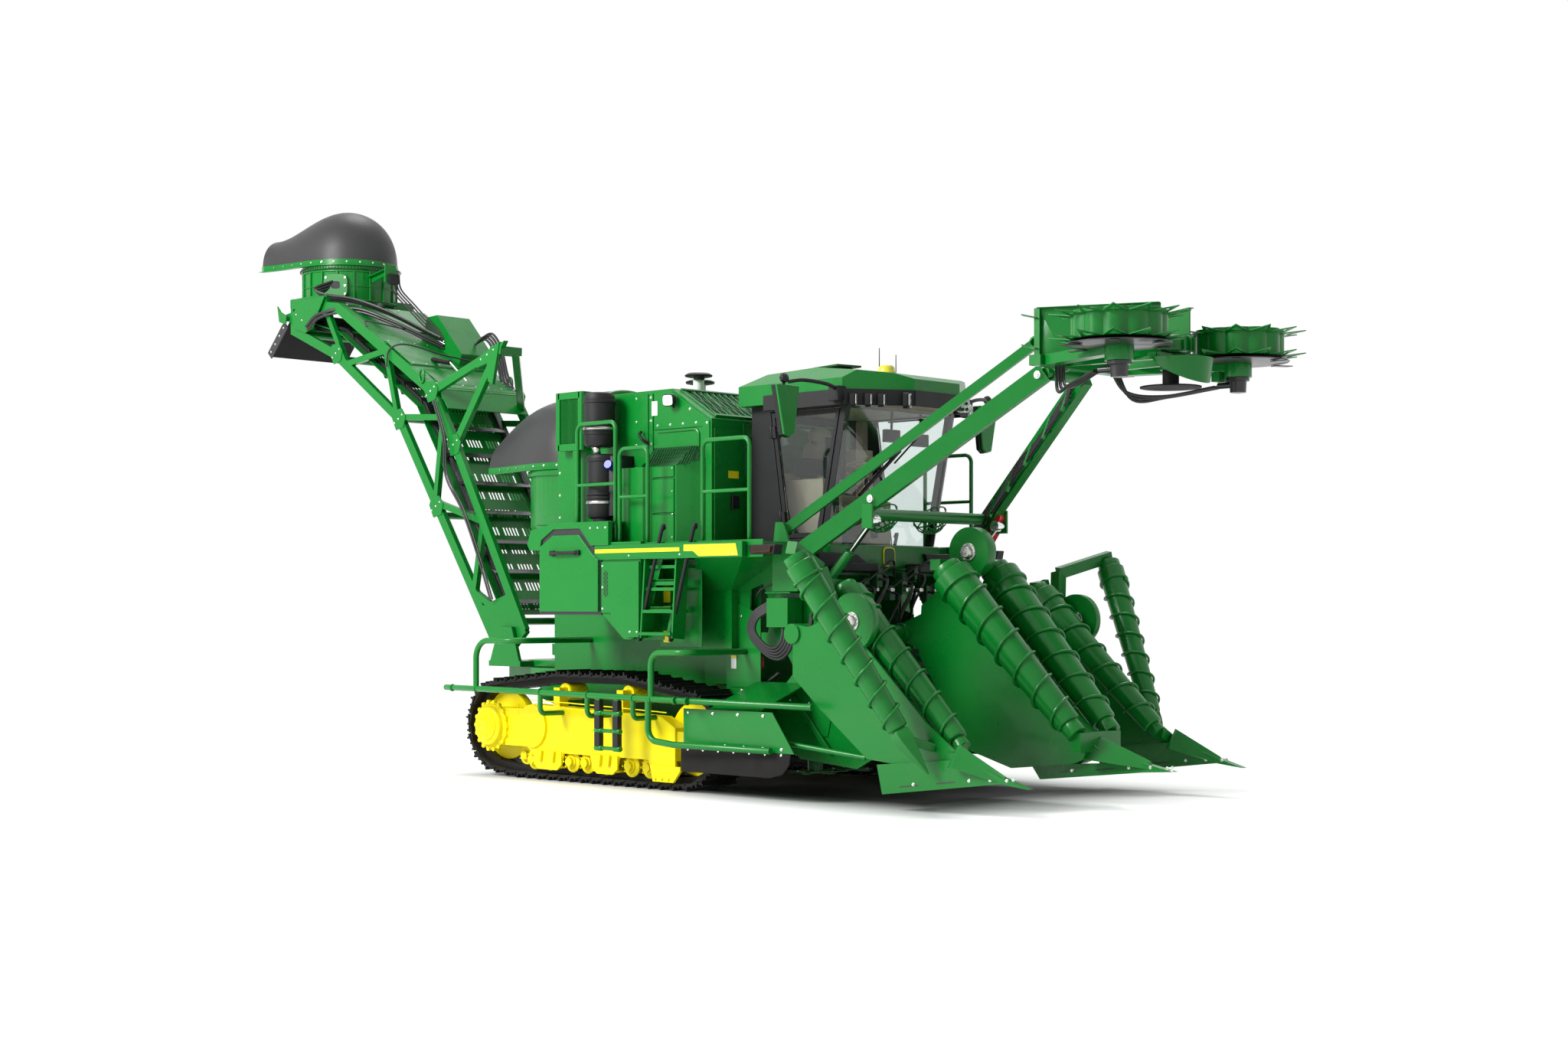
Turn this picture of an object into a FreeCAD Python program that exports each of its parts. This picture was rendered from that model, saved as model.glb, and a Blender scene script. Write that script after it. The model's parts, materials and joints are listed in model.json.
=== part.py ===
import FreeCAD, Part
import math
import os

# Two-row sugarcane harvester on tracks. Millimetres, +X forward, +Y to the machine's left, +Z up, floor at z = 0.
# Stations (x values below) are lengths along the machine from the rear end of the tracks' run on the ground;
# DATUM_X places that point in the frame, whose origin is on the floor under the middle of the whole machine.

# ---- driving dimensions -------------------------------------------------------------------------------------
DATUM_X = -690.0
SEAT = 0.3  # gap between pieces that only rest on each other
RUN = 12.0  # least gap beside a piece that turns or swings
PIN_GAP = 1.0  # a pin in its bore, all round
SHEET = 12.0  # folded sheet covers
PLATE = 20.0  # structural plates

TRACK_OUT_Y = 1573.0  # outer edge of the shoes
TRACK_W = 460.0
TRACK_REAR_X = -310.0  # sprocket centre
TRACK_FRONT_X = 2510.0  # idler centre
SPROCKET_R = 355.0
TRACK_SLACK = 2.0  # between the loop and the wheels it is not resting on
SPROCKET_Z = 520.0
IDLER_Z = 497.0
CHAIN_H = 95.0  # chain and shoe plate together
GROUSER_H = 35.0
SHOE_COUNT = 42
ROLLER_R = 95.0
ROLLER_COUNT = 7
ROLLER_REAR_X = 60.0
ROLLER_FRONT_X = 2130.0
CARRIER_R = 88.0
CARRIER_X = (670.0, 1610.0)
CARRIER_Z = 892.0
FRAME_BEAM = (250.0, 2420.0, 285.0, 760.0)  # x from, x to, z from, z to of the track's side beam
FRAME_OUT_Y = 1600.0

HULL_Y = 880.0  # half width of the main hull
FRONT_Y = 1100.0  # outer faces of the front frame's side plates
HULL_FRONT_X = 2600.0
HULL_TOP_Z = 2250.0
SHIELD_Y = 1750.0
DECK_Z = 2330.0  # top of the walkways and of the engine's floor
DECK_T = 60.0
DECK_Y = 1640.0  # outer edge of the walkways
DECK_REAR_X = 560.0
DECK_FRONT_X = 3620.0
BOX_X = (600.0, 2050.0)
BOX_Z = (1680.0, 2360.0)
BOX_Y = 1700.0
FOLD_X = (2700.0, 3330.0)  # the folded sheet beside the ladder, at its head
FOLD_FOOT_X = (2320.0, 2760.0)
FOLD_FOOT_Y = -1190.0
FOLD_Z = (2210.0, 1900.0, 1300.0)  # heights of its head, bend and foot

HOUSING_X = (250.0, 2500.0)
HOUSING_Y = 1200.0
HOUSING_TOP_Z = 3850.0
HOUSING_FRONT_Z = 3530.0
HOUSING_BREAK_X = 1960.0  # where the housing's roof starts to slope
HOUSING_WALL = 30.0
ENGINE_SIZE = (1500.0, 900.0, 1000.0)
GRILLE_SLATS = 9
CLEANER = (1170.0, -1400.0)  # axis of the air cleaner's lower canister, x and y
CLEANER_R = 160.0
CLEANER_Z = (2600.0, 3240.0, 3310.0, 3850.0)  # foot and head of the lower canister, then of the upper one

EXTRACTOR_X = -600.0  # axis of the primary extractor
EXTRACTOR_R = 660.0
EXTRACTOR_Z = (2600.0, 3200.0)
CHAMBER_X = -440.0  # foot of the tapered chamber under the extractor
CHAMBER_Z = 1950.0
CHAMBER_R = 330.0
FAN_DROP = 500.0  # fans' undersides below their casings' tops
FAN_MOTOR_R = 90.0
HOOD_R = 670.0
HOOD_REACH = 1150.0
HOOD_HALF = 500.0  # half width of the hood's mouth
HOOD_H = 820.0
HOOD_WALL = 14.0

CAB_Y = 780.0
CAB_FLOOR_Z = (2110.0, 2330.0)
CAB_ROOF_Z = (3650.0, 3990.0)
CAB_REAR_X = 2620.0
ROOF_Y = 900.0  # half width of the roof
ROOF_CORNER_X = 3900.0  # where its slanted front edges start
ROOF_NOSE = (4280.0, 330.0)  # foremost edge, x and half width
PILLAR_B = ((3060.0, 2330.0), (2860.0, 3650.0))  # foot and head of the rear edge of the doors
PILLAR_A = ((3550.0, 2330.0), (3820.0, 3650.0))
GLASS_T = 8.0
LAMP_SHARES = (0.2, 0.75)  # the roof lamps' places along the slanted edges
BEACON = (3350.0, 350.0)  # x and y on the roof
DOOR_T = 40.0
DOOR_SILL = 45.0  # height of the sill under each door
DOOR_HINGE_R = 16.0

ARM_BASE = (3570.0, 1200.0, 2180.0)  # topper arm's foot pin, left side
ARM_HEAD = (5750.0, 300.0, 3790.0)  # topper arm's head pin
LINK_OFFSET = (-90.0, 270.0)  # levelling link's pins from the arm's, x and z
ARM_W = 90.0
ARM_H = 165.0
ARM_TIE_SHARE = 0.25  # where the cross tube joins the arms
LIFT_FOOT = (3660.0, 1900.0)  # topper lift cylinder's foot pin, x and z
LIFT_SHARE = 0.326  # where the lift cylinder's rod eye meets the arm
LIFT_DROP = 190.0  # its pin's depth below the arm's middle line
PIN_R = 30.0
PIVOT_HALF = 60.0  # half width of the arms' foot bosses
LINK_HALF = 40.0  # half width of the levelling link's eyes
LINK_EYE_R = 36.0  # bore of its upper eye, wide enough for the drift of a closed linkage
LIFT_EYE_HALF = 52.0  # half width of the cylinders' eyes
HEAD_SHAFT_R = 45.0
DRUM_X = 6950.0
DRUM_Y = 900.0
DRUM_Z = (3910.0, 4150.0)
DRUM_R = 410.0
STAR_R = 605.0
STAR_POINTS = 12
CUTTER_R = 260.0

TIP_Y = 1600.0  # outer dividers' noses stand this far from the middle
TIP_X = 6585.0
TIP_Z = 270.0
CENTRE_TIP_X = 6900.0
CENTRE_TIP_Z = 340.0
DIVIDER_PIVOT = (3950.0, 1500.0)  # cross tube that all three dividers swing on
DIVIDER_TUBE_R = 70.0
SCROLL_RIB_H = 32.0

KNOCKDOWN = (3750.0, 1150.0)  # knockdown roller's axis, x and z
KNOCKDOWN_SHAFT_R = 40.0
CUTTER_BASE = (3650.0, 220.0)  # base cutters' axes, x, and the discs' underside
ROW_Y = 750.0
CUTTER_Y = 240.0  # each base cutter's distance from its row
CUTTER_DISC_R = 170.0
CUTTER_TOP_Z = 640.0  # underside of the box that the base cutters' legs hang from

SLEW_X = -900.0
SLEW_Z = 1090.0
LIFT_PIVOT = (-1250.0, 1430.0)
ELEVATOR_Y = 600.0  # middle of the elevator's side frames
CHORD = 110.0
SIDE_T = 60.0
LOWER_CHORD = ((-1520.0, 1390.0), (-2540.0, 2870.0), (-3250.0, 3900.0), (-4520.0, 4750.0), (-5450.0, 5130.0))
UPPER_CHORD = ((-1010.0, 1470.0), (-2220.0, 3550.0), (-2640.0, 4180.0), (-4480.0, 5300.0), (-5450.0, 5440.0))
MIDDLE = [((a[0] + b[0]) / 2, (a[1] + b[1]) / 2) for a, b in zip(LOWER_CHORD, UPPER_CHORD)]
MAST_TOP = (-1450.0, 4560.0)
MAST_HALF = 150.0  # half width of the mast's folded top plate
LIFT_PIN_R = 45.0
FLAP_HINGE = (-5570.0, 5290.0)
FLAP_LENGTH = 620.0
FLAP_PIN_R = 15.0
ELEVATOR_CYL_Y = 760.0
ELEVATOR_EYE_HALF = 64.0
FLOOR_T = 8.0
CHAIN_T = 45.0
SLAT_H = 90.0
SLAT_COUNT = 14
ELEVATOR_CYL_FOOT = (-1950.0, 1250.0)
ELEVATOR_CYL_HEAD = (-1975.0, 3130.0)  # on the left upper chord
SLOT = (26.0, 110.0)  # width and length of a slot in the elevator's floor
SLOT_ROWS = 22
SLOT_PLACES = [y + 45.0 * k for y in (-370.0, -90.0, 190.0) for k in range(5)]  # across the floor
SECOND_X = -5130.0
SECOND_R = 560.0
SECOND_Z = (5440.0, 5870.0)
SECOND_HOOD_H = 730.0
SECOND_REACH = 1000.0
SECOND_HALF = 420.0  # half width of its hood's mouth
SECOND_TURN = 20.0  # degrees that its hood is turned towards the right
SECOND_FAN_DROP = 260.0

os.makedirs("parts", exist_ok=True)
V = FreeCAD.Vector
UP = V(0, 0, 1)


# ---- shapes -------------------------------------------------------------------------------------------------
def at(x, y, z):
    """The point at a station x."""
    return V(DATUM_X + x, y, z)


def box(x, y, z):
    """A block between two stations, two widths and two heights, each given as a pair."""
    return Part.makeBox(x[1] - x[0], y[1] - y[0], z[1] - z[0], at(x[0], y[0], z[0]))


def rod(p, q, r):
    """A round bar between two points."""
    return Part.makeCylinder(r, (q - p).Length, p, q - p)


def cone(p, q, r0, r1):
    """A tapered round bar between two points."""
    return Part.makeCone(r0, r1, (q - p).Length, p, q - p)


def face(points):
    return Part.Face(Part.makePolygon(points + [points[0]]))


def side_plate(outline, y0, y1):
    """A plate seen from the side: an outline of (x, z) pairs, from one width to another."""
    return face([at(x, y0, z) for x, z in outline]).extrude(V(0, y1 - y0, 0))


def flat_plate(outline, z0, z1):
    """A plate seen from above: an outline of (x, y) pairs, from one height to another."""
    return face([at(x, y, z0) for x, y in outline]).extrude(V(0, 0, z1 - z0))


def cross_plate(outline, x0, x1):
    """A plate seen from the front: an outline of (y, z) pairs, from one station to another."""
    return face([at(x0, y, z) for y, z in outline]).extrude(V(x1 - x0, 0, 0))


def sheet(points, t):
    """A flat sheet through corners given in order, t thick along its normal."""
    normal = (points[1] - points[0]).cross(points[2] - points[0])
    normal.normalize()
    return face(points).extrude(normal * t)


def beam(p, q, w, h, up=UP):
    """A rectangular bar from p to q, w wide and h high, its height towards up."""
    along = q - p
    side = up.cross(along)
    side.normalize()
    high = along.cross(side)
    high.normalize()
    side, high = side * (w / 2), high * (h / 2)
    return face([p - side - high, p + side - high, p + side + high, p - side + high]).extrude(along)


def rounded_path(points, r):
    """Straight runs joined by tangent arcs of radius r, as one wire."""
    edges = []
    start = points[0]
    for before, corner, after in zip(points, points[1:], points[2:]):
        a, b = before - corner, after - corner
        a.normalize()
        b.normalize()
        half = a.getAngle(b) / 2
        cut = r / math.tan(half)
        p, q = corner + a * cut, corner + b * cut
        middle = a + b
        middle.normalize()
        edges.append(Part.makeLine(start, p))
        edges.append(Part.Arc(p, corner + middle * (r / math.sin(half) - r), q).toShape())
        start = q
    edges.append(Part.makeLine(start, points[-1]))
    return Part.Wire(edges)


def pipe(points, radius, bend):
    """A round tube, drawn solid, along straight runs with bends."""
    path = rounded_path(points, bend)
    ring = Part.Wire(Part.makeCircle(radius, points[0], points[1] - points[0]))
    return path.makePipeShell([ring], True, True)


def fuse(shapes):
    shapes = list(shapes)
    return shapes[0].multiFuse(shapes[1:]) if len(shapes) > 1 else shapes[0]


def mirrored(shape):
    return shape.mirror(V(0, 0, 0), V(0, 1, 0))


def pair(shape):
    """A shape and its mirror image on the machine's other side."""
    return [shape, mirrored(shape)]


def save(name, shapes):
    """Write a sub-part: one solid, or several that don't touch."""
    shapes = shapes if isinstance(shapes, list) else [shapes]
    solids = []
    for shape in shapes:
        merged = shape.removeSplitter()
        solids += merged.Solids if merged.isValid() else shape.Solids
    broken = [s for s in solids if not s.isValid() or s.Volume < 1.0]
    shape = solids[0] if len(solids) == 1 else Part.makeCompound(solids)
    shape.exportStep("parts/" + name + ".step")
    print(name, len(solids), "broken solids:" if broken else "", len(broken) or "")


def hull(points):
    """The convex outline round a cloud of (x, z) points, turning from +X to +Z."""

    def half(rows):
        out = []
        for p in rows:
            while len(out) > 1:
                (ax, az), (bx, bz) = out[-2], out[-1]
                if (bx - ax) * (p[1] - az) - (bz - az) * (p[0] - ax) > 1e-9:
                    break
                out.pop()
            out.append(p)
        return out[:-1]

    rows = sorted(set(points))
    return half(rows) + half(rows[::-1])


def resampled(outline, count):
    """count points evenly spaced round a closed outline, each with its outward normal."""
    ring = outline + [outline[0]]
    lengths = [math.dist(p, q) for p, q in zip(ring, ring[1:])]
    total = sum(lengths)
    rows, i, passed = [], 0, 0.0
    for k in range(count):
        want = total * k / count
        while passed + lengths[i] < want:
            passed += lengths[i]
            i += 1
        (ax, az), (bx, bz) = ring[i], ring[i + 1]
        t = (want - passed) / lengths[i]
        rows.append((ax + (bx - ax) * t, az + (bz - az) * t, (bz - az) / lengths[i], (ax - bx) / lengths[i]))
    return rows


# ---- undercarriage ------------------------------------------------------------------------------------------
TRACK_IN_Y = TRACK_OUT_Y - TRACK_W
GROUND_Z = CHAIN_H + GROUSER_H  # inside face of the track's lower run


def track():
    """One right-hand track: a loop with its shoes' grousers standing out of the outline."""
    wheels = [(TRACK_REAR_X, SPROCKET_Z, SPROCKET_R), (TRACK_FRONT_X, IDLER_Z, SPROCKET_R)]
    wheels += [(x, GROUND_Z + ROLLER_R, ROLLER_R) for x in (0.0, TRACK_FRONT_X - 210.0)]
    wheels += [(x, CARRIER_Z, CARRIER_R) for x in CARRIER_X]
    cloud = []
    for x, z, r in wheels:
        for k in range(72):
            cloud.append((x + r * math.cos(math.radians(k * 5)), z + r * math.sin(math.radians(k * 5))))
    line = hull(cloud)
    inner = [(x + nx * SEAT, z + nz * SEAT) for x, z, nx, nz in resampled(line, 144)]
    outer = []
    steps = 4  # points a shoe: plate, root, tip, tip
    for i, (x, z, nx, nz) in enumerate(resampled(line, SHOE_COUNT * steps)):
        out = CHAIN_H + (GROUSER_H if i % steps == 2 else 0.0)
        outer.append((x + nx * out, z + nz * out))
        if i % steps == 2:
            outer.append((x + nx * out - nz * 18.0, z + nz * out + nx * 18.0))
    low = min(z for x, z in outer)
    outer = [(x, z - low) for x, z in outer]
    inner = [(x, z - low) for x, z in inner]
    loop = side_plate(outer, -TRACK_OUT_Y, -TRACK_IN_Y)
    return loop.cut(side_plate(inner, -TRACK_OUT_Y - 1, -TRACK_IN_Y + 1))


def wheel(x, z, r, y0, y1):
    return rod(at(x, y0, z), at(x, y1, z), r)


def track_rollers():
    """The sprocket, idler, ground rollers and carrier rollers of the right-hand track."""
    mid = -(TRACK_OUT_Y + TRACK_IN_Y) / 2
    rollers = []
    for i in range(ROLLER_COUNT):
        x = ROLLER_REAR_X + (ROLLER_FRONT_X - ROLLER_REAR_X) * i / (ROLLER_COUNT - 1)
        rollers.append(wheel(x, GROUND_Z + ROLLER_R + SEAT, ROLLER_R, mid - 110, mid + 110))
    for x in CARRIER_X:
        rollers.append(wheel(x, CARRIER_Z, CARRIER_R - TRACK_SLACK, mid - 110, mid + 110))
    rollers.append(wheel(TRACK_FRONT_X, IDLER_Z, SPROCKET_R - TRACK_SLACK, mid - 60, mid + 60))
    rollers.append(wheel(TRACK_REAR_X, SPROCKET_Z, SPROCKET_R - TRACK_SLACK, mid - 45, mid + 45))
    return rollers


def track_frame():
    """The right-hand side beam with the final drive's round cover and the guard foot in front."""
    x0, x1, z0, z1 = FRAME_BEAM
    y0, y1 = -FRAME_OUT_Y, -TRACK_OUT_Y + 120.0
    beam_outline = [(x0, z0 + 40), (x0 + 60, z0), (x1, z0), (x1, z1 - 160), (x1 - 200, z1 - 60)]
    side = side_plate(beam_outline + [(x0 + 60, z1), (x0, z1 - 60)], y0, y1)
    foot = side_plate([(x1 - 380, z0 + 20), (x1 - 300, 90), (x1 - 60, 90), (x1, 200), (x1, z0 + 20)], y0, -TRACK_OUT_Y - SEAT)
    fork = box((x1 - 60, TRACK_FRONT_X + 80), (y0 + 20, -(TRACK_OUT_Y + TRACK_IN_Y) / 2 - 60 - SEAT), (IDLER_Z - 70, IDLER_Z + 70))
    posts = [box((x - 45, x + 45), (y0 + 30, y1), (z1 - 60, CARRIER_Z + 40)) for x in CARRIER_X]
    drive = side_plate([(TRACK_REAR_X, 330), (x0 + 20, 330), (x0 + 20, 710), (TRACK_REAR_X, 710)], y0, y1)
    cover = wheel(TRACK_REAR_X, SPROCKET_Z, 190, y0, y1)
    boss = wheel(x0 + 90, SPROCKET_Z + 20, 215, y0 - 25, y1)
    axle = wheel(TRACK_REAR_X, SPROCKET_Z, 150, y1, -(TRACK_OUT_Y + TRACK_IN_Y) / 2 - 45 - SEAT)
    cross = [box((x, x + 260), (-TRACK_OUT_Y + 120, -HULL_Y - SEAT), (400, 640)) for x in (420.0, 1700.0)]
    return fuse([side, foot, fork, drive, cover, boss, axle] + posts + cross)


def guard_rails():
    """Round rails that keep cane off the right-hand track, with the step that hangs from them."""
    y = -1890.0
    r = 30.0
    upper = pipe([at(-710, y, 910), at(300, y, 905), at(2500, y, 880), at(4300, -1730, 860)], r, 200)
    rear = pipe([at(-210, y, 900), at(-210, y, 1395), at(400, y, 1400), at(400, -HULL_Y - SEAT, 1400)], r, 180)
    front = pipe([at(2400, y, 890), at(2400, y, 1310), at(2860, y, 1320), at(2860, -FRONT_Y - SEAT, 1320)], r, 120)
    lower = pipe([at(2360, y, 880), at(2360, y, 500), at(2700, y, 470), at(3860, -1800, 460)], r, 120)
    straps = [box((x, x + 60), (y - 20, y + 20), (380, 890)) for x in (1640.0, 1900.0)]
    rungs = [rod(at(1640, y, z), at(1960, y, z), 18) for z in (395.0, 560.0, 730.0)]
    stays = []
    for x in (800.0, 1500.0, 2150.0):
        stays.append(pipe([at(x, y, 890), at(x, y, 690), at(x, -FRAME_OUT_Y - SEAT, 690)], 25, 60))
    return fuse([upper, rear, front, lower] + straps + rungs + stays)


def track_shield():
    """Folded cover in front of the right-hand track, fixed to the front frame's side plate."""
    y = -SHIELD_Y
    inner = -FRONT_Y - SEAT
    x0 = TRACK_FRONT_X + SPROCKET_R + CHAIN_H + GROUSER_H + RUN
    wall = side_plate([(2690, 440), (4100, 440), (3830, 800), (2690, 800)], y, y + SHEET)
    roof = cross_plate([(y, 800 - SHEET), (inner, 1040 - SHEET), (inner, 1040), (y, 800)], x0, 3650)
    back = cross_plate([(y, 440), (y, 800), (inner, 1040), (inner, 560)], x0, x0 + SHEET)
    return fuse([wall, roof, back])


def rubber_flap():
    """Rubber strip clamped behind the shield's lower edge."""
    y = -SHIELD_Y + SHEET + SEAT
    return box((3050, 3930), (y, y + 10), (235, 520))


# ---- hull and front frame -----------------------------------------------------------------------------------
def main_frame():
    """The hull between the tracks, the tail that carries the elevator's turntable and the engine's bearers."""
    outline = [(-420, 780), (300, 600), (HULL_FRONT_X, 560), (HULL_FRONT_X, 2250), (250, 2250), (-180, 2150)]
    outline += [(-180, 1080), (-420, 1060)]
    body = side_plate(outline, -HULL_Y, HULL_Y)
    tail = flat_plate([(-1500, -420), (-1500, 420), (-300, 700), (-300, -700)], 900, 1080)
    ring = rod(at(SLEW_X, 0, 900), at(SLEW_X, 0, SLEW_Z - SEAT), 480)
    bearers = [box((x, x + 160), (-HOUSING_Y, HOUSING_Y), (2250, DECK_Z - DECK_T)) for x in (620.0, 2200.0)]
    return fuse([body, tail, ring] + bearers)


def front_frame():
    """The two side plates under the cab with their openings, the tubes between them and the topper's brackets."""
    outline = [(HULL_FRONT_X + SEAT, 700), (HULL_FRONT_X + SEAT, 2250), (3380, 2250), (3420, 2020), (3800, 2020)]
    outline += [(4080, 1700), (4080, 1300), (3990, 900), (3900, 560), (2760, 560)]
    plate = side_plate(outline, -FRONT_Y, -FRONT_Y + PLATE)
    high = side_plate([(2900, 1500), (3150, 1500), (3200, 1750), (3080, 1950), (2920, 1900)], -1200, -1000)
    low = side_plate([(2950, 1050), (3350, 1000), (3500, 1150), (3400, 1300), (3050, 1350)], -1200, -1000)
    roller = wheel(KNOCKDOWN[0], KNOCKDOWN[1], KNOCKDOWN_SHAFT_R + PIN_GAP, -1200, -1000)
    plate = plate.cut(high).cut(low).cut(roller)
    x0 = HULL_FRONT_X + SEAT
    bulkhead = box((x0, x0 + PLATE), (-FRONT_Y + PLATE, FRONT_Y - PLATE), (600, 2060))
    deck = box((x0, 3420), (-FRONT_Y + PLATE, FRONT_Y - PLATE), (2040, CAB_FLOOR_Z[0] - SEAT))
    inner = FRONT_Y - PLATE / 2
    tube = rod(at(2900, -inner, 700), at(2900, inner, 700), 70)
    cutters = box((CUTTER_BASE[0] - 160, CUTTER_BASE[0] + 160), (-inner, inner), (CUTTER_TOP_Z, CUTTER_TOP_Z + 250))
    px, pz = DIVIDER_PIVOT
    pivot = rod(at(px, -TIP_Y, pz), at(px, TIP_Y, pz), DIVIDER_TUBE_R)
    feet = [foot for s in (-1, 1) for foot in topper_feet(s)]
    return fuse(pair(plate) + [bulkhead, deck, tube, cutters, pivot] + feet)


def side_fold():
    """The folded sheet under the walkway between the ladder and the front frame, drawn in towards its foot."""
    outer, inner = 30 - DECK_Y, -FRONT_Y - SEAT
    top, bend, foot = FOLD_Z
    rows = [(FOLD_X, outer, top), (FOLD_FOOT_X, FOLD_FOOT_Y, bend), (FOLD_FOOT_X, FOLD_FOOT_Y, foot)]
    wires = []
    for (x0, x1), y, z in rows:
        wires.append(Part.makePolygon(closed_row([at(x0, y, z), at(x1, y, z), at(x1, inner, z), at(x0, inner, z)])))
    head = box(FOLD_X, (outer, inner), (top, DECK_Z - DECK_T - SEAT))
    return Part.makeLoft(wires, True, True).fuse(head)


def side_boxes():
    """The right-hand box beside the engine, its outer wall a lip that covers the walkway's edge."""
    x0, x1 = BOX_X
    z0, z1 = BOX_Z
    low = 1430.0
    under = HULL_TOP_Z - SEAT
    outline = [(x0, z0), (x1 - 560, z0), (x1 - 240, low), (x1 - 130, low), (x1, low + 60), (x1, under), (x0, under)]
    rim = [(x0, under - 60), (x1, under - 60), (x1, z1), (x0 + 60, z1), (x0, z1 - 60)]
    lip = side_plate(rim, -BOX_Y, -DECK_Y - SHEET - SEAT)
    return fuse([side_plate(outline, -BOX_Y, -HULL_Y - SEAT), lip])


# ---- engine, cooling and extractor --------------------------------------------------------------------------
def engine_housing():
    """A hollow house over the engine, open to no side, with its roof sloping down at the front."""
    x0, x1 = HOUSING_X
    t = HOUSING_WALL
    outer = [(x0, DECK_Z), (x1, DECK_Z), (x1, HOUSING_FRONT_Z), (HOUSING_BREAK_X, HOUSING_TOP_Z), (x0, HOUSING_TOP_Z)]
    inner = [(x0 + t, DECK_Z + t), (x1 - t, DECK_Z + t), (x1 - t, HOUSING_FRONT_Z - t)]
    inner += [(HOUSING_BREAK_X, HOUSING_TOP_Z - t), (x0 + t, HOUSING_TOP_Z - t)]
    shell = side_plate(outer, -HOUSING_Y, HOUSING_Y)
    return shell.cut(side_plate(inner, -HOUSING_Y + t, HOUSING_Y - t))


def engine_block():
    x0 = (HOUSING_X[0] + HOUSING_X[1] - ENGINE_SIZE[0]) / 2
    z0 = DECK_Z + HOUSING_WALL + SEAT
    return box((x0, x0 + ENGINE_SIZE[0]), (-ENGINE_SIZE[1] / 2, ENGINE_SIZE[1] / 2), (z0, z0 + ENGINE_SIZE[2]))


def cooling_screens():
    """The side air box under its grille, and the grille on the roof's front slope."""
    foot = [(1500, -HOUSING_Y - SEAT), (1560, -1500), (1860, -1500), (2060, -HOUSING_Y - SEAT)]
    scoop = flat_plate(foot, DECK_Z + SEAT, 3080)
    slope = at(HOUSING_X[1], 0, HOUSING_FRONT_Z) - at(HOUSING_BREAK_X, 0, HOUSING_TOP_Z)
    normal = V(-slope.z, 0, slope.x)
    normal.normalize()
    top = at(HOUSING_BREAK_X, 0, HOUSING_TOP_Z) + slope * 0.06
    slats = []
    for k in range(GRILLE_SLATS):
        y = V(0, (2.0 * k / (GRILLE_SLATS - 1) - 1) * (HOUSING_Y - 90), 0)
        start = top + y + normal * (6 + SEAT)
        slats.append(beam(start, start + slope * 0.86, 24, 12))
    edge = V(0, HOUSING_Y - 80, 0)
    for share in (0.0, 0.86):
        middle = top + slope * share + normal * (12 + SEAT)
        slats.append(beam(middle - edge, middle + edge, 30, 24, normal))
    return [scoop, fuse(slats)]


def dome(x, y_turn, z, r, reach, half, height, crown):
    """An extractor's hood: round over the drum, drawn out into a mouth on one side and open below.

    Its cross sections are half ovals. Over the drum they follow a ball, and towards the mouth their width narrows
    to half and their height follows crown, a function of the share of the reach.
    """

    def section(u, w, h):
        angles = [math.pi * k / 12 for k in range(13)]
        return [at(x - u, w * math.cos(a), z + h * math.sin(a) ** 0.8) for a in angles]

    spans = []
    for k in range(5):
        a = math.radians(-84 + 21 * k)
        spans.append((r * math.sin(a), r * math.cos(a), height * math.cos(a) ** 0.8))
    for k in range(1, 7):
        share = k / 6
        spans.append((reach * share, r - (r - half) * share**2, height * crown(share)))

    def shell(inset):
        wires = []
        for k, (u, w, h) in enumerate(spans):
            ends = {0: inset, len(spans) - 1: inset}
            wires.append(Part.makePolygon(closed_row(section(u + ends.get(k, 0.0), w - inset, h - inset))))
        return Part.makeLoft(wires, True, True)

    hollow = shell(HOOD_WALL)
    hollow.translate(V(0, 0, -1.0))
    hood = shell(0.0).cut(hollow)
    hood.rotate(at(x, 0, z), UP, y_turn)
    return hood


def closed_row(points):
    return points + points[:1]


def full_crown(share):
    """The primary hood's height stays, and rounds down towards the mouth."""
    return 1.0 - 0.45 * share**3


def drawn_crown(share):
    """The second hood's height falls in an S to a lower mouth."""
    return 1.0 - 0.4 * share**2 * (3.0 - 2.0 * share)


def extractor_drum():
    """The primary extractor's round casing with its rim, over the tapered chamber that rises out of the hull."""
    z0, z1 = EXTRACTOR_Z
    x = EXTRACTOR_X
    shapes = []
    for inset in (0.0, SHEET):
        casing = rod(at(x, 0, z0), at(x, 0, z1 - SEAT), EXTRACTOR_R - inset)
        rings = [
            Part.Wire(Part.makeCircle(CHAMBER_R - inset, at(CHAMBER_X, 0, CHAMBER_Z), UP)),
            Part.Wire(Part.makeCircle(EXTRACTOR_R - inset, at(x, 0, z0), UP)),
        ]
        shapes.append(Part.makeLoft(rings, True, True).fuse(casing))
    rim = rod(at(x, 0, z1 - 60), at(x, 0, z1 - SEAT), EXTRACTOR_R + 30)
    duct = box((-180, HOUSING_X[0] - SEAT), (-EXTRACTOR_R + 40, EXTRACTOR_R - 40), (HULL_TOP_Z + SEAT, z0 + 200))
    tail = side_plate([(-180 - SEAT, 1800), (-180 - SEAT, 2150 + SEAT), (250, HULL_TOP_Z + SEAT), (250, 1800)], -900, 900)
    shell = fuse([shapes[0], rim, duct]).cut(shapes[1]).cut(tail)
    return shell.fuse(spider(x, z0, EXTRACTOR_R, z1 - FAN_DROP))


def fan(x, y, z, r, depth, blades):
    """A fan on an upright shaft: hub and flat blades set at a pitch."""
    hub = rod(at(x, y, z), at(x, y, z + depth), r * 0.22)
    parts = [hub]
    for k in range(blades):
        blade = Part.makeBox(r - 15.0, 10.0, depth * 0.9, at(x, y - 5, z + depth * 0.05))
        blade.rotate(at(x, y, z + depth / 2), V(1, 0, 0), 35)
        blade.rotate(at(x, y, z), UP, 360.0 * k / blades)
        parts.append(blade)
    return fuse(parts)


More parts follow.
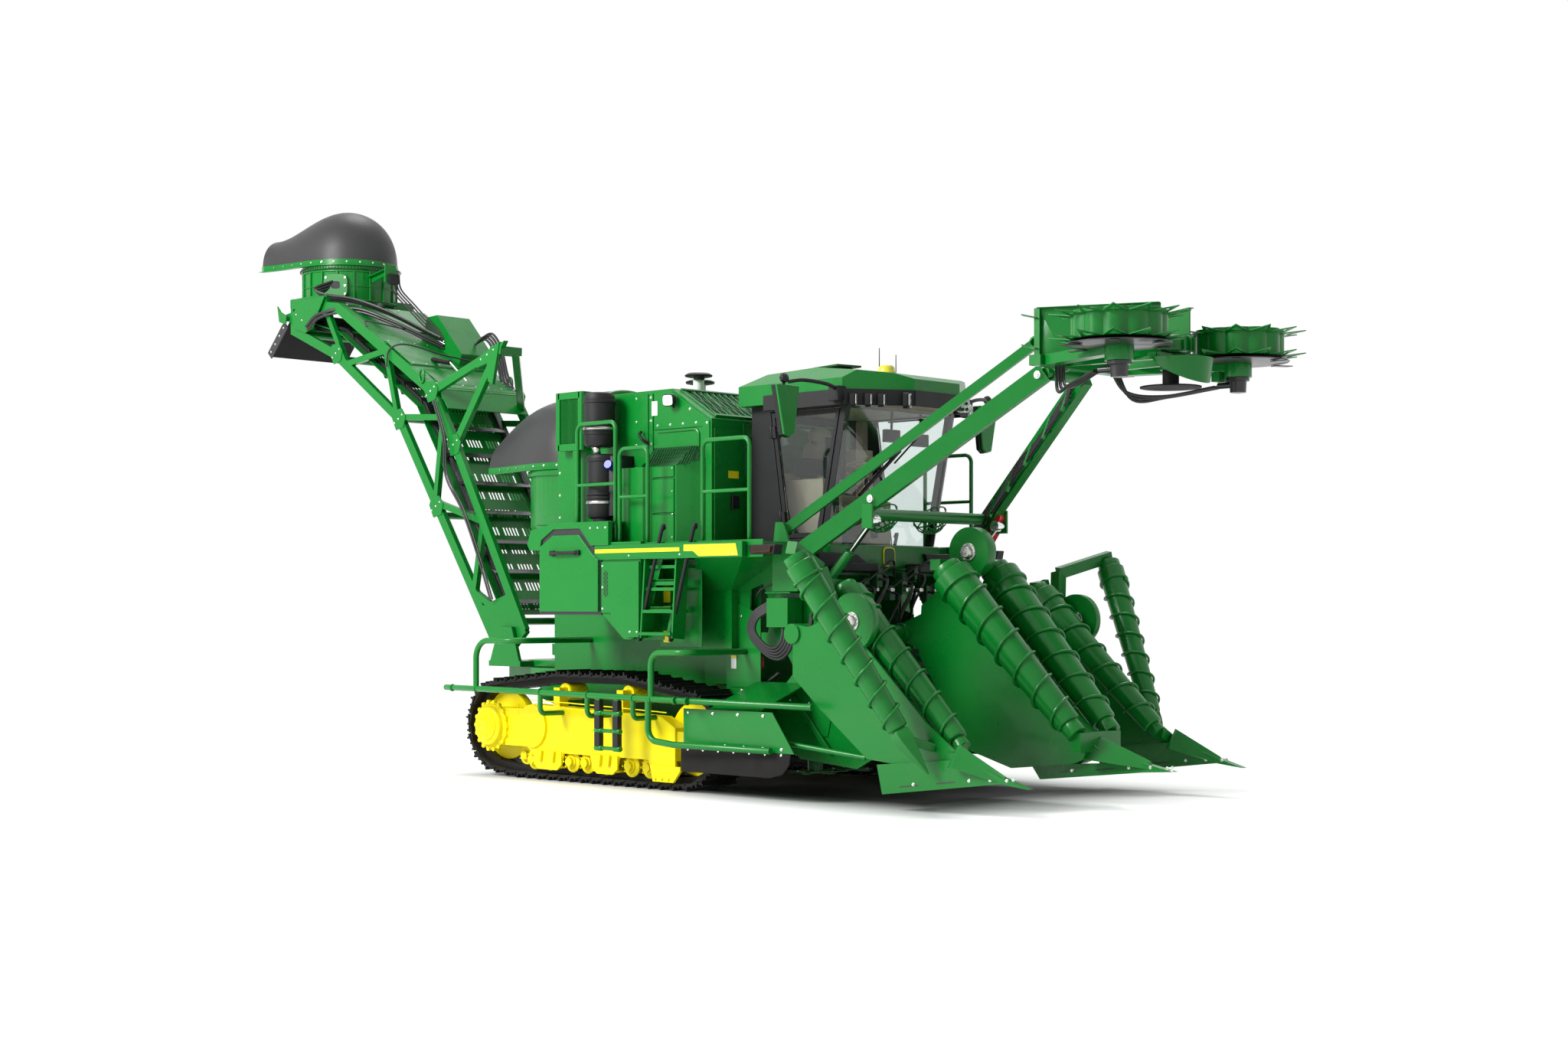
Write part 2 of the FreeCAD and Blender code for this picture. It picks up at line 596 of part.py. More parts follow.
# ---- cab ----------------------------------------------------------------------------------------------------
def lean(pillar, z):
    """The station of a leaning pillar at a height."""
    (x0, z0), (x1, z1) = pillar
    return x0 + (x1 - x0) * (z - z0) / (z1 - z0)


def cab_shell():
    """Floor, rear wall, pillars and top frame of the cab, with its windows cut."""
    z0, z1 = CAB_FLOOR_Z
    top = CAB_ROOF_Z[0]
    floor = box((CAB_REAR_X, PILLAR_A[0][0]), (-CAB_Y, CAB_Y), (z0, z1))
    rear = box((CAB_REAR_X, CAB_REAR_X + 50), (-CAB_Y + 50, CAB_Y - 50), (z1, top - 60))
    b0, b1 = PILLAR_B[0][0], PILLAR_B[1][0]
    side = side_plate([(CAB_REAR_X, z1), (b0, z1), (b1, top), (CAB_REAR_X, top)], -CAB_Y, -CAB_Y + 50)
    window = box((CAB_REAR_X - 5, CAB_REAR_X + 60), (-CAB_Y + 160, CAB_Y - 160), (z1 + 500, top - 120))
    a0, a1 = PILLAR_A[0][0], PILLAR_A[1][0]
    post = side_plate([(a0 - 35, z1), (a0 + 35, z1), (a1 + 35, top), (a1 - 35, top)], -CAB_Y, -CAB_Y + 60)
    foot = box((a0 - 35, a0 + 35), (-CAB_Y, CAB_Y), (z0, z1))
    sill = box((b0 - 20, a0 - 20), (-CAB_Y, -CAB_Y + 60), (z1, z1 + DOOR_SILL))
    ring = box((CAB_REAR_X, a1 - 20), (-CAB_Y, CAB_Y), (top - 60, top))
    ring = ring.cut(box((CAB_REAR_X + 50, a1 - 80), (-CAB_Y + 60, CAB_Y - 60), (top - 70, top + 10)))
    return fuse([floor, foot, sill, rear.cut(window), ring] + pair(side) + pair(post))


def cab_roof():
    """The roof: its nose drawn to the front between two slanted edges, its sides and rear falling to the eaves."""
    z0, z1 = CAB_ROOF_Z[0] + SEAT, CAB_ROOF_Z[1]
    x0 = CAB_REAR_X - 60
    plan = [(x0, -ROOF_Y), (ROOF_CORNER_X, -ROOF_Y), (ROOF_NOSE[0], -ROOF_NOSE[1])]
    plan += [(x, -y) for x, y in plan[::-1]]
    profile = [(x0, z0), (ROOF_NOSE[0], z0), (ROOF_NOSE[0], z0 + 190), (ROOF_NOSE[0] - 110, z0 + 240)]
    profile += [(3350, z1), (2760, z1 - 30), (x0, z0 + 190)]
    across = [(-ROOF_Y, z0), (ROOF_Y, z0), (ROOF_Y, z0 + 190), (ROOF_Y - 240, z1), (240 - ROOF_Y, z1)]
    roof = side_plate(profile, -ROOF_Y, ROOF_Y).common(flat_plate(plan, z0, z1))
    return roof.common(cross_plate(across + [(-ROOF_Y, z0 + 190)], x0, ROOF_NOSE[0]))


def cab_glass():
    """Windscreen on the front pillars, left side window and rear window."""
    z0, z1 = CAB_FLOOR_Z[1] + SEAT, CAB_ROOF_Z[0] - SEAT
    gap = 35 + SEAT
    xa0, xa1 = lean(PILLAR_A, z0) + gap, lean(PILLAR_A, z1) + gap
    screen = side_plate([(xa0, z0), (xa0 + GLASS_T, z0), (xa1 + GLASS_T, z1), (xa1, z1)], -CAB_Y, CAB_Y)
    z1 -= 60
    b0, b1 = lean(PILLAR_B, z0) + SEAT, lean(PILLAR_B, z1) + SEAT
    a0, a1 = lean(PILLAR_A, z0) - gap, lean(PILLAR_A, z1) - gap
    left = side_plate([(b0, z0), (a0, z0), (a1, z1), (b1, z1)], CAB_Y - 30, CAB_Y - 30 + GLASS_T)
    wz0, wz1 = CAB_FLOOR_Z[1] + 500 + SEAT, CAB_ROOF_Z[0] - 120 - SEAT
    rear = box((CAB_REAR_X + 20, CAB_REAR_X + 20 + GLASS_T), (-CAB_Y + 160 + SEAT, CAB_Y - 160 - SEAT), (wz0, wz1))
    return [screen, left, rear]


def cab_door():
    """Right-hand door: the frame with its two hinge barrels on the rear pillar, and its pane."""
    z0, z1 = CAB_FLOOR_Z[1] + DOOR_SILL + RUN, CAB_ROOF_Z[0] - 60 - RUN
    b0, b1 = lean(PILLAR_B, z0) + RUN, lean(PILLAR_B, z1) + RUN
    a0, a1 = lean(PILLAR_A, z0) - 35 - RUN, lean(PILLAR_A, z1) - 35 - RUN
    outline = [(b0, z0), (a0, z0), (a1, z1), (b1, z1)]
    w = 45.0
    inner = [(b0 + w, z0 + w), (a0 - w, z0 + w), (a1 - w, z1 - w), (b1 + w, z1 - w)]
    frame = side_plate(outline, -CAB_Y, -CAB_Y + DOOR_T)
    frame = frame.cut(side_plate(inner, -CAB_Y - 1, -CAB_Y + DOOR_T + 1))
    y = -CAB_Y - DOOR_HINGE_R - SEAT
    barrels = []
    for share in (0.12, 0.8):
        low, high = z0 + (z1 - z0) * share, z0 + (z1 - z0) * share + 110
        x0, x1 = lean(PILLAR_B, low), lean(PILLAR_B, high)
        barrels.append(rod(at(x0, y, low), at(x1, y, high), DOOR_HINGE_R))
        leaf = [(x0, low), (x0 + 55, low), (x1 + 55, high), (x1, high)]
        barrels.append(side_plate(leaf, y - 4, -CAB_Y + 2).cut(side_plate([(x0 - 9, low - 1), (x0 + 9, low - 1), (x1 + 9, high + 1), (x1 - 9, high + 1)], y + 8, -CAB_Y + 3)))
    pane = [(x + (SEAT if i in (0, 3) else -SEAT), z + (SEAT if i < 2 else -SEAT)) for i, (x, z) in enumerate(inner)]
    return fuse([frame] + barrels), side_plate(pane, -CAB_Y + 16, -CAB_Y + 16 + GLASS_T)


def operator_seat():
    z = CAB_FLOOR_Z[1]
    base = box((2800, 3150), (-250, 250), (z + SEAT, z + 480))
    back = box((2720, 2860), (-250, 250), (z + 480, z + 1050))
    return fuse([base, back])


def operator_console():
    """The side console and the steering column with its wheel."""
    z = CAB_FLOOR_Z[1]
    pod = box((2900, 3350), (-560, -300), (z + SEAT, z + 620))
    column = side_plate([(3405, z + SEAT), (3495, z + SEAT), (3375, z + 720), (3285, z + 720)], -45, 45)
    ring = Part.makeTorus(190, 16, at(3310, 0, z + 760), V(-0.35, 0, 1))
    hub = rod(at(3335, 0, z + 700), at(3310, 0, z + 765), 50)
    spoke = rod(at(3310, -185, z + 760), at(3310, 185, z + 760), 12)
    return [pod, fuse([column, ring, hub, spoke])]


def cab_mirrors():
    """Right-hand mirror on its arm from the roof's front corner."""
    x, y = 3700.0, -1450.0
    head = cross_plate([(y - 145, 3290), (y + 145, 3290), (y + 150, 3730), (y - 150, 3730)], x, x + 50)
    arm = pipe([at(x + 25, y, 3720), at(x + 25, y, 3850), at(x + 25, -CAB_Y - 120 - SEAT, 3850)], 16, 60)
    return fuse([head, arm])


# ---- walkways -----------------------------------------------------------------------------------------------
def platform():
    """Right-hand walkway, cut back round the topper's bracket, with its edge board and ladder."""
    x0, x1 = DECK_REAR_X, DECK_FRONT_X
    inner = -HOUSING_Y + 20
    bay_x = ARM_BASE[0] - 240
    bay_y = -(ARM_BASE[1] + PIVOT_HALF + PLATE + 2 * RUN)
    outline = [(x0, -DECK_Y), (x1, -DECK_Y), (x1, bay_y), (bay_x, bay_y), (bay_x, -FRONT_Y + 60), (2700, -FRONT_Y + 60)]
    deck = flat_plate(outline + [(2700, inner), (x0, inner)], DECK_Z - DECK_T, DECK_Z)
    board = box((BOX_X[1] + RUN, x1), (-DECK_Y - SHEET, -DECK_Y), (2190, DECK_Z + 20))
    steps = []
    for k in range(4):
        z = 1470.0 + 210.0 * k
        steps.append(box((2090, 2520), (-1760 + 40 * k, -1560 + 40 * k), (z, z + 30)))
    stiles = []
    for x in (2090.0, 2520.0):
        stiles.append(beam(at(x, -1660, 1440), at(x, -1600, DECK_Z - DECK_T + 10), 20, 160, V(0, 1, 0)))
    return fuse([deck, board] + steps + stiles)


def handrails():
    """Rails round the right-hand walkway."""
    y, r = -1600.0, 20.0
    loops = [(1020.0, 1580.0, 3530.0), (1640.0, 2040.0, 3260.0), (2790.0, 3400.0, 3280.0)]
    rails = []
    for x0, x1, z in loops:
        hoop = pipe([at(x0, y, DECK_Z), at(x0, y, z), at(x1, y, z), at(x1, y, DECK_Z)], r, 80)
        middle = (z + DECK_Z) / 2
        rails.append(fuse([hoop, rod(at(x0, y, middle), at(x1, y, middle), r - 3)]))
    return rails


# ---- row dividers -------------------------------------------------------------------------------------------
OUTER_TOP = (4646.0, 2258.0, 2104.0)
OUTER_FOOT = (5400.0, 1860.0, 720.0)
INNER_TOP = (4430.0, 1394.0, 1845.0)
INNER_FOOT = (5700.0, 1444.0, 625.0)
CENTRE_TOP = (4740.0, 350.0, 2020.0)
CENTRE_FOOT = (5980.0, 262.0, 720.0)


def scroll(top, foot, r0, r1):
    """A tapered lifting scroll with its raised rib, drawn as rings, from its upper to its lower bearing."""
    p, q = at(*top), at(*foot)
    along = q - p
    long = along.Length
    along.normalize()
    body = cone(p, q, r0, r1)
    rings = []
    for k in range(1, 8):
        t = k / 8.0
        r = r0 + (r1 - r0) * t
        c = p + along * (long * t)
        rings.append(Part.makeCone(r + SCROLL_RIB_H, r + SCROLL_RIB_H - 4, 26, c, along))
    return fuse([body] + rings)


def bearing(top, foot, r, back):
    """A round boss behind a scroll's end, on the scroll's axis, with the running gap between."""
    p, q = at(*top), at(*foot)
    along = p - q
    along.normalize()
    return rod(p + along * SEAT, p + along * (SEAT + back), r)


def side_divider():
    """Right-hand divider: side sheet, shoe, nose, the arm of the outer scroll and the bearings of both."""
    y = -TIP_Y
    px, pz = DIVIDER_PIVOT
    sheet_outline = [(3950, 1500), (3950, 1120), (4270, 850), (4830, 430), (5500, 370), (5900, 480)]
    sheet_outline += [(5500, 760), (4700, 1500), (4450, 1660)]
    wall = side_plate(sheet_outline, y - PLATE / 2, y + PLATE / 2)
    shoe = side_plate([(4970, 390), (5030, 140), (6310, 300), (TIP_X, TIP_Z), (6310, 350), (5900, 480)], y - 40, y + 40)
    nose = Part.makeLoft([arrow(5840, y, 150, 420, 600), arrow(6330, y, 30, 300, 360)], True)
    ends = []
    for top, foot, r_foot, r_top in ((INNER_TOP, INNER_FOOT, 70, 120), (OUTER_TOP, OUTER_FOOT, 60, 110)):
        high, low = (top[0], -top[1], top[2]), (foot[0], -foot[1], foot[2])
        ends += [bearing(low, high, r_foot, 90), bearing(high, low, r_top, 80)]
    elbow = at(4390, -1740, 2070)
    arms = [
        beam(at(4480, y, 1580), elbow, 120, 100, V(1, 0, 0)),
        beam(elbow, at(4600, -2310, 2240), 110, 90, V(1, 0, 0)),
        beam(at(4420, y, 1580), at(4290, y, 1990), 80, 110, V(1, 0, 0)),
        beam(at(4290, y, 1950), at(INNER_TOP[0] - 80, -INNER_TOP[1], INNER_TOP[2] + 85), 90, 90, V(1, 0, 0)),
        beam(at(5560, y, 560), at(OUTER_FOOT[0] + 40, -OUTER_FOOT[1], OUTER_FOOT[2] - 70), 90, 70),
        beam(at(5760, y, 500), at(INNER_FOOT[0] + 60, -INNER_FOOT[1], INNER_FOOT[2] - 60), 90, 90, V(1, 0, 0)),
    ]
    disc = rod(at(4700, y - 60, 1610), at(4700, y + PLATE / 2, 1610), 250)
    sleeve = rod(at(px, y - 30, pz), at(px, -FRONT_Y - RUN, pz), DIVIDER_TUBE_R + PLATE)
    neck = side_plate([(px, pz - 85), (px + 200, pz - 140), (px + 200, pz + 60), (px, pz + 85)], y - PLATE / 2, y + 100)
    bore = rod(at(px, y - SEAT, pz), at(px, 0, pz), DIVIDER_TUBE_R + PIN_GAP)
    return fuse([wall, shoe, nose, disc, sleeve, neck] + arms + ends).cut(bore)


def centre_divider():
    """The divider between the two rows: two side sheets closed into a wedge, nose and scroll bearings."""
    px, pz = DIVIDER_PIVOT
    outline = [(4180, 1750), (4150, 1290), (4740, 430), (5230, 290), (5900, 360), (6200, 480), (5700, 900)]
    outline += [(4700, 1880), (4450, 1950)]
    body = side_plate(outline, -110, 110)
    shoe = side_plate([(5400, 330), (5500, 200), (6600, 320), (CENTRE_TIP_X, CENTRE_TIP_Z), (6600, 400)], -40, 40)
    nose = Part.makeLoft([arrow(6100, 0, 230, 420, 620), arrow(6650, 0, 40, 350, 420)], True)
    ends = []
    for s in (-1, 1):
        top = (CENTRE_TOP[0], s * CENTRE_TOP[1], CENTRE_TOP[2])
        foot = (CENTRE_FOOT[0], s * CENTRE_FOOT[1], CENTRE_FOOT[2])
        ends += [bearing(top, foot, 140, 90), bearing(foot, top, 90, 120)]
    yoke = box((4560, 4680), (-440, 440), (2070, 2170))
    prong = box((6020, 6130), (-300, 300), (480, 650))
    post = box((4480, 4620), (-110, 110), (1800, 2170))
    disc = rod(at(4700, -60, 2240), at(4700, 60, 2240), 230)
    neck = side_plate([(px, pz - 85), (4300, pz - 220), (4300, pz + 220), (px, pz + 85)], -110, 110)
    sleeve = rod(at(px, -160, pz), at(px, 160, pz), DIVIDER_TUBE_R + PLATE)
    bore = rod(at(px, -200, pz), at(px, 200, pz), DIVIDER_TUBE_R + PIN_GAP)
    return fuse([body, shoe, nose, yoke, prong, post, neck, sleeve, disc] + ends).cut(bore)


# ---- topper -------------------------------------------------------------------------------------------------
def on_arm(share, side):
    """A point along a topper arm's middle line; side is -1 on the right."""
    x, y, z = [a + (b - a) * share for a, b in zip(ARM_BASE, ARM_HEAD)]
    return at(x, y * side, z)


def topper_arms():
    """Both lift arms with their foot bosses, the tube and the shaft that tie them, and the cylinders' lugs."""
    parts = []
    bores = []
    for s in (-1, 1):
        parts.append(beam(on_arm(0.0, s), on_arm(1.0, s), ARM_W, ARM_H))
        foot = on_arm(0.0, s)
        half = V(0, PIVOT_HALF, 0)
        parts.append(rod(foot - half, foot + half, 95))
        bores.append(rod(foot - half * 2, foot + half * 2, PIN_R + PIN_GAP))
        pin = lift_head(s)
        outer = s * (LIFT_EYE_HALF + RUN)
        lug = box((pin.x - DATUM_X - 60, pin.x - DATUM_X + 60), sorted((outer, outer + s * PLATE)), (-70, 150))
        lug.translate(V(0, pin.y, pin.z))
        parts.append(lug)
    parts.append(rod(on_arm(ARM_TIE_SHARE, -1), on_arm(ARM_TIE_SHARE, 1), 55))
    parts.append(rod(on_arm(1.0, -1), on_arm(1.0, 1), HEAD_SHAFT_R))
    return fuse(parts).cut(fuse(bores))


def topper_link():
    """The right-hand levelling link with an eye at each end."""
    dx, dz = LINK_OFFSET
    off = V(dx, 0, dz)
    a, b = on_arm(0.0, -1) + off, on_arm(1.0, -1) + off
    half = V(0, LINK_HALF, 0)
    bar = fuse([beam(a, b, 50, 90)] + [rod(p - half, p + half, 52) for p in (a, b)])
    return bar.cut(rod(a - half * 2, a + half * 2, PIN_R - 5 + PIN_GAP)).cut(rod(b - half * 2, b + half * 2, LINK_EYE_R))


def topper_head():
    """Levelled frame on the arms' shaft: cross beam, gathering plates and the beams over the drums' bearings."""
    hx, hy, hz = ARM_HEAD
    low = DRUM_Z[0] - RUN - 90
    cross = box((hx + 130, hx + 250), (-700, 700), (low, low + 90))
    shaft = rod(at(hx, -900, hz), at(hx, 900, hz), HEAD_SHAFT_R + PIN_GAP)
    inner = hy - ARM_W / 2 - 2 * RUN
    sleeve = rod(at(hx, -inner, hz), at(hx, inner, hz), HEAD_SHAFT_R + PLATE)
    cheeks = [
        side_plate([(hx - 60, hz - 60), (hx + 200, low), (hx + 200, low + 90), (hx + 60, hz + 90), (hx - 60, hz + 60)], y - 15, y + 15)
        for y in (-inner + 30, inner - 30)
    ]
    parts = [cross, sleeve] + cheeks
    link = V(LINK_OFFSET[0], 0, LINK_OFFSET[1])
    eye = at(hx, -hy, hz) + link
    horn = side_plate([(hx + 40, hz), (hx + 140, low + 60), (hx - 30, hz + 330), (hx - 140, hz + 330), (hx - 150, hz + 220)], -inner, -inner + PLATE)
    parts.append(horn)
    parts.append(rod(V(eye.x, -inner, eye.z), V(eye.x, -hy + LINK_HALF, eye.z), LINK_EYE_R - RUN))
    for s in (-1, 1):
        p, q = at(5940, s * 650, low + 45), at(6900, s * 225, low + 45)
        up = UP * 445
        parts.append(sheet([p, q, q + up, p + up], SHEET * s))
        parts.append(beam(at(hx + 190, s * 560, low + 45), at(DRUM_X, s * DRUM_Y, low + 45), 130, 90))
        parts.append(rod(at(DRUM_X, s * DRUM_Y, low - 60), at(DRUM_X, s * DRUM_Y, DRUM_Z[0] - SEAT), 120))
        parts.append(beam(at(hx + 190, s * 300, low + 45), at(6880, s * 235, low + 45), 60, 60))
    parts.append(beam(at(6880, -260, low + 45), at(6880, 260, low + 45), 60, 60))
    parts.append(rod(at(DRUM_X - 100, 0, low - 60), at(DRUM_X - 100, 0, low + 75), 90))
    return fuse(parts).cut(shaft)


def star(x, y, z, t):
    rows = []
    for k in range(STAR_POINTS * 2):
        a = math.pi * k / STAR_POINTS
        r = STAR_R if k % 2 else DRUM_R
        rows.append((x + r * math.cos(a), y + r * math.sin(a)))
    return flat_plate(rows, z, z + t)


def topper_drum(s):
    """A gathering drum with a toothed disc at each end."""
    x, y = DRUM_X, s * DRUM_Y
    z0, z1 = DRUM_Z
    return fuse([rod(at(x, y, z0), at(x, y, z1), DRUM_R), star(x, y, z0, 10), star(x, y, z1, 10)])


def topper_cutter():
    """The knife disc under the head's middle bearing."""
    x = DRUM_X - 100
    z1 = DRUM_Z[0] - RUN - 90 - 60 - SEAT
    return fuse([rod(at(x, 0, z1 - 150), at(x, 0, z1), 70), rod(at(x, 0, z1 - 150), at(x, 0, z1 - 138), CUTTER_R)])


def cylinder(foot, head, r, share, half, foot_pin):
    """A hydraulic cylinder: the barrel with its foot eye, and the rod with its head eye, apart by a gap."""
    along = head - foot
    long = along.Length
    along.normalize()
    cut = long * share
    side = V(0, half, 0)
    bore = rod(foot + along * (2.5 * r), foot + along * (cut + 1), r * 0.55 + PIN_GAP)
    eye = 1.08 * r
    barrel = fuse([rod(foot, foot + along * cut, r), rod(foot - side, foot + side, eye)]).cut(bore)
    barrel = barrel.cut(rod(foot - side * 2, foot + side * 2, foot_pin + PIN_GAP))
    stem = rod(foot + along * (2.5 * r + long * 0.3), head, r * 0.55)
    return barrel, fuse([stem, rod(head - side, head + side, eye)])


def topper_lift():
    """The lift cylinders under the topper arms."""
    barrels, rods = [], []
    for s in (-1, 1):
        head = lift_head(s)
        foot = V(at(LIFT_FOOT[0], 0, 0).x, head.y, LIFT_FOOT[1])
        b, r = cylinder(foot, head, 48, 0.55, LIFT_EYE_HALF, PIN_R)
        barrels.append(b)
        rods.append(r)
    return barrels, rods


# ---- elevator -----------------------------------------------------------------------------------------------
def slew_table():
    """Turntable over the tail ring: two ears that hold the elevator's pivots and the arm of its cylinder."""
    disc = rod(at(SLEW_X, 0, SLEW_Z), at(SLEW_X, 0, SLEW_Z + 70), 500)
    px, pz = LIFT_PIVOT
    inner = ELEVATOR_Y + SIDE_T / 2 + RUN
    parts = [disc, box((px - 280, px + 260), (-inner - 40, inner + 40), (SLEW_Z, SLEW_Z + 60))]
    for s in (-1, 1):
        y0, y1 = sorted((s * inner, s * (inner + 40)))
        parts.append(side_plate([(px - 280, SLEW_Z), (px + 260, SLEW_Z), (px + 110, pz + 90), (px - 110, pz + 90)], y0, y1))
    fx, fz = ELEVATOR_CYL_FOOT
    parts.append(side_plate([(px - 100, SLEW_Z), (px - 100, SLEW_Z + 120), (fx - 80, fz + 60), (fx - 80, fz - 70)], inner, inner + 40))
    parts.append(rod(at(fx, inner, fz), at(fx, ELEVATOR_CYL_Y + ELEVATOR_EYE_HALF, fz), PIN_R + 5))
    return fuse(parts).cut(rod(at(px, -900, pz), at(px, 900, pz), LIFT_PIN_R + PIN_GAP))


def chord(points, y):
    bars = []
    for (x0, z0), (x1, z1) in zip(points, points[1:]):
        bars.append(beam(at(x0, y, z0), at(x1, y, z1), CHORD, SIDE_T, V(0, 1, 0)))
    for x, z in points[1:-1]:
        bars.append(rod(at(x, y - SIDE_T / 2, z), at(x, y + SIDE_T / 2, z), CHORD / 2))
    return bars


def along(points, share):
    """A point part of the way along a broken line."""
    lengths = [math.dist(p, q) for p, q in zip(points, points[1:])]
    want = share * sum(lengths)
    for (p, q), length in zip(zip(points, points[1:]), lengths):
        if want <= length:
            t = want / length
            return p[0] + (q[0] - p[0]) * t, p[1] + (q[1] - p[1]) * t
        want -= length
    return points[-1]


def elevator_side(s):
    """One side of the truss: its two chords, the braces between them and the foot plate with its pivot pin."""
    outer = ELEVATOR_Y + SIDE_T / 2
    near, far = sorted((s * outer, s * (outer - SIDE_T)))
    px, pz = LIFT_PIVOT
    shares = [k / 9.0 for k in range(10)]
    parts = [side_plate(strip(line, CHORD), near, far) for line in (LOWER_CHORD, UPPER_CHORD)]
    for k, (a, b) in enumerate(zip(shares, shares[1:])):
        p = along(LOWER_CHORD if k % 2 else UPPER_CHORD, a)
        q = along(UPPER_CHORD if k % 2 else LOWER_CHORD, b)
        parts.append(side_plate(strip([p, q], 70), near, far))
    foot = [(px - 330, pz - 90), (px + 100, pz - 130), (px + 290, pz + 30), (px + 50, pz + 470), (px - 450, pz + 320)]
    parts.append(side_plate(foot, near, far))
    parts.append(rod(at(px, s * (outer - SIDE_T / 2), pz), at(px, s * (outer + RUN + 40), pz), LIFT_PIN_R))
    return parts


def elevator_mast():
    """The mast on the truss's right side: leg, strut and folded top plate, a leg to the left side, lifting eyes."""
    outer = ELEVATOR_Y + SIDE_T / 2
    mx, mz = MAST_TOP
    legs = side_plate(strip([UPPER_CHORD[1], MAST_TOP, UPPER_CHORD[2]], 90), -outer, -outer + SIDE_T)
    top = side_plate(strip([(mx - 130, mz), (mx + 60, mz - 10)], 90), -outer, -outer + 2 * MAST_HALF)
    knee = along(UPPER_CHORD[1:3], 0.75)
    far = beam(at(mx, -outer + 2 * MAST_HALF - 45, mz), at(knee[0], ELEVATOR_Y, knee[1]), 80, 80)
    return [legs, top, far]


def elevator_covers():
    """Sheets over the truss from its knee to the head, and the box over the drive motor on the left."""
    outer = ELEVATOR_Y + SIDE_T / 2
    line = shifted(UPPER_CHORD[2:], -(CHORD + SHEET) / 2)
    sheets = side_plate(strip(line, SHEET), -outer, outer)
    (ax, az), (bx, bz) = along(line, 0.2), along(line, 0.45)
    box_line = [(ax, az), (bx, bz), (bx + 60, bz + 230), (bx + 260, bz + 240), (ax + 60, az + 150)]
    return [sheets, side_plate(box_line, outer - 480, outer)]


def elevator_floor():
    """The floor between the chain's runs, with rows of slots that let the dirt fall through."""
    line = trimmed(MIDDLE, 260.0)
    floor = side_plate(strip(line, FLOOR_T), -ELEVATOR_Y, ELEVATOR_Y)
    wide, long = SLOT
    slots = []
    for k in range(SLOT_ROWS):
        x, z = along(line, (k + 0.5) / SLOT_ROWS)
        nx, nz = along(line, (k + 0.55) / SLOT_ROWS)
        turn = math.degrees(math.atan2(x - nx, nz - z))
        for y in SLOT_PLACES:
            slot = box((x - 2 * FLOOR_T, x + 2 * FLOOR_T), (y - wide / 2, y + wide / 2), (z - long / 2, z + long / 2))
            slot.rotate(at(x, 0, z), V(0, -1, 0), turn)
            slots.append(slot)
    return floor.cut(Part.makeCompound(slots))


def elevator_frame():
    """The truss, its ties, floor, covers and mast, and the extractor's casing at the head."""
    parts = [part for s in (-1, 1) for part in elevator_side(s)]
    parts += elevator_mast() + elevator_covers() + [elevator_floor()]
    outer = ELEVATOR_Y + SIDE_T / 2
    hx, hz = ELEVATOR_CYL_HEAD
    parts.append(rod(at(hx, ELEVATOR_Y, hz), at(hx, ELEVATOR_CYL_Y - ELEVATOR_EYE_HALF - RUN, hz), LIFT_PIN_R))
    for share in (0.04, 0.3, 0.55, 0.8, 0.97):
        x, z = along(LOWER_CHORD, share)
        parts.append(rod(at(x, -ELEVATOR_Y, z), at(x, ELEVATOR_Y, z), 40))
    z0, z1 = SECOND_Z
    casing = rod(at(SECOND_X, 0, z0), at(SECOND_X, 0, z1 - SEAT), SECOND_R)
    bore = rod(at(SECOND_X, 0, z0 - 100), at(SECOND_X, 0, z1 + 1), SECOND_R - SHEET)
    end = LOWER_CHORD[-1]
    cradle = box((end[0] - 30, SECOND_X + 420), (-outer, outer), (z0 - 40, z0 + 60))
    tip = box((end[0] - 30, end[0] + 25), (-outer + 5, outer - 5), (end[1] - CHORD / 2, z0 - 20))
    rim = rod(at(SECOND_X, 0, z1 - 40), at(SECOND_X, 0, z1 - SEAT), SECOND_R + 35)
    inside = spider(SECOND_X, z0, SECOND_R, z1 - SECOND_FAN_DROP)
    frame = fuse(parts + [casing, rim, cradle, tip]).cut(bore)
    return frame.fuse(fuse(flap_hinge() + [inside]))


def flap_hinge():
    """The two lugs at the elevator's end and the pin that the flap swings on."""
    fx, fz = FLAP_HINGE
    end = LOWER_CHORD[-1][0] - 10
    outline = [(fx - 40, fz - 40), (end, fz - 60), (end, fz + 60), (fx - 40, fz + 40)]
    lugs = [side_plate(outline, y - 15, y + 15) for y in (-ELEVATOR_Y, ELEVATOR_Y)]
    return lugs + [rod(at(fx, -ELEVATOR_Y, fz), at(fx, ELEVATOR_Y, fz), FLAP_PIN_R)]


def elevator_chain():
    """Two closed chains round the floor, with the slats across them."""
    half = FLOOR_T / 2 + SEAT
    line = trimmed(MIDDLE, 90.0)
    parts = []
    for y in (-480.0, 480.0):
        outside = side_plate(strip(line, 2 * (half + CHAIN_T)), y - 25, y + 25)
        inside = side_plate(strip(trimmed(MIDDLE, 90.0 + CHAIN_T), 2 * half), y - 26, y + 26)
        parts.append(outside.cut(inside))
    for side in (half, -half - SLAT_H):
        run = shifted(trimmed(MIDDLE, 200.0), side + SLAT_H / 2)
        for k in range(SLAT_COUNT):
            x, z = along(run, (k + 0.5) / SLAT_COUNT)
            nx, nz = along(run, (k + 0.6) / SLAT_COUNT)
            slat = box((x - 5, x + 5), (-530, 530), (z - SLAT_H / 2 + 1, z + SLAT_H / 2 - 1))
            slat.rotate(at(x, 0, z), V(0, 1, 0), math.degrees(math.atan2(x - nx, nz - z)) - 90)
            parts.append(slat)
    return fuse(parts)


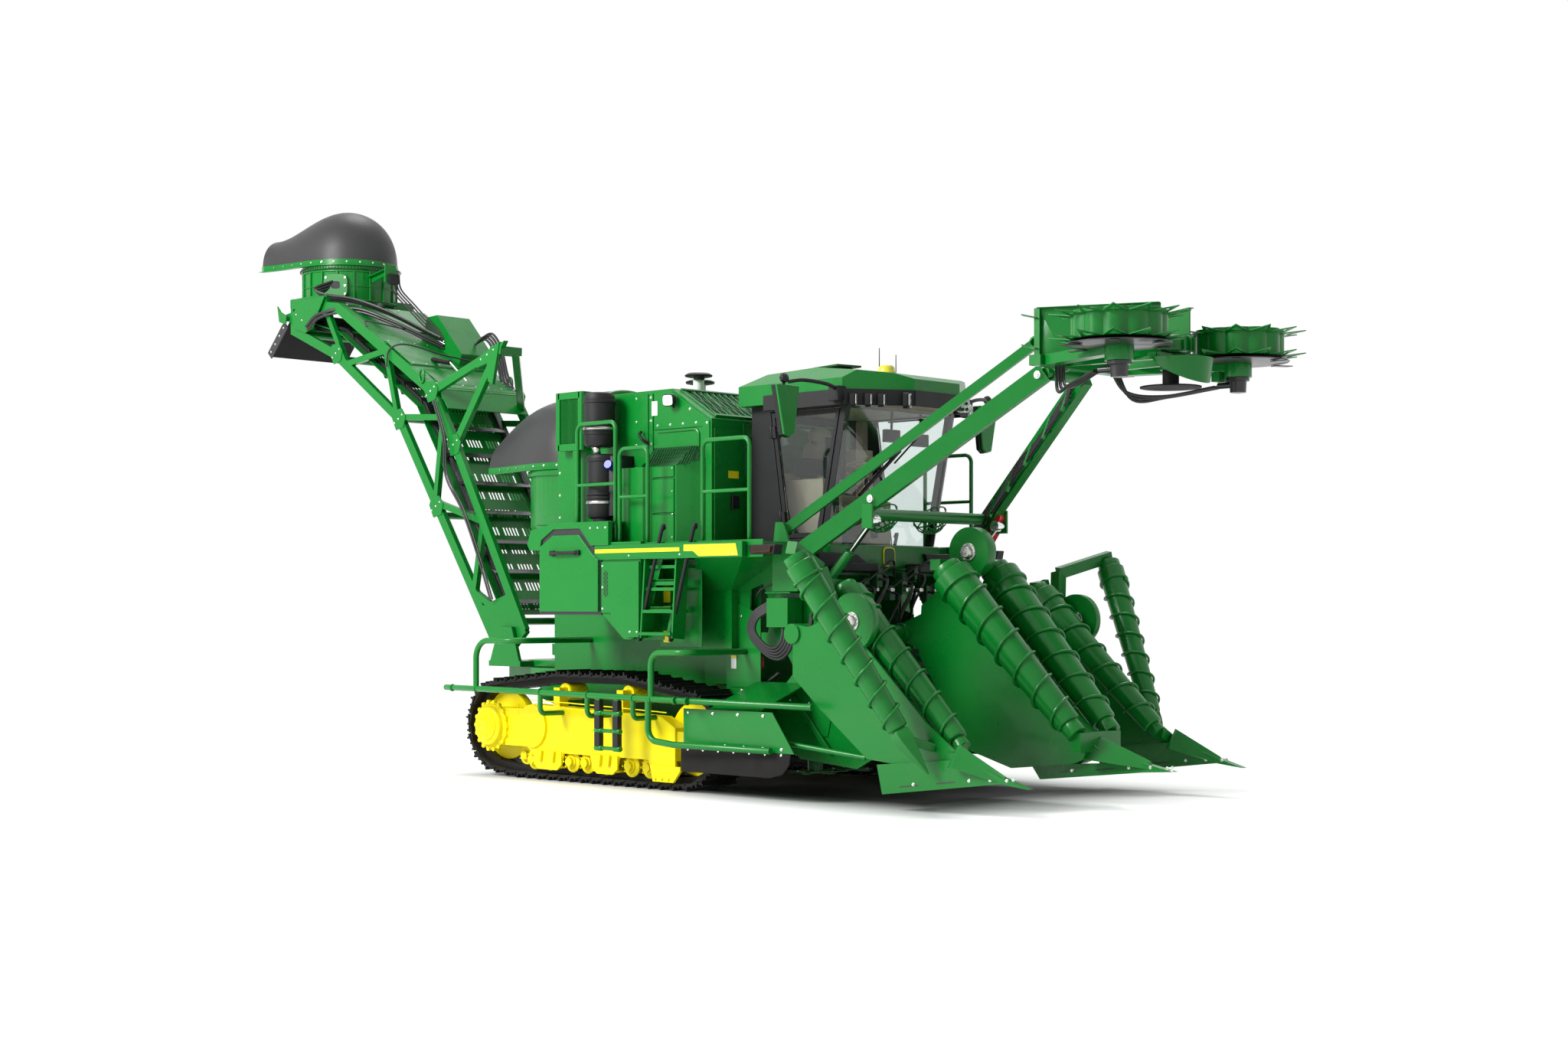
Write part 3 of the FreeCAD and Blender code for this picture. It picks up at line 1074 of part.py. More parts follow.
def elevator_lift():
    """The elevator's lift cylinder, on the left of the truss."""
    foot = at(ELEVATOR_CYL_FOOT[0], ELEVATOR_CYL_Y, ELEVATOR_CYL_FOOT[1])
    head = at(ELEVATOR_CYL_HEAD[0], ELEVATOR_CYL_Y, ELEVATOR_CYL_HEAD[1])
    return cylinder(foot, head, 60, 0.56, ELEVATOR_EYE_HALF, PIN_R + 5)


def bin_flap():
    """The flap that hangs at the elevator's end and steers the cane into the bin."""
    x, z = FLAP_HINGE
    half = ELEVATOR_Y - 15 - RUN
    fall = FLAP_LENGTH * math.sqrt(0.5)
    plate = side_plate(strip([(x - 20, z - 5), (x - fall, z - fall)], SHEET), 30 - half, half - 30)
    barrel = rod(at(x, -half, z), at(x, half, z), 2 * FLAP_PIN_R)
    return plate.fuse(barrel).cut(rod(at(x, -900, z), at(x, 900, z), FLAP_PIN_R + PIN_GAP))


def air_intakes():
    """The air cleaner's two canisters at the housing's right rear corner, and the pre-cleaner on the roof."""
    cx, cy = CLEANER
    low, low_top, high, high_top = CLEANER_Z
    shift = 50.0
    lower = rod(at(cx, cy, low), at(cx, cy, low_top), CLEANER_R)
    back = box((cx, cx + 240), (cy, -HOUSING_Y - SEAT), (DECK_Z + SEAT, low_top))
    neck = rod(at(cx - shift, cy, low_top), at(cx - shift, cy, high), 60)
    upper = rod(at(cx - shift, cy, high), at(cx - shift, cy, high_top), CLEANER_R)
    stem = rod(at(790, 300, HOUSING_TOP_Z + SEAT), at(790, 300, 4080), 60)
    cap = cone(at(790, 300, 4080), at(790, 300, 4130), 150, 110)
    return [fuse([lower, back, neck, upper]), stem.fuse(cap)]


def work_lamps():
    """Lamps under the slanted front edges of the cab's roof, and the beacon on the roof."""
    top = CAB_ROOF_Z[0]
    nose_x, nose_y = ROOF_NOSE
    lamps = []
    for share in LAMP_SHARES:
        x = ROOF_CORNER_X + (nose_x - ROOF_CORNER_X) * share - 110
        y = ROOF_Y + (nose_y - ROOF_Y) * share - 60
        lamps += pair(box((x, x + 80), (-y - 70, -y + 70), (top - 95, top)))
    bx, by = BEACON
    foot = CAB_ROOF_Z[1] + SEAT
    base = rod(at(bx, by, foot), at(bx, by, foot + 40), 85)
    return lamps + [base.fuse(cone(at(bx, by, foot + 40), at(bx, by, foot + 95), 80, 60))]


def knockdown_roller():
    """The finned roller across the throat that bends the cane forward."""
    x, z = KNOCKDOWN
    half = FRONT_Y - PLATE - RUN
    parts = [wheel(x, z, 110, -half, half), wheel(x, z, KNOCKDOWN_SHAFT_R, -FRONT_Y, FRONT_Y)]
    for k in range(8):
        fin = box((x + 100, x + 190), (-half + 60, half - 60), (z - 6, z + 6))
        fin.rotate(at(x, 0, z), V(0, 1, 0), 45.0 * k)
        parts.append(fin)
    return fuse(parts)


def base_cutter(y):
    """One base cutter: a disc with blades under its upright leg."""
    x, z = CUTTER_BASE
    parts = [rod(at(x, y, z), at(x, y, z + 16), CUTTER_DISC_R), rod(at(x, y, z), at(x, y, CUTTER_TOP_Z - SEAT), 70)]
    for k in range(5):
        blade = box((x + CUTTER_DISC_R - 60, x + CUTTER_DISC_R + 50), (y - 32, y + 32), (z - 8, z))
        blade.rotate(at(x, y, z), UP, 72.0 * k)
        parts.append(blade)
    return fuse(parts)


def lift_head(s):
    """The middle of a topper lift cylinder's upper eye."""
    point = on_arm(LIFT_SHARE, s)
    return V(point.x, point.y, point.z - LIFT_DROP)


def strip(points, width):
    """The mitred outline of a band along a broken line of (x, z) points."""
    sides = [[], []]
    for i, (x, z) in enumerate(points):
        turns = []
        for (ax, az), (bx, bz) in zip(points[max(i - 1, 0):], points[max(i, 1):i + 2]):
            length = math.dist((ax, az), (bx, bz))
            turns.append(((az - bz) / length, (bx - ax) / length))
        nx = sum(n[0] for n in turns) / len(turns)
        nz = sum(n[1] for n in turns) / len(turns)
        scale = width / 2 / (nx * nx + nz * nz)
        sides[0].append((x + nx * scale, z + nz * scale))
        sides[1].append((x - nx * scale, z - nz * scale))
    return sides[0] + sides[1][::-1]


def shifted(points, offset):
    """A broken line moved sideways by an offset, to the left of its direction."""
    outline = strip(points, 2 * abs(offset))
    half = outline[: len(points)] if offset > 0 else outline[len(points):][::-1]
    return half


def trimmed(points, cut):
    """A broken line with both ends cut back."""

    def back(a, b):
        share = cut / math.dist(a, b)
        return a[0] + (b[0] - a[0]) * share, a[1] + (b[1] - a[1]) * share

    return [back(points[0], points[1])] + points[1:-1] + [back(points[-1], points[-2])]


def topper_feet(s):
    """On one side, the bracket and pin of the topper's arm, of its lift cylinder and, on the right, of the link."""
    ax, ay, az = ARM_BASE
    dx, dz = LINK_OFFSET
    cheek = ay + PIVOT_HALF + PIN_GAP
    outline = [(ax - 190, 1880), (ax + 130, 1880), (ax + 130, az + 60), (ax + 20, az + 130)]
    if s < 0:
        outline += [(ax + dx + 60, az + dz + 20), (ax + dx + 30, az + dz + 65), (ax + dx - 60, az + dz + 65)]
    foot = [side_plate(outline + [(ax - 190, az + 60)], *sorted((s * cheek, s * (cheek + PLATE))))]
    foot.append(box((ax - 190, ax + 130), sorted((s * (FRONT_Y - PLATE), s * (cheek + PLATE))), (1880, 2010)))
    foot.append(rod(at(ax, s * cheek, az), at(ax, s * (ay - PIVOT_HALF), az), PIN_R))
    if s < 0:
        foot.append(rod(at(ax + dx, -cheek, az + dz), at(ax + dx, -ay + LINK_HALF, az + dz), PIN_R - 5))
    fx, fz = LIFT_FOOT
    fy = lift_head(1).y
    near = fy + LIFT_EYE_HALF + PIN_GAP
    foot.append(box((fx - 70, fx + 70), sorted((s * near, s * (FRONT_Y - PLATE / 2))), (fz - 70, fz + 60)))
    foot.append(rod(at(fx, s * near, fz), at(fx, s * (fy - LIFT_EYE_HALF), fz), PIN_R))
    return foot


def arrow(x, y, half, low, high):
    """An upright triangle across the machine, its point upwards."""
    points = [at(x, y - half, low), at(x, y + half, low), at(x, y, high)]
    return Part.makePolygon(points + points[:1])


def spider(x, z, r, top):
    """The three-armed bracket inside a casing that carries its fan's motor, up to the fan's hub."""
    arms = [rod(at(x, 0, z), at(x, 0, top - SEAT), FAN_MOTOR_R)]
    for k in range(3):
        arm = box((x, x + r - SHEET / 2), (-25, 25), (z, z + 70))
        arm.rotate(at(x, 0, 0), UP, 60.0 + 120.0 * k)
        arms.append(arm)
    return fuse(arms)


# ---- build --------------------------------------------------------------------------------------------------
save("main_frame", main_frame())
save("front_frame", front_frame())
save("side_boxes", pair(side_boxes()) + pair(side_fold()))
save("platforms", pair(platform()))
save("handrails", [r for rail in handrails() for r in pair(rail)])
save("track_right", track())
save("track_left", mirrored(track()))
save("track_rollers", [r for roller in track_rollers() for r in pair(roller)])
save("track_frames", pair(track_frame()))
save("guard_rails", pair(guard_rails()))
save("track_shields", pair(track_shield()))
save("rubber_flaps", pair(rubber_flap()))
save("engine_housing", engine_housing())
save("engine_block", engine_block())
save("cooling_screens", cooling_screens())
save("air_intakes", air_intakes())
save("extractor_drum", extractor_drum())
save("primary_hood", dome(EXTRACTOR_X, 0.0, EXTRACTOR_Z[1], HOOD_R, HOOD_REACH, HOOD_HALF, HOOD_H, full_crown))
save("primary_fan", fan(EXTRACTOR_X, 0.0, EXTRACTOR_Z[1] - FAN_DROP, EXTRACTOR_R - SHEET - RUN, 220.0, 4))
save("cab_shell", cab_shell())
save("cab_roof", cab_roof())
save("cab_glass", cab_glass())
DOOR = cab_door()
save("cab_door", DOOR[0])
save("cab_door_glass", DOOR[1])
save("operator_seat", operator_seat())
save("operator_console", operator_console())
save("cab_mirrors", pair(cab_mirrors()))
save("work_lamps", work_lamps())
save("knockdown_roller", knockdown_roller())
for NAME, ROW, SIDE in (("right_outer", -1, 1), ("right_inner", -1, -1), ("left_inner", 1, -1), ("left_outer", 1, 1)):
    save("base_cutter_" + NAME, base_cutter(ROW * (ROW_Y + SIDE * CUTTER_Y)))
save("divider_right", side_divider())
save("divider_left", mirrored(side_divider()))
save("divider_centre", centre_divider())
for NAME, TOP, FOOT, R0, R1 in (
    ("outer", OUTER_TOP, OUTER_FOOT, 125.0, 90.0),
    ("inner", INNER_TOP, INNER_FOOT, 150.0, 100.0),
    ("centre", CENTRE_TOP, CENTRE_FOOT, 185.0, 115.0),
):
    LEFT = scroll(TOP, FOOT, R0, R1)
    save("scroll_" + NAME + "_left", LEFT)
    save("scroll_" + NAME + "_right", mirrored(LEFT))
save("topper_arms", topper_arms())
save("topper_link", topper_link())
save("topper_head", topper_head())
save("topper_drum_right", topper_drum(-1))
save("topper_drum_left", topper_drum(1))
save("topper_cutter", topper_cutter())
BARRELS, RODS = topper_lift()
save("topper_lift_barrels", BARRELS)
save("topper_lift_rods", RODS)
save("slew_table", slew_table())
save("elevator_frame", elevator_frame())
save("elevator_chain", elevator_chain())
BARREL, STEM = elevator_lift()
save("elevator_lift_barrel", BARREL)
save("elevator_lift_rod", STEM)
SECOND_HOOD = dome(SECOND_X, SECOND_TURN, SECOND_Z[1], SECOND_R + 20, SECOND_REACH, SECOND_HALF, SECOND_HOOD_H, drawn_crown)
save("secondary_hood", SECOND_HOOD)
save("secondary_fan", fan(SECOND_X, 0.0, SECOND_Z[1] - SECOND_FAN_DROP, SECOND_R - SHEET - RUN, 150.0, 4))
save("bin_flap", bin_flap())
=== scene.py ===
# %% [markdown]
# # Dressing a sugarcane harvester
# A two-row sugarcane harvester stands on steel tracks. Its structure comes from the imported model, which this
# script loads as a fixed frame. What follows adds the finishes, and the pieces whose surfaces are easier to
# describe with a formula than with solids: track shoes, lifting scrolls, moulded hoods, hoses and bolts.
# Lengths are metres, +X points forward, +Y to the machine's left and +Z up.

# %% Load the frame
import json
import math

import bpy
import numpy as np
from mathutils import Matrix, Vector


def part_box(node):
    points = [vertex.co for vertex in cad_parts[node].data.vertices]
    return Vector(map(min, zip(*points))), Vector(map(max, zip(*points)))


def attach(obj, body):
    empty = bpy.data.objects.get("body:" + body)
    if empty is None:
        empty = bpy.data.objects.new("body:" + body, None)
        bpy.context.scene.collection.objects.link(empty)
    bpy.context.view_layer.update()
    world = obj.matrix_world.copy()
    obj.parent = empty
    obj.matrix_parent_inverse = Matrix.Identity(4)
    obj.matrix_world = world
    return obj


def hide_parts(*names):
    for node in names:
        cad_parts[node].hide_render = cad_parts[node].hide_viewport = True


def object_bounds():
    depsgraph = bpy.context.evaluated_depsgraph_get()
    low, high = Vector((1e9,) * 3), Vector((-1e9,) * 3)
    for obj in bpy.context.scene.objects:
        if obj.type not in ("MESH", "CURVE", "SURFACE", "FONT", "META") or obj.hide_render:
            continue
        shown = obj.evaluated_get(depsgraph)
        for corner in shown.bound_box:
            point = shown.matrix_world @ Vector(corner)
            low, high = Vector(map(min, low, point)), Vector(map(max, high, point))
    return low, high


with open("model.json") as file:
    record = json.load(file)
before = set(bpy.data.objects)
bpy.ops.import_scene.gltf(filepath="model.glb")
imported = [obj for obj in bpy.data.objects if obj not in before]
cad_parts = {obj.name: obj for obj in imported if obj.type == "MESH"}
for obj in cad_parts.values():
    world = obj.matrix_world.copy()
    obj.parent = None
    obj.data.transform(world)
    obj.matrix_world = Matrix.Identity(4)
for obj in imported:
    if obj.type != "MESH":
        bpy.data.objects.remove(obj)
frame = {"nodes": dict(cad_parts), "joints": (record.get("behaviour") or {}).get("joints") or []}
CAD_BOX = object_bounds()
NODES = frame["nodes"]

# %% [markdown]
# ## Where things are
# Places along the machine are stations: metres forward of a line 250 mm behind the engine housing's rear
# wall. Reading that wall from the frame keeps every added piece beside the part that carries it.

# %% Stations
HOUSE_LOW = np.array(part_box("engine_housing")[0])
ZERO = HOUSE_LOW[0] - 0.25
DECK_Z = HOUSE_LOW[2]
DECK_TOP = DECK_Z + 0.005  # where what stands on the deck begins
AHEAD, LEFT, RIGHT, UP = (1, 0, 0), (0, 1, 0), (0, -1, 0), (0, 0, 1)


def st(x, y, z):
    """The point at a station x, as an array."""
    return np.array([ZERO + x, y, z], float)


def pts(*rows):
    """Several points, each given as station, width and height."""
    return np.array(rows, float) + [ZERO, 0, 0]


print("station zero at x =", round(ZERO, 3), "deck at z =", round(DECK_Z, 3))

# %% [markdown]
# ## Surfaces from numpy
# A shape is kept as a pair: an array of points and a list of faces. Grids carry the curved surfaces and
# prisms the folded plates. Whole arrays are worked out at once, which is quick and keeps each formula in
# one line.

# %% Grids and prisms
def grid_faces(nu, nv, wrap_u=False, wrap_v=False):
    """Quads over a grid of nu by nv points; a wrapped side joins its last row to its first."""
    i, j = np.meshgrid(np.arange(nu - (not wrap_u)), np.arange(nv - (not wrap_v)), indexing="ij")
    i2, j2 = (i + 1) % nu, (j + 1) % nv
    return np.stack([i * nv + j, i2 * nv + j, i2 * nv + j2, i * nv + j2], -1).reshape(-1, 4).tolist()


def volume(shape):
    """Six times the volume inside a closed shape: the sum of the triangle fans' triple products."""
    points, faces = shape
    total = 0.0
    for n in {len(f) for f in faces}:
        corners = points[np.array([f for f in faces if len(f) == n])]
        a, b, c = corners[:, :1], corners[:, 1:-1], corners[:, 2:]
        total += np.einsum("ijk,ijk->", np.broadcast_to(a, b.shape), np.cross(b, c))
    return total


def outward(shape):
    """The same closed shape with its faces pointing out."""
    points, faces = shape
    return (points, [f[::-1] for f in faces]) if volume(shape) < 0 else (points, faces)


def merge(shapes):
    """Several shapes as one: points stacked, face numbers moved up."""
    points, faces, start = [], [], 0
    for p, f in shapes:
        points.append(np.asarray(p, float).reshape(-1, 3))
        faces += [[k + start for k in face] for face in f]
        start += len(points[-1])
    return np.concatenate(points), faces


def prism(outline, low, high, axis="y"):
    """A plate: an outline in the plane across an axis, drawn out from low to high along it."""
    flat = np.array(outline, float)
    n = len(flat)
    k = "xyz".index(axis)
    points = np.zeros((2, n, 3))
    points[:, :, [i for i in range(3) if i != k]] = flat
    points[0, :, k], points[1, :, k] = low, high
    sides = [[i, (i + 1) % n, n + (i + 1) % n, n + i] for i in range(n)]
    return outward((points.reshape(-1, 3), sides + [list(range(n))[::-1], list(range(n, 2 * n))]))


def rect(x0, x1, z0, z1):
    """The outline of a rectangle: two places along it and two heights, or widths."""
    return [(x0, z0), (x1, z0), (x1, z1), (x0, z1)]


def side_plate(outline, low, high):
    """A plate seen from the side: (station, height) pairs between two widths."""
    return prism(np.array(outline, float) + [ZERO, 0], low, high, "y")


def flat_plate(outline, low, high):
    """A plate seen from above: (station, width) pairs between two heights."""
    return prism(np.array(outline, float) + [ZERO, 0], low, high, "z")


def block(x, y, z):
    """A block between two stations, two widths and two heights."""
    return flat_plate([(x[0], y[0]), (x[1], y[0]), (x[1], y[1]), (x[0], y[1])], z[0], z[1])


def mirrored(shape):
    """The same shape on the machine's other side, its faces turned to point out again."""
    points, faces = shape
    return points * [1, -1, 1], [f[::-1] for f in faces]


def both(shapes):
    """The shapes and their mirror images on the machine's other side."""
    return list(shapes) + [mirrored(s) for s in shapes]

# %% [markdown]
# Round things are profiles carried along a path. At each point of the path stands a ring across the path's
# direction; the ring's own axes are turned as little as possible from one point to the next.

# %% Tubes, turned shapes and smooth paths
def unit(v):
    """Vectors of length one, along the last axis."""
    v = np.asarray(v, float)
    return v / np.linalg.norm(v, axis=-1, keepdims=True)


def circle(n):
    """Angles evenly spaced round a full turn."""
    return np.linspace(0, 2 * np.pi, n, endpoint=False)


def round_points(turn):
    """The points of a circle of radius one at some angles, a pair for each."""
    return np.stack([np.cos(turn), np.sin(turn)], -1)


def frames(path, closed=False):
    """Two axes across a path at each point: one carried on with the least turn, the other square to it."""
    ahead = np.roll(path, -1, 0) - np.roll(path, 1, 0)
    if not closed:
        ahead[0], ahead[-1] = path[1] - path[0], path[-1] - path[-2]
    ahead = unit(ahead)
    first = np.eye(3)[np.argmin(np.abs(ahead[0]))]
    rows = []
    for direction in ahead:
        first = unit(first - direction * (first @ direction))
        rows.append(first)
    rows = np.array(rows)
    return rows, np.cross(ahead, rows)


def skin(rings, closed=False):
    """A solid round its rings of points: quads between each two rings, and a cap at either open end."""
    count, sides = rings.shape[:2]
    faces = grid_faces(count, sides, closed, True)
    if not closed:
        last = (count - 1) * sides
        faces += [list(range(sides)), [last + k for k in range(sides)][::-1]]
    return outward((rings.reshape(-1, 3), faces))


def tube(path, radius, sides=12, closed=False):
    """Rings of points at a radius, or one radius for each point, round a path; open ends are capped."""
    path = np.asarray(path, float)
    a, b = frames(path, closed)
    turn = circle(sides)
    r = np.broadcast_to(radius, len(path))[:, None, None]
    ring = a[:, None] * np.cos(turn)[None, :, None] + b[:, None] * np.sin(turn)[None, :, None]
    points = path[:, None] + ring * r
    return skin(points, closed)


def rod(p, q, r, sides=20):
    """A round bar between two points."""
    return tube([p, q], r, sides)


def turned(base, axis, profile, sides=32):
    """A turned shape: (distance along the axis, radius) pairs swept round an axis from a base point."""
    base, axis = np.asarray(base, float), unit(axis)
    rows = np.array(profile, float)
    a = unit(np.cross(axis, np.eye(3)[np.argmin(np.abs(axis))]))
    b = np.cross(axis, a)
    turn = circle(sides)
    ring = a * np.cos(turn)[:, None] + b * np.sin(turn)[:, None]
    points = base + axis * rows[:, None, :1] + ring[None] * rows[:, None, 1:]
    return skin(points)


def bar(p, q, w, h, up=UP):
    """A rectangular bar from p to q, w wide and h high, its height towards up."""
    p, q = np.asarray(p, float), np.asarray(q, float)
    side = unit(np.cross(up, q - p)) * (w / 2)
    high = unit(np.cross(q - p, side)) * (h / 2)
    ring = np.array([-side - high, side - high, side + high, -side + high])
    faces = [[0, 1, 5, 4], [1, 2, 6, 5], [2, 3, 7, 6], [3, 0, 4, 7], [3, 2, 1, 0], [4, 5, 6, 7]]
    return outward((np.concatenate([p + ring, q + ring]), faces))


def smooth(points, steps=8):
    """A cubic curve through all the points: each span blends the slopes at its two ends."""
    p = np.asarray(points, float)
    slope = (np.roll(p, -1, 0) - np.roll(p, 1, 0)) / 2
    slope[0], slope[-1] = p[1] - p[0], p[-1] - p[-2]
    q, m, p0, m0 = p[1:], slope[1:], p[:-1], slope[:-1]
    t = (np.arange(steps) / steps)[None, :, None]
    curve = (2 * t**3 - 3 * t**2 + 1) * p0[:, None] + (t**3 - 2 * t**2 + t) * m0[:, None]
    curve += (3 * t**2 - 2 * t**3) * q[:, None] + (t**3 - t**2) * m[:, None]
    return np.concatenate([curve.reshape(-1, p.shape[1]), p[-1:]])


def rounded(points, r, steps=5):
    """Straight runs whose corners are curves that start r before each corner."""
    p = np.asarray(points, float)
    before = p[1:-1] + unit(p[:-2] - p[1:-1]) * r
    after = p[1:-1] + unit(p[2:] - p[1:-1]) * r
    t = np.linspace(0, 1, steps)[None, :, None]
    bends = before[:, None] * (1 - t) ** 2 + 2 * p[1:-1, None] * t * (1 - t) + after[:, None] * t**2
    return np.concatenate([p[:1], bends.reshape(-1, p.shape[1]), p[-1:]])


def repeat(shape, matrices):
    """One shape at many places: every 4x4 matrix moves a copy, all in one product."""
    points, faces = shape
    m = np.asarray(matrices, float)
    moved = np.einsum("kij,nj->kni", m[:, :3, :3], points) + m[:, None, :3, 3]
    start = np.arange(len(m))[:, None] * len(points)
    out = []
    for n in {len(f) for f in faces}:
        rows = np.array([f for f in faces if len(f) == n]).reshape(-1)
        out += (start + rows[None]).reshape(-1, n).tolist()
    return moved.reshape(-1, 3), out


def loft(*rings):
    """A closed solid through rings of equally many points, each given in stations, its ends capped."""
    rows = np.array(rings, float) + [ZERO, 0, 0]
    n, last = rows.shape[1], (len(rows) - 1) * rows.shape[1]
    caps = [list(range(n))[::-1], [last + k for k in range(n)]]
    return outward((rows.reshape(-1, 3), grid_faces(len(rows), n, False, True) + caps))


def placed(origins, normals):
    """Matrices that stand a shape's +Z along each normal at each origin."""
    z = unit(np.broadcast_to(np.asarray(normals, float), np.shape(origins)))
    other = np.where(np.abs(z[:, 2:]) < 0.9, [[0.0, 0.0, 1.0]], [[1.0, 0.0, 0.0]])
    x = unit(np.cross(other, z))
    m = np.zeros((len(z), 4, 4))
    m[:, :3, 0], m[:, :3, 1], m[:, :3, 2] = x, np.cross(z, x), z
    m[:, :3, 3], m[:, 3, 3] = origins, 1
    return m

# %% [markdown]
# ## Making a piece
# A finished piece is one mesh at the origin that rides on a body of the frame. Edges get a small bevel,
# because real folded and cut steel never ends in a perfectly sharp line, and that line of light is what the
# eye reads.

# %% Make a piece
made = []


def soft_edges(obj, width, degrees):
    """A small round on every edge whose faces meet at more than an angle."""
    edge = obj.modifiers.new("edges", "BEVEL")
    edge.width, edge.segments, edge.limit_method = width, 2, "ANGLE"
    edge.angle_limit = math.radians(degrees)
    edge.harden_normals = True


def piece(name, shapes, finish, body="chassis", bevel=0.0, angle=38, stands_for=()):
    """A mesh object from shapes, with its finish, its modifiers and the body that it rides on."""
    points, faces = merge(shapes)
    mesh = bpy.data.meshes.new(name)
    mesh.from_pydata(points.tolist(), [], faces)
    mesh.validate()
    mesh.shade_smooth()
    mesh.set_sharp_from_angle(angle=math.radians(angle))
    obj = bpy.data.objects.new(name, mesh)
    bpy.context.scene.collection.objects.link(obj)
    mesh.materials.append(finish)
    if bevel:
        soft_edges(obj, bevel, angle)
    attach(obj, body)
    if stands_for:
        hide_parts(*stands_for)
    made.append(name)
    print(f"{name}: {len(points)} points, {len(faces)} faces on {body}")
    return obj

# %% [markdown]
# ## Effects that several finishes share
# Sprayed paint is never one flat colour: its tone drifts a little from panel to panel, it has a fine ripple
# like orange peel, and field dust lies low on the machine and on what faces up. Each effect is one node
# group.

# %% Node helpers
def sockets(group, inputs, outputs):
    """Named sockets of a group: inputs with their defaults, outputs with their kind."""
    for name, value in inputs.items():
        kind = "NodeSocketColor" if isinstance(value, tuple) else "NodeSocketFloat"
        group.interface.new_socket(name, in_out="INPUT", socket_type=kind).default_value = value
    for name, kind in outputs.items():
        group.interface.new_socket(name, in_out="OUTPUT", socket_type="NodeSocket" + kind)


def node(tree, kind, **settings):
    """A shader node with its settings."""
    n = tree.nodes.new("ShaderNode" + kind)
    for key, value in settings.items():
        setattr(n, key, value)
    return n


def feed(tree, target, value):
    """Joins a socket to a target, or writes a plain value into it."""
    if isinstance(value, bpy.types.NodeSocket):
        tree.links.new(value, target)
    else:
        target.default_value = value


def calc(tree, operation, *values, clamp=False):
    """One sum, product or the like of values or sockets."""
    n = node(tree, "Math", operation=operation, use_clamp=clamp)
    for socket, value in zip(n.inputs, values):
        feed(tree, socket, value)
    return n.outputs[0]


def mixed(tree, share, a, b):
    """Colour a turned into colour b by a share."""
    n = node(tree, "Mix", data_type="RGBA")
    feed(tree, n.inputs[0], share)
    feed(tree, n.inputs[6], a)
    feed(tree, n.inputs[7], b)
    return n.outputs[2]


def noise(tree, where, scale, detail=2.0, roughness=0.5):
    """A noise between 0 and 1 over a place, a scale per metre."""
    n = node(tree, "TexNoise")
    feed(tree, n.inputs["Vector"], where)
    feed(tree, n.inputs["Scale"], scale)
    n.inputs["Detail"].default_value = detail
    n.inputs["Roughness"].default_value = roughness
    return n.outputs["Fac"]


def spread(tree, value, low, high, to_low=0.0, to_high=1.0):
    """A value's range from low to high laid over another range, kept within it."""
    n = node(tree, "MapRange")
    for socket, v in zip(n.inputs, (value, low, high, to_low, to_high)):
        feed(tree, socket, v)
    return n.outputs[0]


def group(name, inputs, outputs):
    """A new group with its sockets, its first node and its last."""
    tree = bpy.data.node_groups.new(name, "ShaderNodeTree")
    sockets(tree, inputs, outputs)
    return tree, tree.nodes.new("NodeGroupInput").outputs, tree.nodes.new("NodeGroupOutput").inputs


def place_of(tree):
    """The point on the object, in metres."""
    return tree.nodes.new("ShaderNodeTexCoord").outputs["Object"]

# %% Group: tone
def tone_group():
    """Colour drift: two noises, broad and fine, lighten and darken a colour by a share."""
    tree, start, end = group("tone", {"Colour": (0.5, 0.5, 0.5, 1.0), "Amount": 0.1, "Scale": 1.0},
                             {"Colour": "Color"})
    where = place_of(tree)
    broad = noise(tree, where, start["Scale"], 3.0)
    fine = noise(tree, where, calc(tree, "MULTIPLY", start["Scale"], 9.0), 4.0)
    both_noises = calc(tree, "ADD", calc(tree, "MULTIPLY", broad, 0.65), calc(tree, "MULTIPLY", fine, 0.35))
    swing = calc(tree, "MULTIPLY", calc(tree, "SUBTRACT", both_noises, 0.5), start["Amount"])
    value = calc(tree, "ADD", calc(tree, "MULTIPLY", swing, 4.0), 1.0)
    shade = tree.nodes.new("ShaderNodeHueSaturation")
    feed(tree, shade.inputs["Color"], start["Colour"])
    feed(tree, shade.inputs["Value"], value)
    feed(tree, shade.inputs["Hue"], calc(tree, "ADD", calc(tree, "MULTIPLY", swing, 0.04), 0.5))
    feed(tree, end["Colour"], shade.outputs[0])
    return tree

# %% Group: dust
def dust_group():
    """A mask of dust: more on what faces up and low on the machine, broken up by noise."""
    tree, start, end = group("dust", {"Amount": 0.2, "Height": 1.6}, {"Mask": "Float"})
    where = place_of(tree)
    split = tree.nodes.new("ShaderNodeSeparateXYZ")
    feed(tree, split.inputs[0], where)
    low = spread(tree, split.outputs["Z"], 0.0, start["Height"], 1.0, 0.0)
    facing = tree.nodes.new("ShaderNodeSeparateXYZ")
    feed(tree, facing.inputs[0], tree.nodes.new("ShaderNodeNewGeometry").outputs["Normal"])
    up = spread(tree, facing.outputs["Z"], 0.3, 1.0, 0.0, 0.6)
    cloud = spread(tree, noise(tree, where, 2.2, 6.0, 0.65), 0.42, 0.72)
    mask = calc(tree, "MULTIPLY", calc(tree, "ADD", low, up), cloud)
    feed(tree, end["Mask"], calc(tree, "MULTIPLY", mask, start["Amount"], clamp=True))
    return tree

# %% Group: ripple
def ripple_group():
    """Height of a fine ripple: a noise at the spray's scale and a slow wave of the sheet under it."""
    tree, start, end = group("ripple", {"Scale": 220.0, "Wave": 0.3}, {"Height": "Float"})
    where = place_of(tree)
    fine = noise(tree, where, start["Scale"], 2.0)
    slow = noise(tree, where, 1.7, 1.0)
    feed(tree, end["Height"], calc(tree, "ADD", fine, calc(tree, "MULTIPLY", slow, start["Wave"])))
    return tree

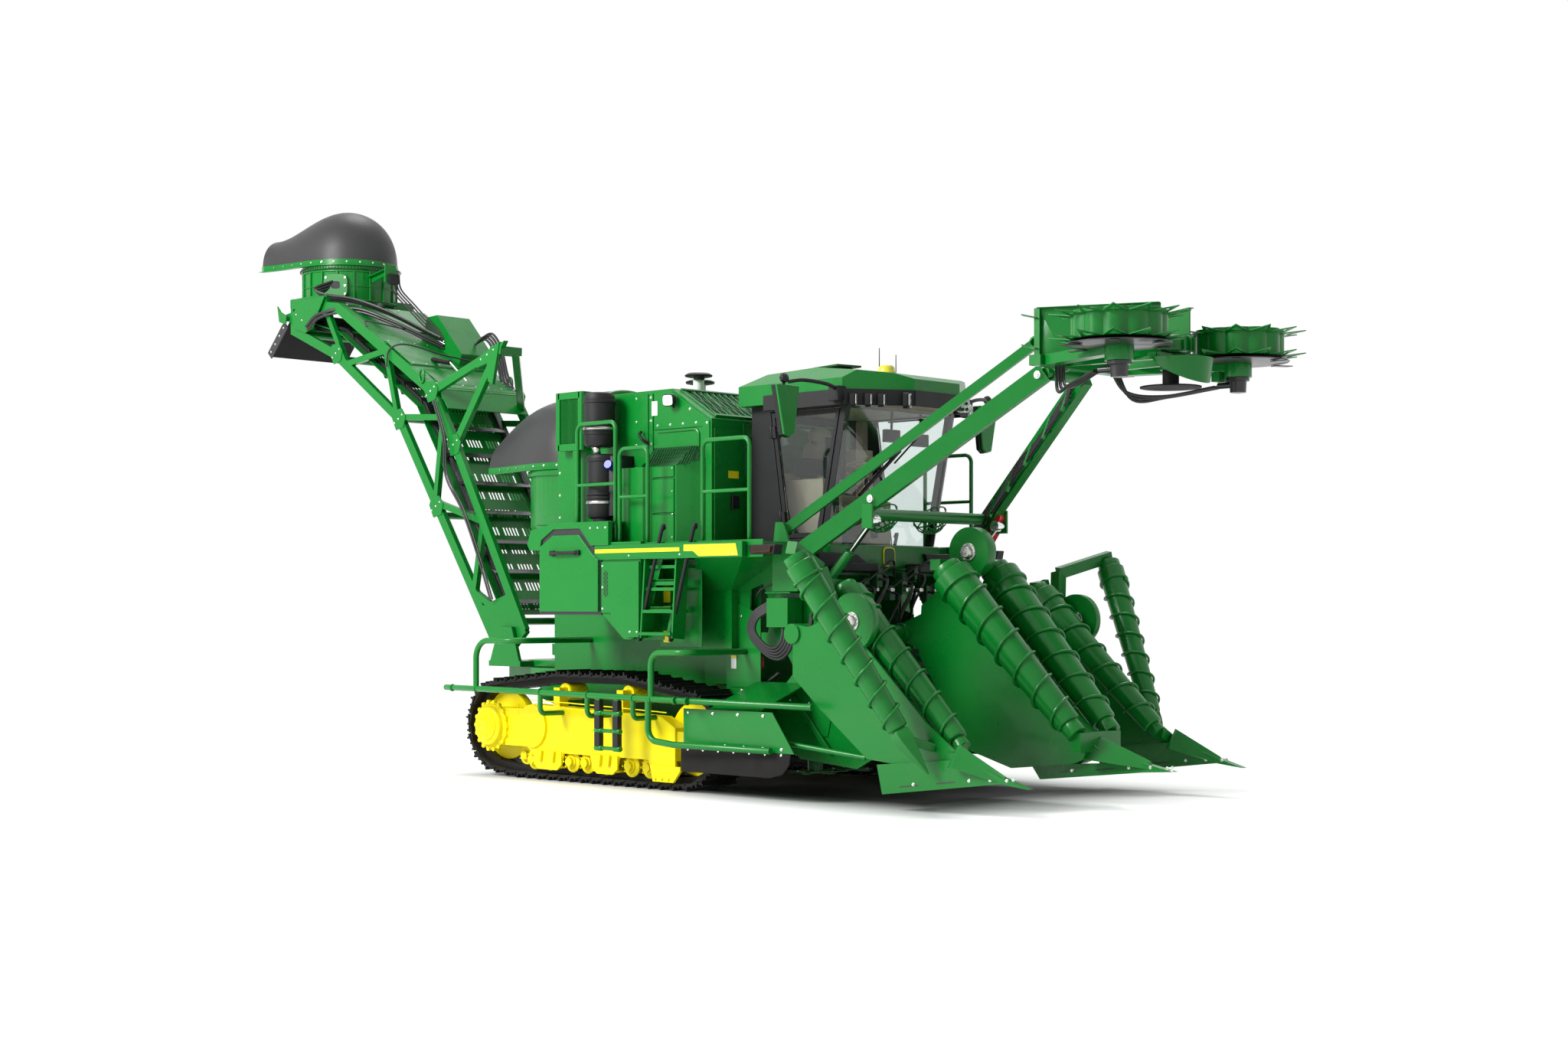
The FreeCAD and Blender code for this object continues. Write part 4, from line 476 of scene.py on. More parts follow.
# %% Group: scuffs
def scuff_group():
    """A mask of short scratches: a noise drawn out along one direction and cut to thin lines."""
    tree, start, end = group("scuffs", {"Amount": 0.3, "Scale": 6.0}, {"Mask": "Float"})
    stretch = tree.nodes.new("ShaderNodeMapping")
    feed(tree, stretch.inputs["Vector"], place_of(tree))
    stretch.inputs["Rotation"].default_value = (0.3, 0.5, 0.2)
    stretch.inputs["Scale"].default_value = (1.0, 9.0, 14.0)
    lines = noise(tree, stretch.outputs[0], start["Scale"], 5.0, 0.7)
    mask = spread(tree, lines, 0.62, 0.7)
    patch = spread(tree, noise(tree, place_of(tree), 1.1, 2.0), 0.5, 0.7)
    feed(tree, end["Mask"], calc(tree, "MULTIPLY", calc(tree, "MULTIPLY", mask, patch), start["Amount"]))
    return tree


GROUPS = {"tone": tone_group(), "dust": dust_group(), "ripple": ripple_group(), "scuffs": scuff_group()}
print("node groups:", ", ".join(GROUPS))

# %% [markdown]
# ## Finishes
# Each finish is one material with its shader in plain sight. The groups feed it colours, masks and heights;
# the clear coat, the metal and the glass are numbers on the shader itself, so that they carry over when it
# is baked.

# %% Material helper
DUST = (0.3, 0.23, 0.15, 1.0)


def use(tree, name, **values):
    """Places a shared group in a material with its own values and returns its outputs."""
    n = tree.nodes.new("ShaderNodeGroup")
    n.node_tree = GROUPS[name]
    for key, value in values.items():
        feed(tree, n.inputs[key], value)
    return n.outputs


def new_material(name):
    """A material, its node tree and its shader."""
    material = bpy.data.materials.new(name)
    material.use_nodes = True
    return material, material.node_tree, material.node_tree.nodes["Principled BSDF"]


def relief(tree, shader, height, depth):
    """Bends the shader's normal by a height, at a depth in metres."""
    bump = tree.nodes.new("ShaderNodeBump")
    bump.inputs["Distance"].default_value = depth
    feed(tree, bump.inputs["Height"], height)
    feed(tree, shader.inputs["Normal"], bump.outputs["Normal"])


def finish(name, colour, rough, metal=0.0, tone=0.05, tone_scale=1.0, dust=0.08, ripple=(260.0, 0.25, 0.0004),
           rough_swing=0.06, scuffs=0.0, scuff_colour=(0.25, 0.25, 0.25, 1.0), coat=0.0, coat_rough=0.08,
           ior=1.5):
    """A painted, cast or moulded surface. ripple is its scale, the slow wave's share and the bump's depth."""
    material, tree, shader = new_material(name)
    base = use(tree, "tone", Colour=colour, Amount=tone, Scale=tone_scale)["Colour"]
    if scuffs:
        mask = use(tree, "scuffs", Amount=scuffs)["Mask"]
        base = mixed(tree, mask, base, scuff_colour)
    dirt = use(tree, "dust", Amount=dust)["Mask"]
    feed(tree, shader.inputs["Base Color"], mixed(tree, dirt, base, DUST))
    drift = spread(tree, noise(tree, place_of(tree), 3.5, 4.0), 0.3, 0.7, rough - rough_swing,
                   rough + rough_swing)
    feed(tree, shader.inputs["Roughness"],
         calc(tree, "ADD", drift, calc(tree, "MULTIPLY", dirt, 0.5), clamp=True))
    shader.inputs["Metallic"].default_value = metal
    shader.inputs["IOR"].default_value = ior
    shader.inputs["Coat Weight"].default_value = coat
    shader.inputs["Coat Roughness"].default_value = coat_rough
    relief(tree, shader, use(tree, "ripple", Scale=ripple[0], Wave=ripple[1])["Height"], ripple[2])
    return material

# %% Paints
GREEN = finish("green_paint", (0.0005, 0.195, 0.02, 1.0), 0.3, coat=0.1, tone=0.03, tone_scale=0.7, dust=0.02,
               ior=1.38)
DARK_GREEN = finish("dark_green_paint", (0.0015, 0.075, 0.012, 1.0), 0.42, coat=0.1, dust=0.04, ior=1.38)
YELLOW = finish("yellow_paint", (0.92, 0.78, 0.0, 1.0), 0.4, coat=0.05, tone=0.02, dust=0.03, ior=1.3)
STRIPE = finish("stripe_yellow", (0.95, 0.78, 0.008, 1.0), 0.38, coat=0.2, tone=0.015, dust=0.0)
MATT = finish("matt_black", (0.01, 0.011, 0.01, 1.0), 0.62, dust=0.0, ior=1.22)
BLACK = finish("black_paint", (0.012, 0.012, 0.013, 1.0), 0.38, coat=0.25, dust=0.05)
RED = finish("warning_red", (0.8, 0.012, 0.018, 1.0), 0.32, coat=0.4, dust=0.0)
WHITE = finish("blank_label", (0.82, 0.82, 0.8, 1.0), 0.45, dust=0.0, tone=0.02)
print("paints made")

# %% Metals, plastics and rubber
SHOE = finish("track_steel", (0.01, 0.01, 0.01, 1.0), 0.5, metal=0.08, tone=0.12, tone_scale=4.0, dust=0.03,
              ripple=(90.0, 0.4, 0.0012), scuffs=0.25, scuff_colour=(0.06, 0.06, 0.06, 1.0), ior=1.3)
STEEL = finish("bare_steel", (0.5, 0.49, 0.47, 1.0), 0.3, metal=1.0, tone=0.06, tone_scale=6.0, dust=0.05,
               scuffs=0.3)
ROD = finish("chromed_rod", (0.78, 0.78, 0.79, 1.0), 0.1, metal=1.0, tone=0.01, dust=0.0, rough_swing=0.03)
BOLT = finish("zinc_bolts", (0.72, 0.73, 0.7, 1.0), 0.28, metal=0.9, tone=0.05, tone_scale=30.0, dust=0.0)
HOOD = finish("hood_plastic", (0.04, 0.04, 0.041, 1.0), 0.42, tone=0.03, dust=0.02,
              ripple=(520.0, 0.12, 0.0005), ior=1.38)
PLASTIC = finish("black_plastic", (0.01, 0.01, 0.011, 1.0), 0.46, tone=0.04, dust=0.02,
                 ripple=(700.0, 0.05, 0.0006), ior=1.35)
RUBBER = finish("rubber", (0.01, 0.01, 0.01, 1.0), 0.62, tone=0.06, dust=0.03, ripple=(320.0, 0.2, 0.0008),
                ior=1.25)
HOSE = finish("hose_rubber", (0.014, 0.014, 0.014, 1.0), 0.42, tone=0.05, tone_scale=8.0, dust=0.03,
              ripple=(380.0, 0.1, 0.0006))
TRIM = finish("cab_trim", (0.4, 0.33, 0.24, 1.0), 0.6, tone=0.05, dust=0.02, ripple=(600.0, 0.1, 0.0008))
print("metals, plastics and rubber made")

# %% [markdown]
# Glass keeps a plain transmission so that it can be exported. The panes here are thin solids, lightly
# tinted, and a lamp's lens is clear with fine flutes. The marker lamp's lens is the same glass in amber; the
# beacon's cap is a glossy yellow paint.

# %% Glass
def glass(name, tint, rough=0.0, flutes=0.0):
    """A clear pane or lens: full transmission, with an optional ribbed bump."""
    material, tree, shader = new_material(name)
    feed(tree, shader.inputs["Base Color"], use(tree, "tone", Colour=tint, Amount=0.01, Scale=0.5)["Colour"])
    shader.inputs["Roughness"].default_value = rough
    shader.inputs["Transmission Weight"].default_value = 1.0
    shader.inputs["IOR"].default_value = 1.45
    wave = node(tree, "TexWave", bands_direction="Y")
    feed(tree, wave.inputs["Vector"], place_of(tree))
    wave.inputs["Scale"].default_value = 40.0
    ripple = use(tree, "ripple", Scale=2.0, Wave=0.5)["Height"]
    flute = calc(tree, "MULTIPLY", wave.outputs["Fac"], flutes)
    relief(tree, shader, calc(tree, "ADD", flute, ripple), 0.0004)
    return material


PANE = glass("window_glass", (0.86, 0.92, 0.9, 1.0))
LENS = glass("lamp_lens", (0.95, 0.96, 0.96, 1.0), 0.02, 1.0)
AMBER = glass("amber_lens", (0.95, 0.3, 0.03, 1.0), 0.15, 0.5)
BEACON = finish("beacon_yellow", (0.95, 0.85, 0.02, 1.0), 0.2, coat=0.6, dust=0.0)
BOWL = finish("lamp_reflector", (0.9, 0.9, 0.9, 1.0), 0.12, metal=1.0, dust=0.0, ripple=(60.0, 0.0, 0.002))
print("glass and lamps made")

# %% [markdown]
# Woven seat cloth is two sets of threads crossing. Two waves at right angles, one along each direction,
# give the over and under of the yarn; a third noise makes single threads a little lighter or darker.

# %% Seat cloth
def cloth(name, colour, other):
    """Woven cloth in two shades of thread."""
    material, tree, shader = new_material(name)
    heights = []
    for direction in "XYZ":
        wave = node(tree, "TexWave", bands_direction=direction)
        feed(tree, wave.inputs["Vector"], place_of(tree))
        wave.inputs["Scale"].default_value = 170.0
        heights.append(wave.outputs["Fac"])
    weave = calc(tree, "MULTIPLY", calc(tree, "MAXIMUM", heights[0], heights[1]), heights[2])
    fleck = spread(tree, noise(tree, place_of(tree), 240.0, 3.0), 0.35, 0.65)
    thread = mixed(tree, calc(tree, "MULTIPLY", fleck, 0.5), colour, other)
    feed(tree, shader.inputs["Base Color"], mixed(tree, calc(tree, "MULTIPLY", weave, 0.3), thread, other))
    shader.inputs["Roughness"].default_value = 0.88
    shader.inputs["Sheen Weight"].default_value = 0.25
    relief(tree, shader, weave, 0.0008)
    return material


CLOTH = cloth("seat_cloth", (0.4, 0.33, 0.24, 1.0), (0.2, 0.16, 0.11, 1.0))
print("seat cloth made")

# %% [markdown]
# ## Finishes of the frame's own nodes
# Most of the model's solids keep their shape and only take a finish. The loose triangles that come in are
# welded by a modifier first, so that a small bevel can run round every plate's edge.

# %% Paint the frame
FINISH_OF = {"track_right": SHOE, "track_left": SHOE, "track_rollers": YELLOW, "track_frames": YELLOW,
             "rubber_flaps": RUBBER, "engine_block": BLACK, "air_intakes": PLASTIC, "primary_hood": HOOD,
             "secondary_hood": HOOD, "primary_fan": BLACK, "secondary_fan": BLACK, "cab_glass": PANE,
             "cab_door_glass": PANE, "operator_seat": CLOTH, "operator_console": TRIM, "cab_mirrors": PLASTIC,
             "work_lamps": LENS, "cab_shell": PLASTIC, "cab_door": PLASTIC, "topper_cutter": MATT,
             "elevator_chain": BLACK, "elevator_lift_barrel": BLACK, "elevator_lift_rod": ROD,
             "topper_lift_rods": ROD, "knockdown_roller": DARK_GREEN, "bin_flap": RUBBER}
for cutter in ("right_outer", "right_inner", "left_inner", "left_outer"):
    FINISH_OF["base_cutter_" + cutter] = DARK_GREEN
PLAIN_EDGES = {"cab_glass", "cab_door_glass", "engine_block", "primary_fan", "secondary_fan"}

for name, obj in NODES.items():
    obj.data.materials.clear()
    obj.data.materials.append(FINISH_OF.get(name, GREEN))
    if name not in PLAIN_EDGES:
        weld = obj.modifiers.new("weld", "WELD")
        weld.merge_threshold = 0.00005
        soft_edges(obj, 0.004, 40)
print("frame nodes painted:", len(NODES))

# %% [markdown]
# ## Tracks
# A steel track is a chain of forged links, each with a pressed shoe bolted on. The shoe's section, a plate
# with three low ridges, could be modelled once and instanced; here one shoe and its links are copied along
# the loop by a single matrix product, which keeps the whole track one mesh.

# %% The line of the chain
def round_wheels(circles, count):
    """Points evenly spaced round a belt over circles (station, height, radius), and its forward directions.
    For every direction the belt touches the circle that reaches furthest: one maximum gives the outline."""
    c = np.array(circles, float)
    turn = circle(1440)
    out = round_points(turn)
    reach = c[:, :2] @ out.T + c[:, 2:]
    best = reach.argmax(0)
    line = c[best, :2] + c[best, 2:] * out
    ring = np.concatenate([line, line[:1]])
    length = np.concatenate([[0], np.cumsum(np.linalg.norm(np.diff(ring, axis=0), axis=1))])
    want = np.arange(count) / count * length[-1]
    xz = np.stack([np.interp(want, length, ring[:, 0]), np.interp(want, length, ring[:, 1])], 1)
    near = want + 0.02
    ahead = np.stack([np.interp(near, length, ring[:, 0]), np.interp(near, length, ring[:, 1])], 1) - xz
    return xz, unit(ahead)


TRACK_LOW, TRACK_HIGH = (np.array(corner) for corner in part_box("track_right"))
TRACK_MID = (TRACK_LOW[1] + TRACK_HIGH[1]) / 2
TRACK_WIDE = TRACK_HIGH[1] - TRACK_LOW[1]
CHAIN_H, RIDGE_H = 0.095, 0.035
SPROCKET, IDLER = (-0.31, 0.52, 0.355), (2.51, 0.497, 0.355)
ROLLERS = [(0.06 + 0.345 * k, 0.225, 0.095) for k in range(7)]
CARRIERS = [(0.67, 0.892, 0.088), (1.61, 0.892, 0.088)]
SHOES = 48
places, heading = round_wheels([SPROCKET, IDLER, *CARRIERS, (0.0, 0.225, 0.095), (2.3, 0.225, 0.095)], SHOES)
PITCH = np.linalg.norm(places[1] - places[0])
print("shoe pitch", round(PITCH, 3))

# %% Shoes and links
def shoe():
    """One shoe: a plate with three ridges that laps over the next one, drawn across the track's width.
    It leans by a small slope, so that its raised rear lies over its neighbour's lowered front."""
    half = PITCH / 2 + 0.016
    top, root = CHAIN_H + RIDGE_H - 0.006, CHAIN_H - 0.006
    section = [(-half, CHAIN_H - 0.026), (half - 0.01, CHAIN_H - 0.026), (half, CHAIN_H - 0.016),
               (half, root)]
    for s, h in ((half - 0.024, top - 0.006), (0.008, top - 0.016), (-half + 0.034, top)):
        section += [(s + 0.012, root), (s + 0.006, h), (s - 0.006, h), (s - 0.014, root)]
    section = np.array(section + [(-half, root)])
    section[:, 1] -= section[:, 0] * 0.07
    return prism(section, -TRACK_WIDE / 2 + 0.004, TRACK_WIDE / 2 - 0.004, "y")


def link(side):
    """One link: a waisted plate with a round pin boss, beside the middle of the chain."""
    y = side * 0.075
    half = PITCH / 2
    outline = [(-half - 0.02, 0.012), (-half, 0.0), (half - 0.03, 0.0), (half + 0.02, 0.02),
               (half + 0.02, 0.058)]
    outline += [(half * 0.4, CHAIN_H - 0.023), (-half - 0.01, CHAIN_H - 0.023)]
    plate = prism(outline, y - 0.018, y + 0.018, "y")
    boss = turned((half - 0.012, y - 0.03, 0.036), LEFT,
                  [(0, 0.026), (0.004, 0.03), (0.056, 0.03), (0.06, 0.026)], 10)
    return [plate, boss]


def track_places(mid):
    """Matrices that lay +X along the chain's heading and +Z away from the wheels."""
    m = np.zeros((SHOES, 4, 4))
    m[:, 0, 0], m[:, 2, 0] = heading[:, 0], heading[:, 1]
    m[:, 1, 1] = -1.0
    m[:, 0, 2], m[:, 2, 2] = heading[:, 1], -heading[:, 0]
    m[:, 0, 3], m[:, 1, 3], m[:, 2, 3], m[:, 3, 3] = places[:, 0] + ZERO, mid, places[:, 1], 1.0
    return m


def chain_core(mid, half=0.13, low=0.006, high=CHAIN_H - 0.03):
    """A band that closes the gaps between the shoes: four edges carried round inside the loop."""
    out = np.stack([heading[:, 1], -heading[:, 0]], 1)
    edges = rect(low, high, -half, half)
    rows = []
    for h, y in edges:
        x, z = (places + out * h).T
        rows.append(np.column_stack([x + ZERO, np.full(SHOES, mid + y), z]))
    rows = np.stack(rows, 1)
    return outward((rows.reshape(-1, 3), grid_faces(SHOES, 4, True, True)))


heads = turned((0, 0, CHAIN_H - 0.005), UP, [(0, 0.017), (0.011, 0.017), (0.013, 0.014)], 6)
shift = placed(np.array([[0.028, y, 0.0] for y in (-0.1, -0.055, 0.055, 0.1)]), [[0, 0, 1.0]])
one_shoe = merge([shoe(), *link(-1), *link(1), repeat(heads, shift)])
for side, mid in (("right", TRACK_MID), ("left", -TRACK_MID)):
    cores = [chain_core(mid), chain_core(mid, TRACK_WIDE / 2 - 0.012, CHAIN_H - 0.034, CHAIN_H - 0.012)]
    piece(f"track_shoes_{side}", [repeat(one_shoe, track_places(mid))] + cores, SHOE,
          angle=30, stands_for=("track_" + side,))

# %% [markdown]
# The rollers, sprockets and idlers are plain discs in the model. Over them go the parts that show past the
# side beam: toothed rims, flanged rollers with their capped ends, the bolted drive cover and the guards.

# %% Sprocket and rollers
def toothed_rim(x, z, r, y0, y1, teeth=23):
    """A sprocket's rim: its radius swings with a rounded square wave, one tooth every few degrees."""
    turn = circle(teeth * 8)
    edge = r - 0.022 + 0.02 * np.tanh(2.5 * np.cos(teeth * turn))
    ring = round_points(turn)
    outer, inner = ring * edge[:, None], ring * (r * 0.72)
    loops = [(outer, y0), (outer, y1), (inner, y1), (inner, y0)]
    rows = np.array([[(ZERO + x + p[0], y, z + p[1]) for p in loop] for loop, y in loops])
    return outward((rows.reshape(-1, 3), grid_faces(4, len(turn), True, True)))


def bolt_ring(x, y, z, r, count, size=0.014, out=-1.0):
    """Hexagon heads evenly spaced on a circle in a plane across the machine's width."""
    turn = circle(count)
    where = np.stack([ZERO + x + r * np.cos(turn), np.full(count, y), z + r * np.sin(turn)], 1)
    return bolts(where, (0, out, 0), size)


HEX = turned((0, 0, 0), UP, [(-0.002, 1.25), (0.12, 1.25), (0.13, 1.0), (0.72, 1.0), (0.85, 0.82)], 6)


def bolts(where, normals, size=0.012):
    """Hexagon heads on washers, one at each point, standing along its normal."""
    head = (HEX[0] * size, HEX[1])
    return repeat(head, placed(where, normals))


def drive_cover():
    """The final drive: a stepped turned cover with a bolted flange, standing out of the sprocket."""
    x, z, _ = SPROCKET
    steps = [(0.0, 0.235), (0.02, 0.245), (0.035, 0.245), (0.04, 0.225), (0.05, 0.205), (0.085, 0.2),
             (0.095, 0.19)]
    steps += [(0.1, 0.15), (0.112, 0.145), (0.115, 0.06), (0.118, 0.055)]
    return turned(st(x, -1.58, z), RIGHT, steps, 40)


def roller(x, z, r):
    """A double-flanged roller: rim, waist and rim, with a capped axle end outside."""
    rim = [(0, r * 0.5), (0.005, r * 0.95), (0.03, r), (0.045, r * 0.86), (0.2, r * 0.86), (0.215, r),
           (0.24, r * 0.95)]
    rim += [(0.245, r * 0.5)]
    cap = [(0, 0.05), (0.03, 0.05), (0.034, 0.044), (0.038, 0.02)]
    mid = TRACK_MID
    return [turned(st(x, mid + 0.1225, z), RIGHT, rim, 28), turned(st(x, mid - 0.12, z), RIGHT, cap, 18)]


def guard(x0, x1, low):
    """A roller guard: a cropped plate hung under the side beam, with a stiffening lip."""
    outline = [(x0, 0.3), (x0 + 0.05, low), (x1 - 0.05, low), (x1, 0.3)]
    return [side_plate(outline, -1.612, -1.585),
            block((x0 + 0.04, x1 - 0.04), (-1.6, -1.5), (low, low + 0.02))]


running = [toothed_rim(*SPROCKET, TRACK_MID - 0.035, TRACK_MID + 0.035), drive_cover()]
running += [s for r in ROLLERS + CARRIERS for s in roller(*r)]
running += [s for x in (0.4, 1.22) for s in guard(x, x + 0.42, 0.135)]
running += [turned(st(IDLER[0], TRACK_MID - 0.05, IDLER[1]), RIGHT,
                   [(0, 0.16), (0.02, 0.15), (0.05, 0.07), (0.09, 0.06)], 28)]
running += [bolt_ring(SPROCKET[0], -1.622, SPROCKET[1], 0.222, 16, 0.013)]
running += [bolt_ring(SPROCKET[0], -1.692, SPROCKET[1], 0.1, 8, 0.012)]
running += [bolts(pts(*[(x, -1.612, z) for x in (0.46, 0.61, 0.76, 1.28, 1.43, 1.58) for z in (0.26, 0.19)]),
                  RIGHT)]
running += [bolts(pts(*[(x, -1.6, 0.13) for x in np.linspace(2.12, 2.36, 5)]), RIGHT)]
running += [bolts(pts(*[(x, -1.6, 0.22) for x in np.linspace(2.1, 2.38, 3)]), RIGHT)]
piece("running_gear", both(running), YELLOW, bevel=0.003)

# %% [markdown]
# Round the side beam go the small parts: lugs and bolts on the drive cover, hubs on the rollers, the black
# straps of the hanging step, clamps on the rails, and the bolt rows of the track shield with its rubber
# flap.

# %% Beam, step, rails and shield fittings
def around(x, y, z, r, count, shape_r, long, sides=10):
    """Short round lugs on a circle in a plane across the machine's width, standing outward."""
    a = circle(count)
    return [turned(st(x + r * math.cos(k), y, z + r * math.sin(k)), RIGHT, [(0, shape_r), (long, shape_r)],
                   sides) for k in a]


BEAM_Y = -1.598  # just outside the side beam's face
LOWER_ROLLERS = (0.3, 0.53, 0.88, 1.11, 1.38, 1.75, 2.01)
ROLLER_Z = 0.205
lugs = around(SPROCKET[0], -1.595, SPROCKET[1], 0.242, 18, 0.024, 0.035)
hubs = []
for x in LOWER_ROLLERS:
    ring = [(0.0, 0.105), (0.02, 0.108), (0.03, 0.09), (0.035, 0.07), (0.05, 0.066), (0.052, 0.05),
            (0.08, 0.048), (0.085, 0.03)]
    hubs.append(turned(st(x, -1.52, ROLLER_Z), RIGHT, ring, 28))
for x0, x1 in ((0.37, 0.8), (1.26, 1.63)):
    outline = [(x0, 0.3), (x0, 0.17), (x0 + 0.07, 0.115), (x1 - 0.07, 0.115), (x1, 0.17), (x1, 0.3)]
    hubs += [side_plate(outline, -1.622, -1.6)]
    for x in (x0 + 0.12, x1 - 0.12):
        hubs += [side_plate([(x - 0.035, 0.3), (x - 0.02, 0.2), (x + 0.02, 0.2), (x + 0.035, 0.3)], -1.65,
                            -1.62)]
hubs += [side_plate([(2.1, 0.24), (2.14, 0.085), (2.42, 0.085), (2.52, 0.2), (2.52, 0.24)], -1.63, -1.6)]
beads = ([(0.3, BEAM_Y, 0.8), (0.75, BEAM_Y, 0.79), (1.6, BEAM_Y, 0.765), (2.3, BEAM_Y, 0.74)],
         [(0.1, BEAM_Y, 0.36), (0.12, BEAM_Y, 0.58), (0.1, BEAM_Y, 0.76)])
welds = [tube(smooth(pts(*line), 6), 0.007, 6) for line in beads]
turn = circle(28)
welds.append(tube(np.column_stack([ZERO + 0.8 + 0.1 * np.cos(turn), np.full(28, BEAM_Y),
                                   0.7 + 0.045 * np.sin(turn)]), 0.006, 6, closed=True))
piece("beam_fittings", both(lugs + hubs + welds), YELLOW, bevel=0.003)
spots = [bolt_ring(x, -1.606, ROLLER_Z, 0.055, 6, 0.008) for x in LOWER_ROLLERS]
spots += [bolts(pts(*[(x, -1.632, 0.115) for x in (2.18, 2.27, 2.36)]), RIGHT, 0.012)]
piece("roller_bolts", both(spots), YELLOW)
RAIL_Y = -1.89
STRAPS_X = (1.64, 1.9)
straps = [block((x - 0.008, x + 0.068), (RAIL_Y - 0.03, RAIL_Y + 0.026), (z, z + h)) for x in STRAPS_X
          for z, h in ((0.415, 0.125), (0.58, 0.125), (0.75, 0.1))]
piece("step_straps", straps, PLASTIC, bevel=0.004)
collar = [(-0.05, 0.024), (-0.045, 0.028), (0.045, 0.028), (0.05, 0.024)]
ends = [turned(st(x + 0.03, RAIL_Y, z), AHEAD, collar, 14) for x in STRAPS_X for z in (0.395, 0.56, 0.73)]
rings = []
for x in (-0.6, -0.21, 0.8, 1.5, 2.15, 2.4, 2.72, 2.88):
    z = 0.908 - 0.028 * max(0.0, (x - 0.3) / 2.2)
    rings.append(turned(st(x, RAIL_Y, z), AHEAD,
                        [(-0.014, 0.031), (-0.014, 0.037), (0.014, 0.037), (0.014, 0.031)], 18))
piece("rail_clamps", ends + rings, GREEN, bevel=0.002)
wall_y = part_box("track_shields")[0].y
rows = [bolts(pts(*[(x, wall_y - 0.002, z) for x in np.linspace(x0, x1, n)]), RIGHT, 0.013)
        for x0, x1, n, z in ((2.76, 3.95, 6, 0.475), (2.76, 3.72, 4, 0.765), (2.76, 3.95, 7, 0.425))]
piece("shield_bolts", rows, BOLT)
fold = loft([(2.69, wall_y + 0.002, 0.79), (2.72, wall_y - 0.012, 0.79), (3.0, wall_y + 0.001, 0.79)],
            [(2.69, wall_y + 0.002, 0.45), (2.72, wall_y - 0.014, 0.45), (3.22, wall_y + 0.001, 0.45)])
piece("shield_fold", [fold], GREEN)
skirt = [side_plate([(2.66, 0.44), (4.06, 0.44), (4.04, 0.34), (3.96, 0.255), (3.8, 0.215), (2.66, 0.215)],
                    wall_y - 0.004, wall_y + 0.012)]
piece("shield_skirt", skirt, RUBBER, bevel=0.004)

# %% [markdown]
# ## Lifting scrolls
# Each scroll is a tapered steel drum with a square bar wound round it and a plain collar at its upper end.
# The bar is a helix whose radius shrinks with the drum, so its path is one formula: angle grows with
# length, radius falls.

# %% Scroll drums and flights
JOINTS = {j["name"]: j for j in frame["joints"]}


def scroll_axis(name):
    """The scroll's middle and the direction from its foot to its upper end, both from its joint."""
    joint = JOINTS["scroll_spin_" + name]
    axis = unit(joint["axis"])
    return np.array(joint["pos_m"]), axis * np.sign(axis[2])


def scroll(name, long, r_top, r_foot, turns=6.5, hand=1.0):
    """A lifting scroll: tapered drum, collar, inset end plates and the wound bar."""
    middle, axis = scroll_axis(name)
    foot = middle - axis * long / 2
    taper = (r_top - r_foot) / long
    drum = [(0.0, r_foot * 0.5), (0.0, r_foot - 0.012), (0.006, r_foot - 0.004), (0.02, r_foot)]
    drum += [(long - 0.13, r_top - 0.13 * taper), (long - 0.129, r_top + 0.006),
             (long - 0.008, r_top + 0.008)]
    drum += [(long, r_top), (long, r_top - 0.016), (long - 0.03, r_top - 0.022), (long - 0.03, r_top * 0.4)]
    a = unit(np.cross(axis, [0.0, 1.0, 0.0]))
    b = np.cross(axis, a)
    t = np.linspace(0.0, 1.0, int(turns * 36))
    angle = hand * 2 * np.pi * turns * t
    along = 0.05 + (long - 0.22) * t
    radius = r_foot + taper * along + 0.009 + 0.006 * np.minimum(1.0, np.minimum(t, 1 - t) * 30)
    outwards = a * np.cos(angle)[:, None] + b * np.sin(angle)[:, None]
    path = foot + axis * along[:, None] + outwards * radius[:, None]
    band = [(0, r_top + 0.01), (0.004, r_top + 0.02), (0.022, r_top + 0.02), (0.026, r_top + 0.01)]
    rings = turned(foot + axis * (long - 0.155), axis, band, 48)
    return [turned(foot, axis, drum, 48), tube(path, 0.0125, 8), rings]


SCROLLS = {"outer": (1.626, 0.125, 0.09, 6.5), "inner": (1.762, 0.15, 0.1, 6.0),
           "centre": (1.799, 0.185, 0.115, 6.0)}
for kind, (long, r_top, r_foot, turns) in SCROLLS.items():
    for side, hand in (("left", -1.0), ("right", 1.0)):
        name = f"{kind}_{side}"
        piece(f"scroll_skin_{name}", scroll(name, long, r_top, r_foot, turns, hand), GREEN, "scroll_" + name,
              bevel=0.002, stands_for=("scroll_" + name,))

# %% [markdown]
# ## Extractor hoods
# The two hoods are moulded plastic shells: a dome over the fan that is drawn out to one side into a wide,
# drooping mouth. One surface serves both. Its plan is a half circle that runs into a parallel mouth, and
# its height follows a smooth fall from the crown to the lip, so no seam shows between the dome and the
# spout.

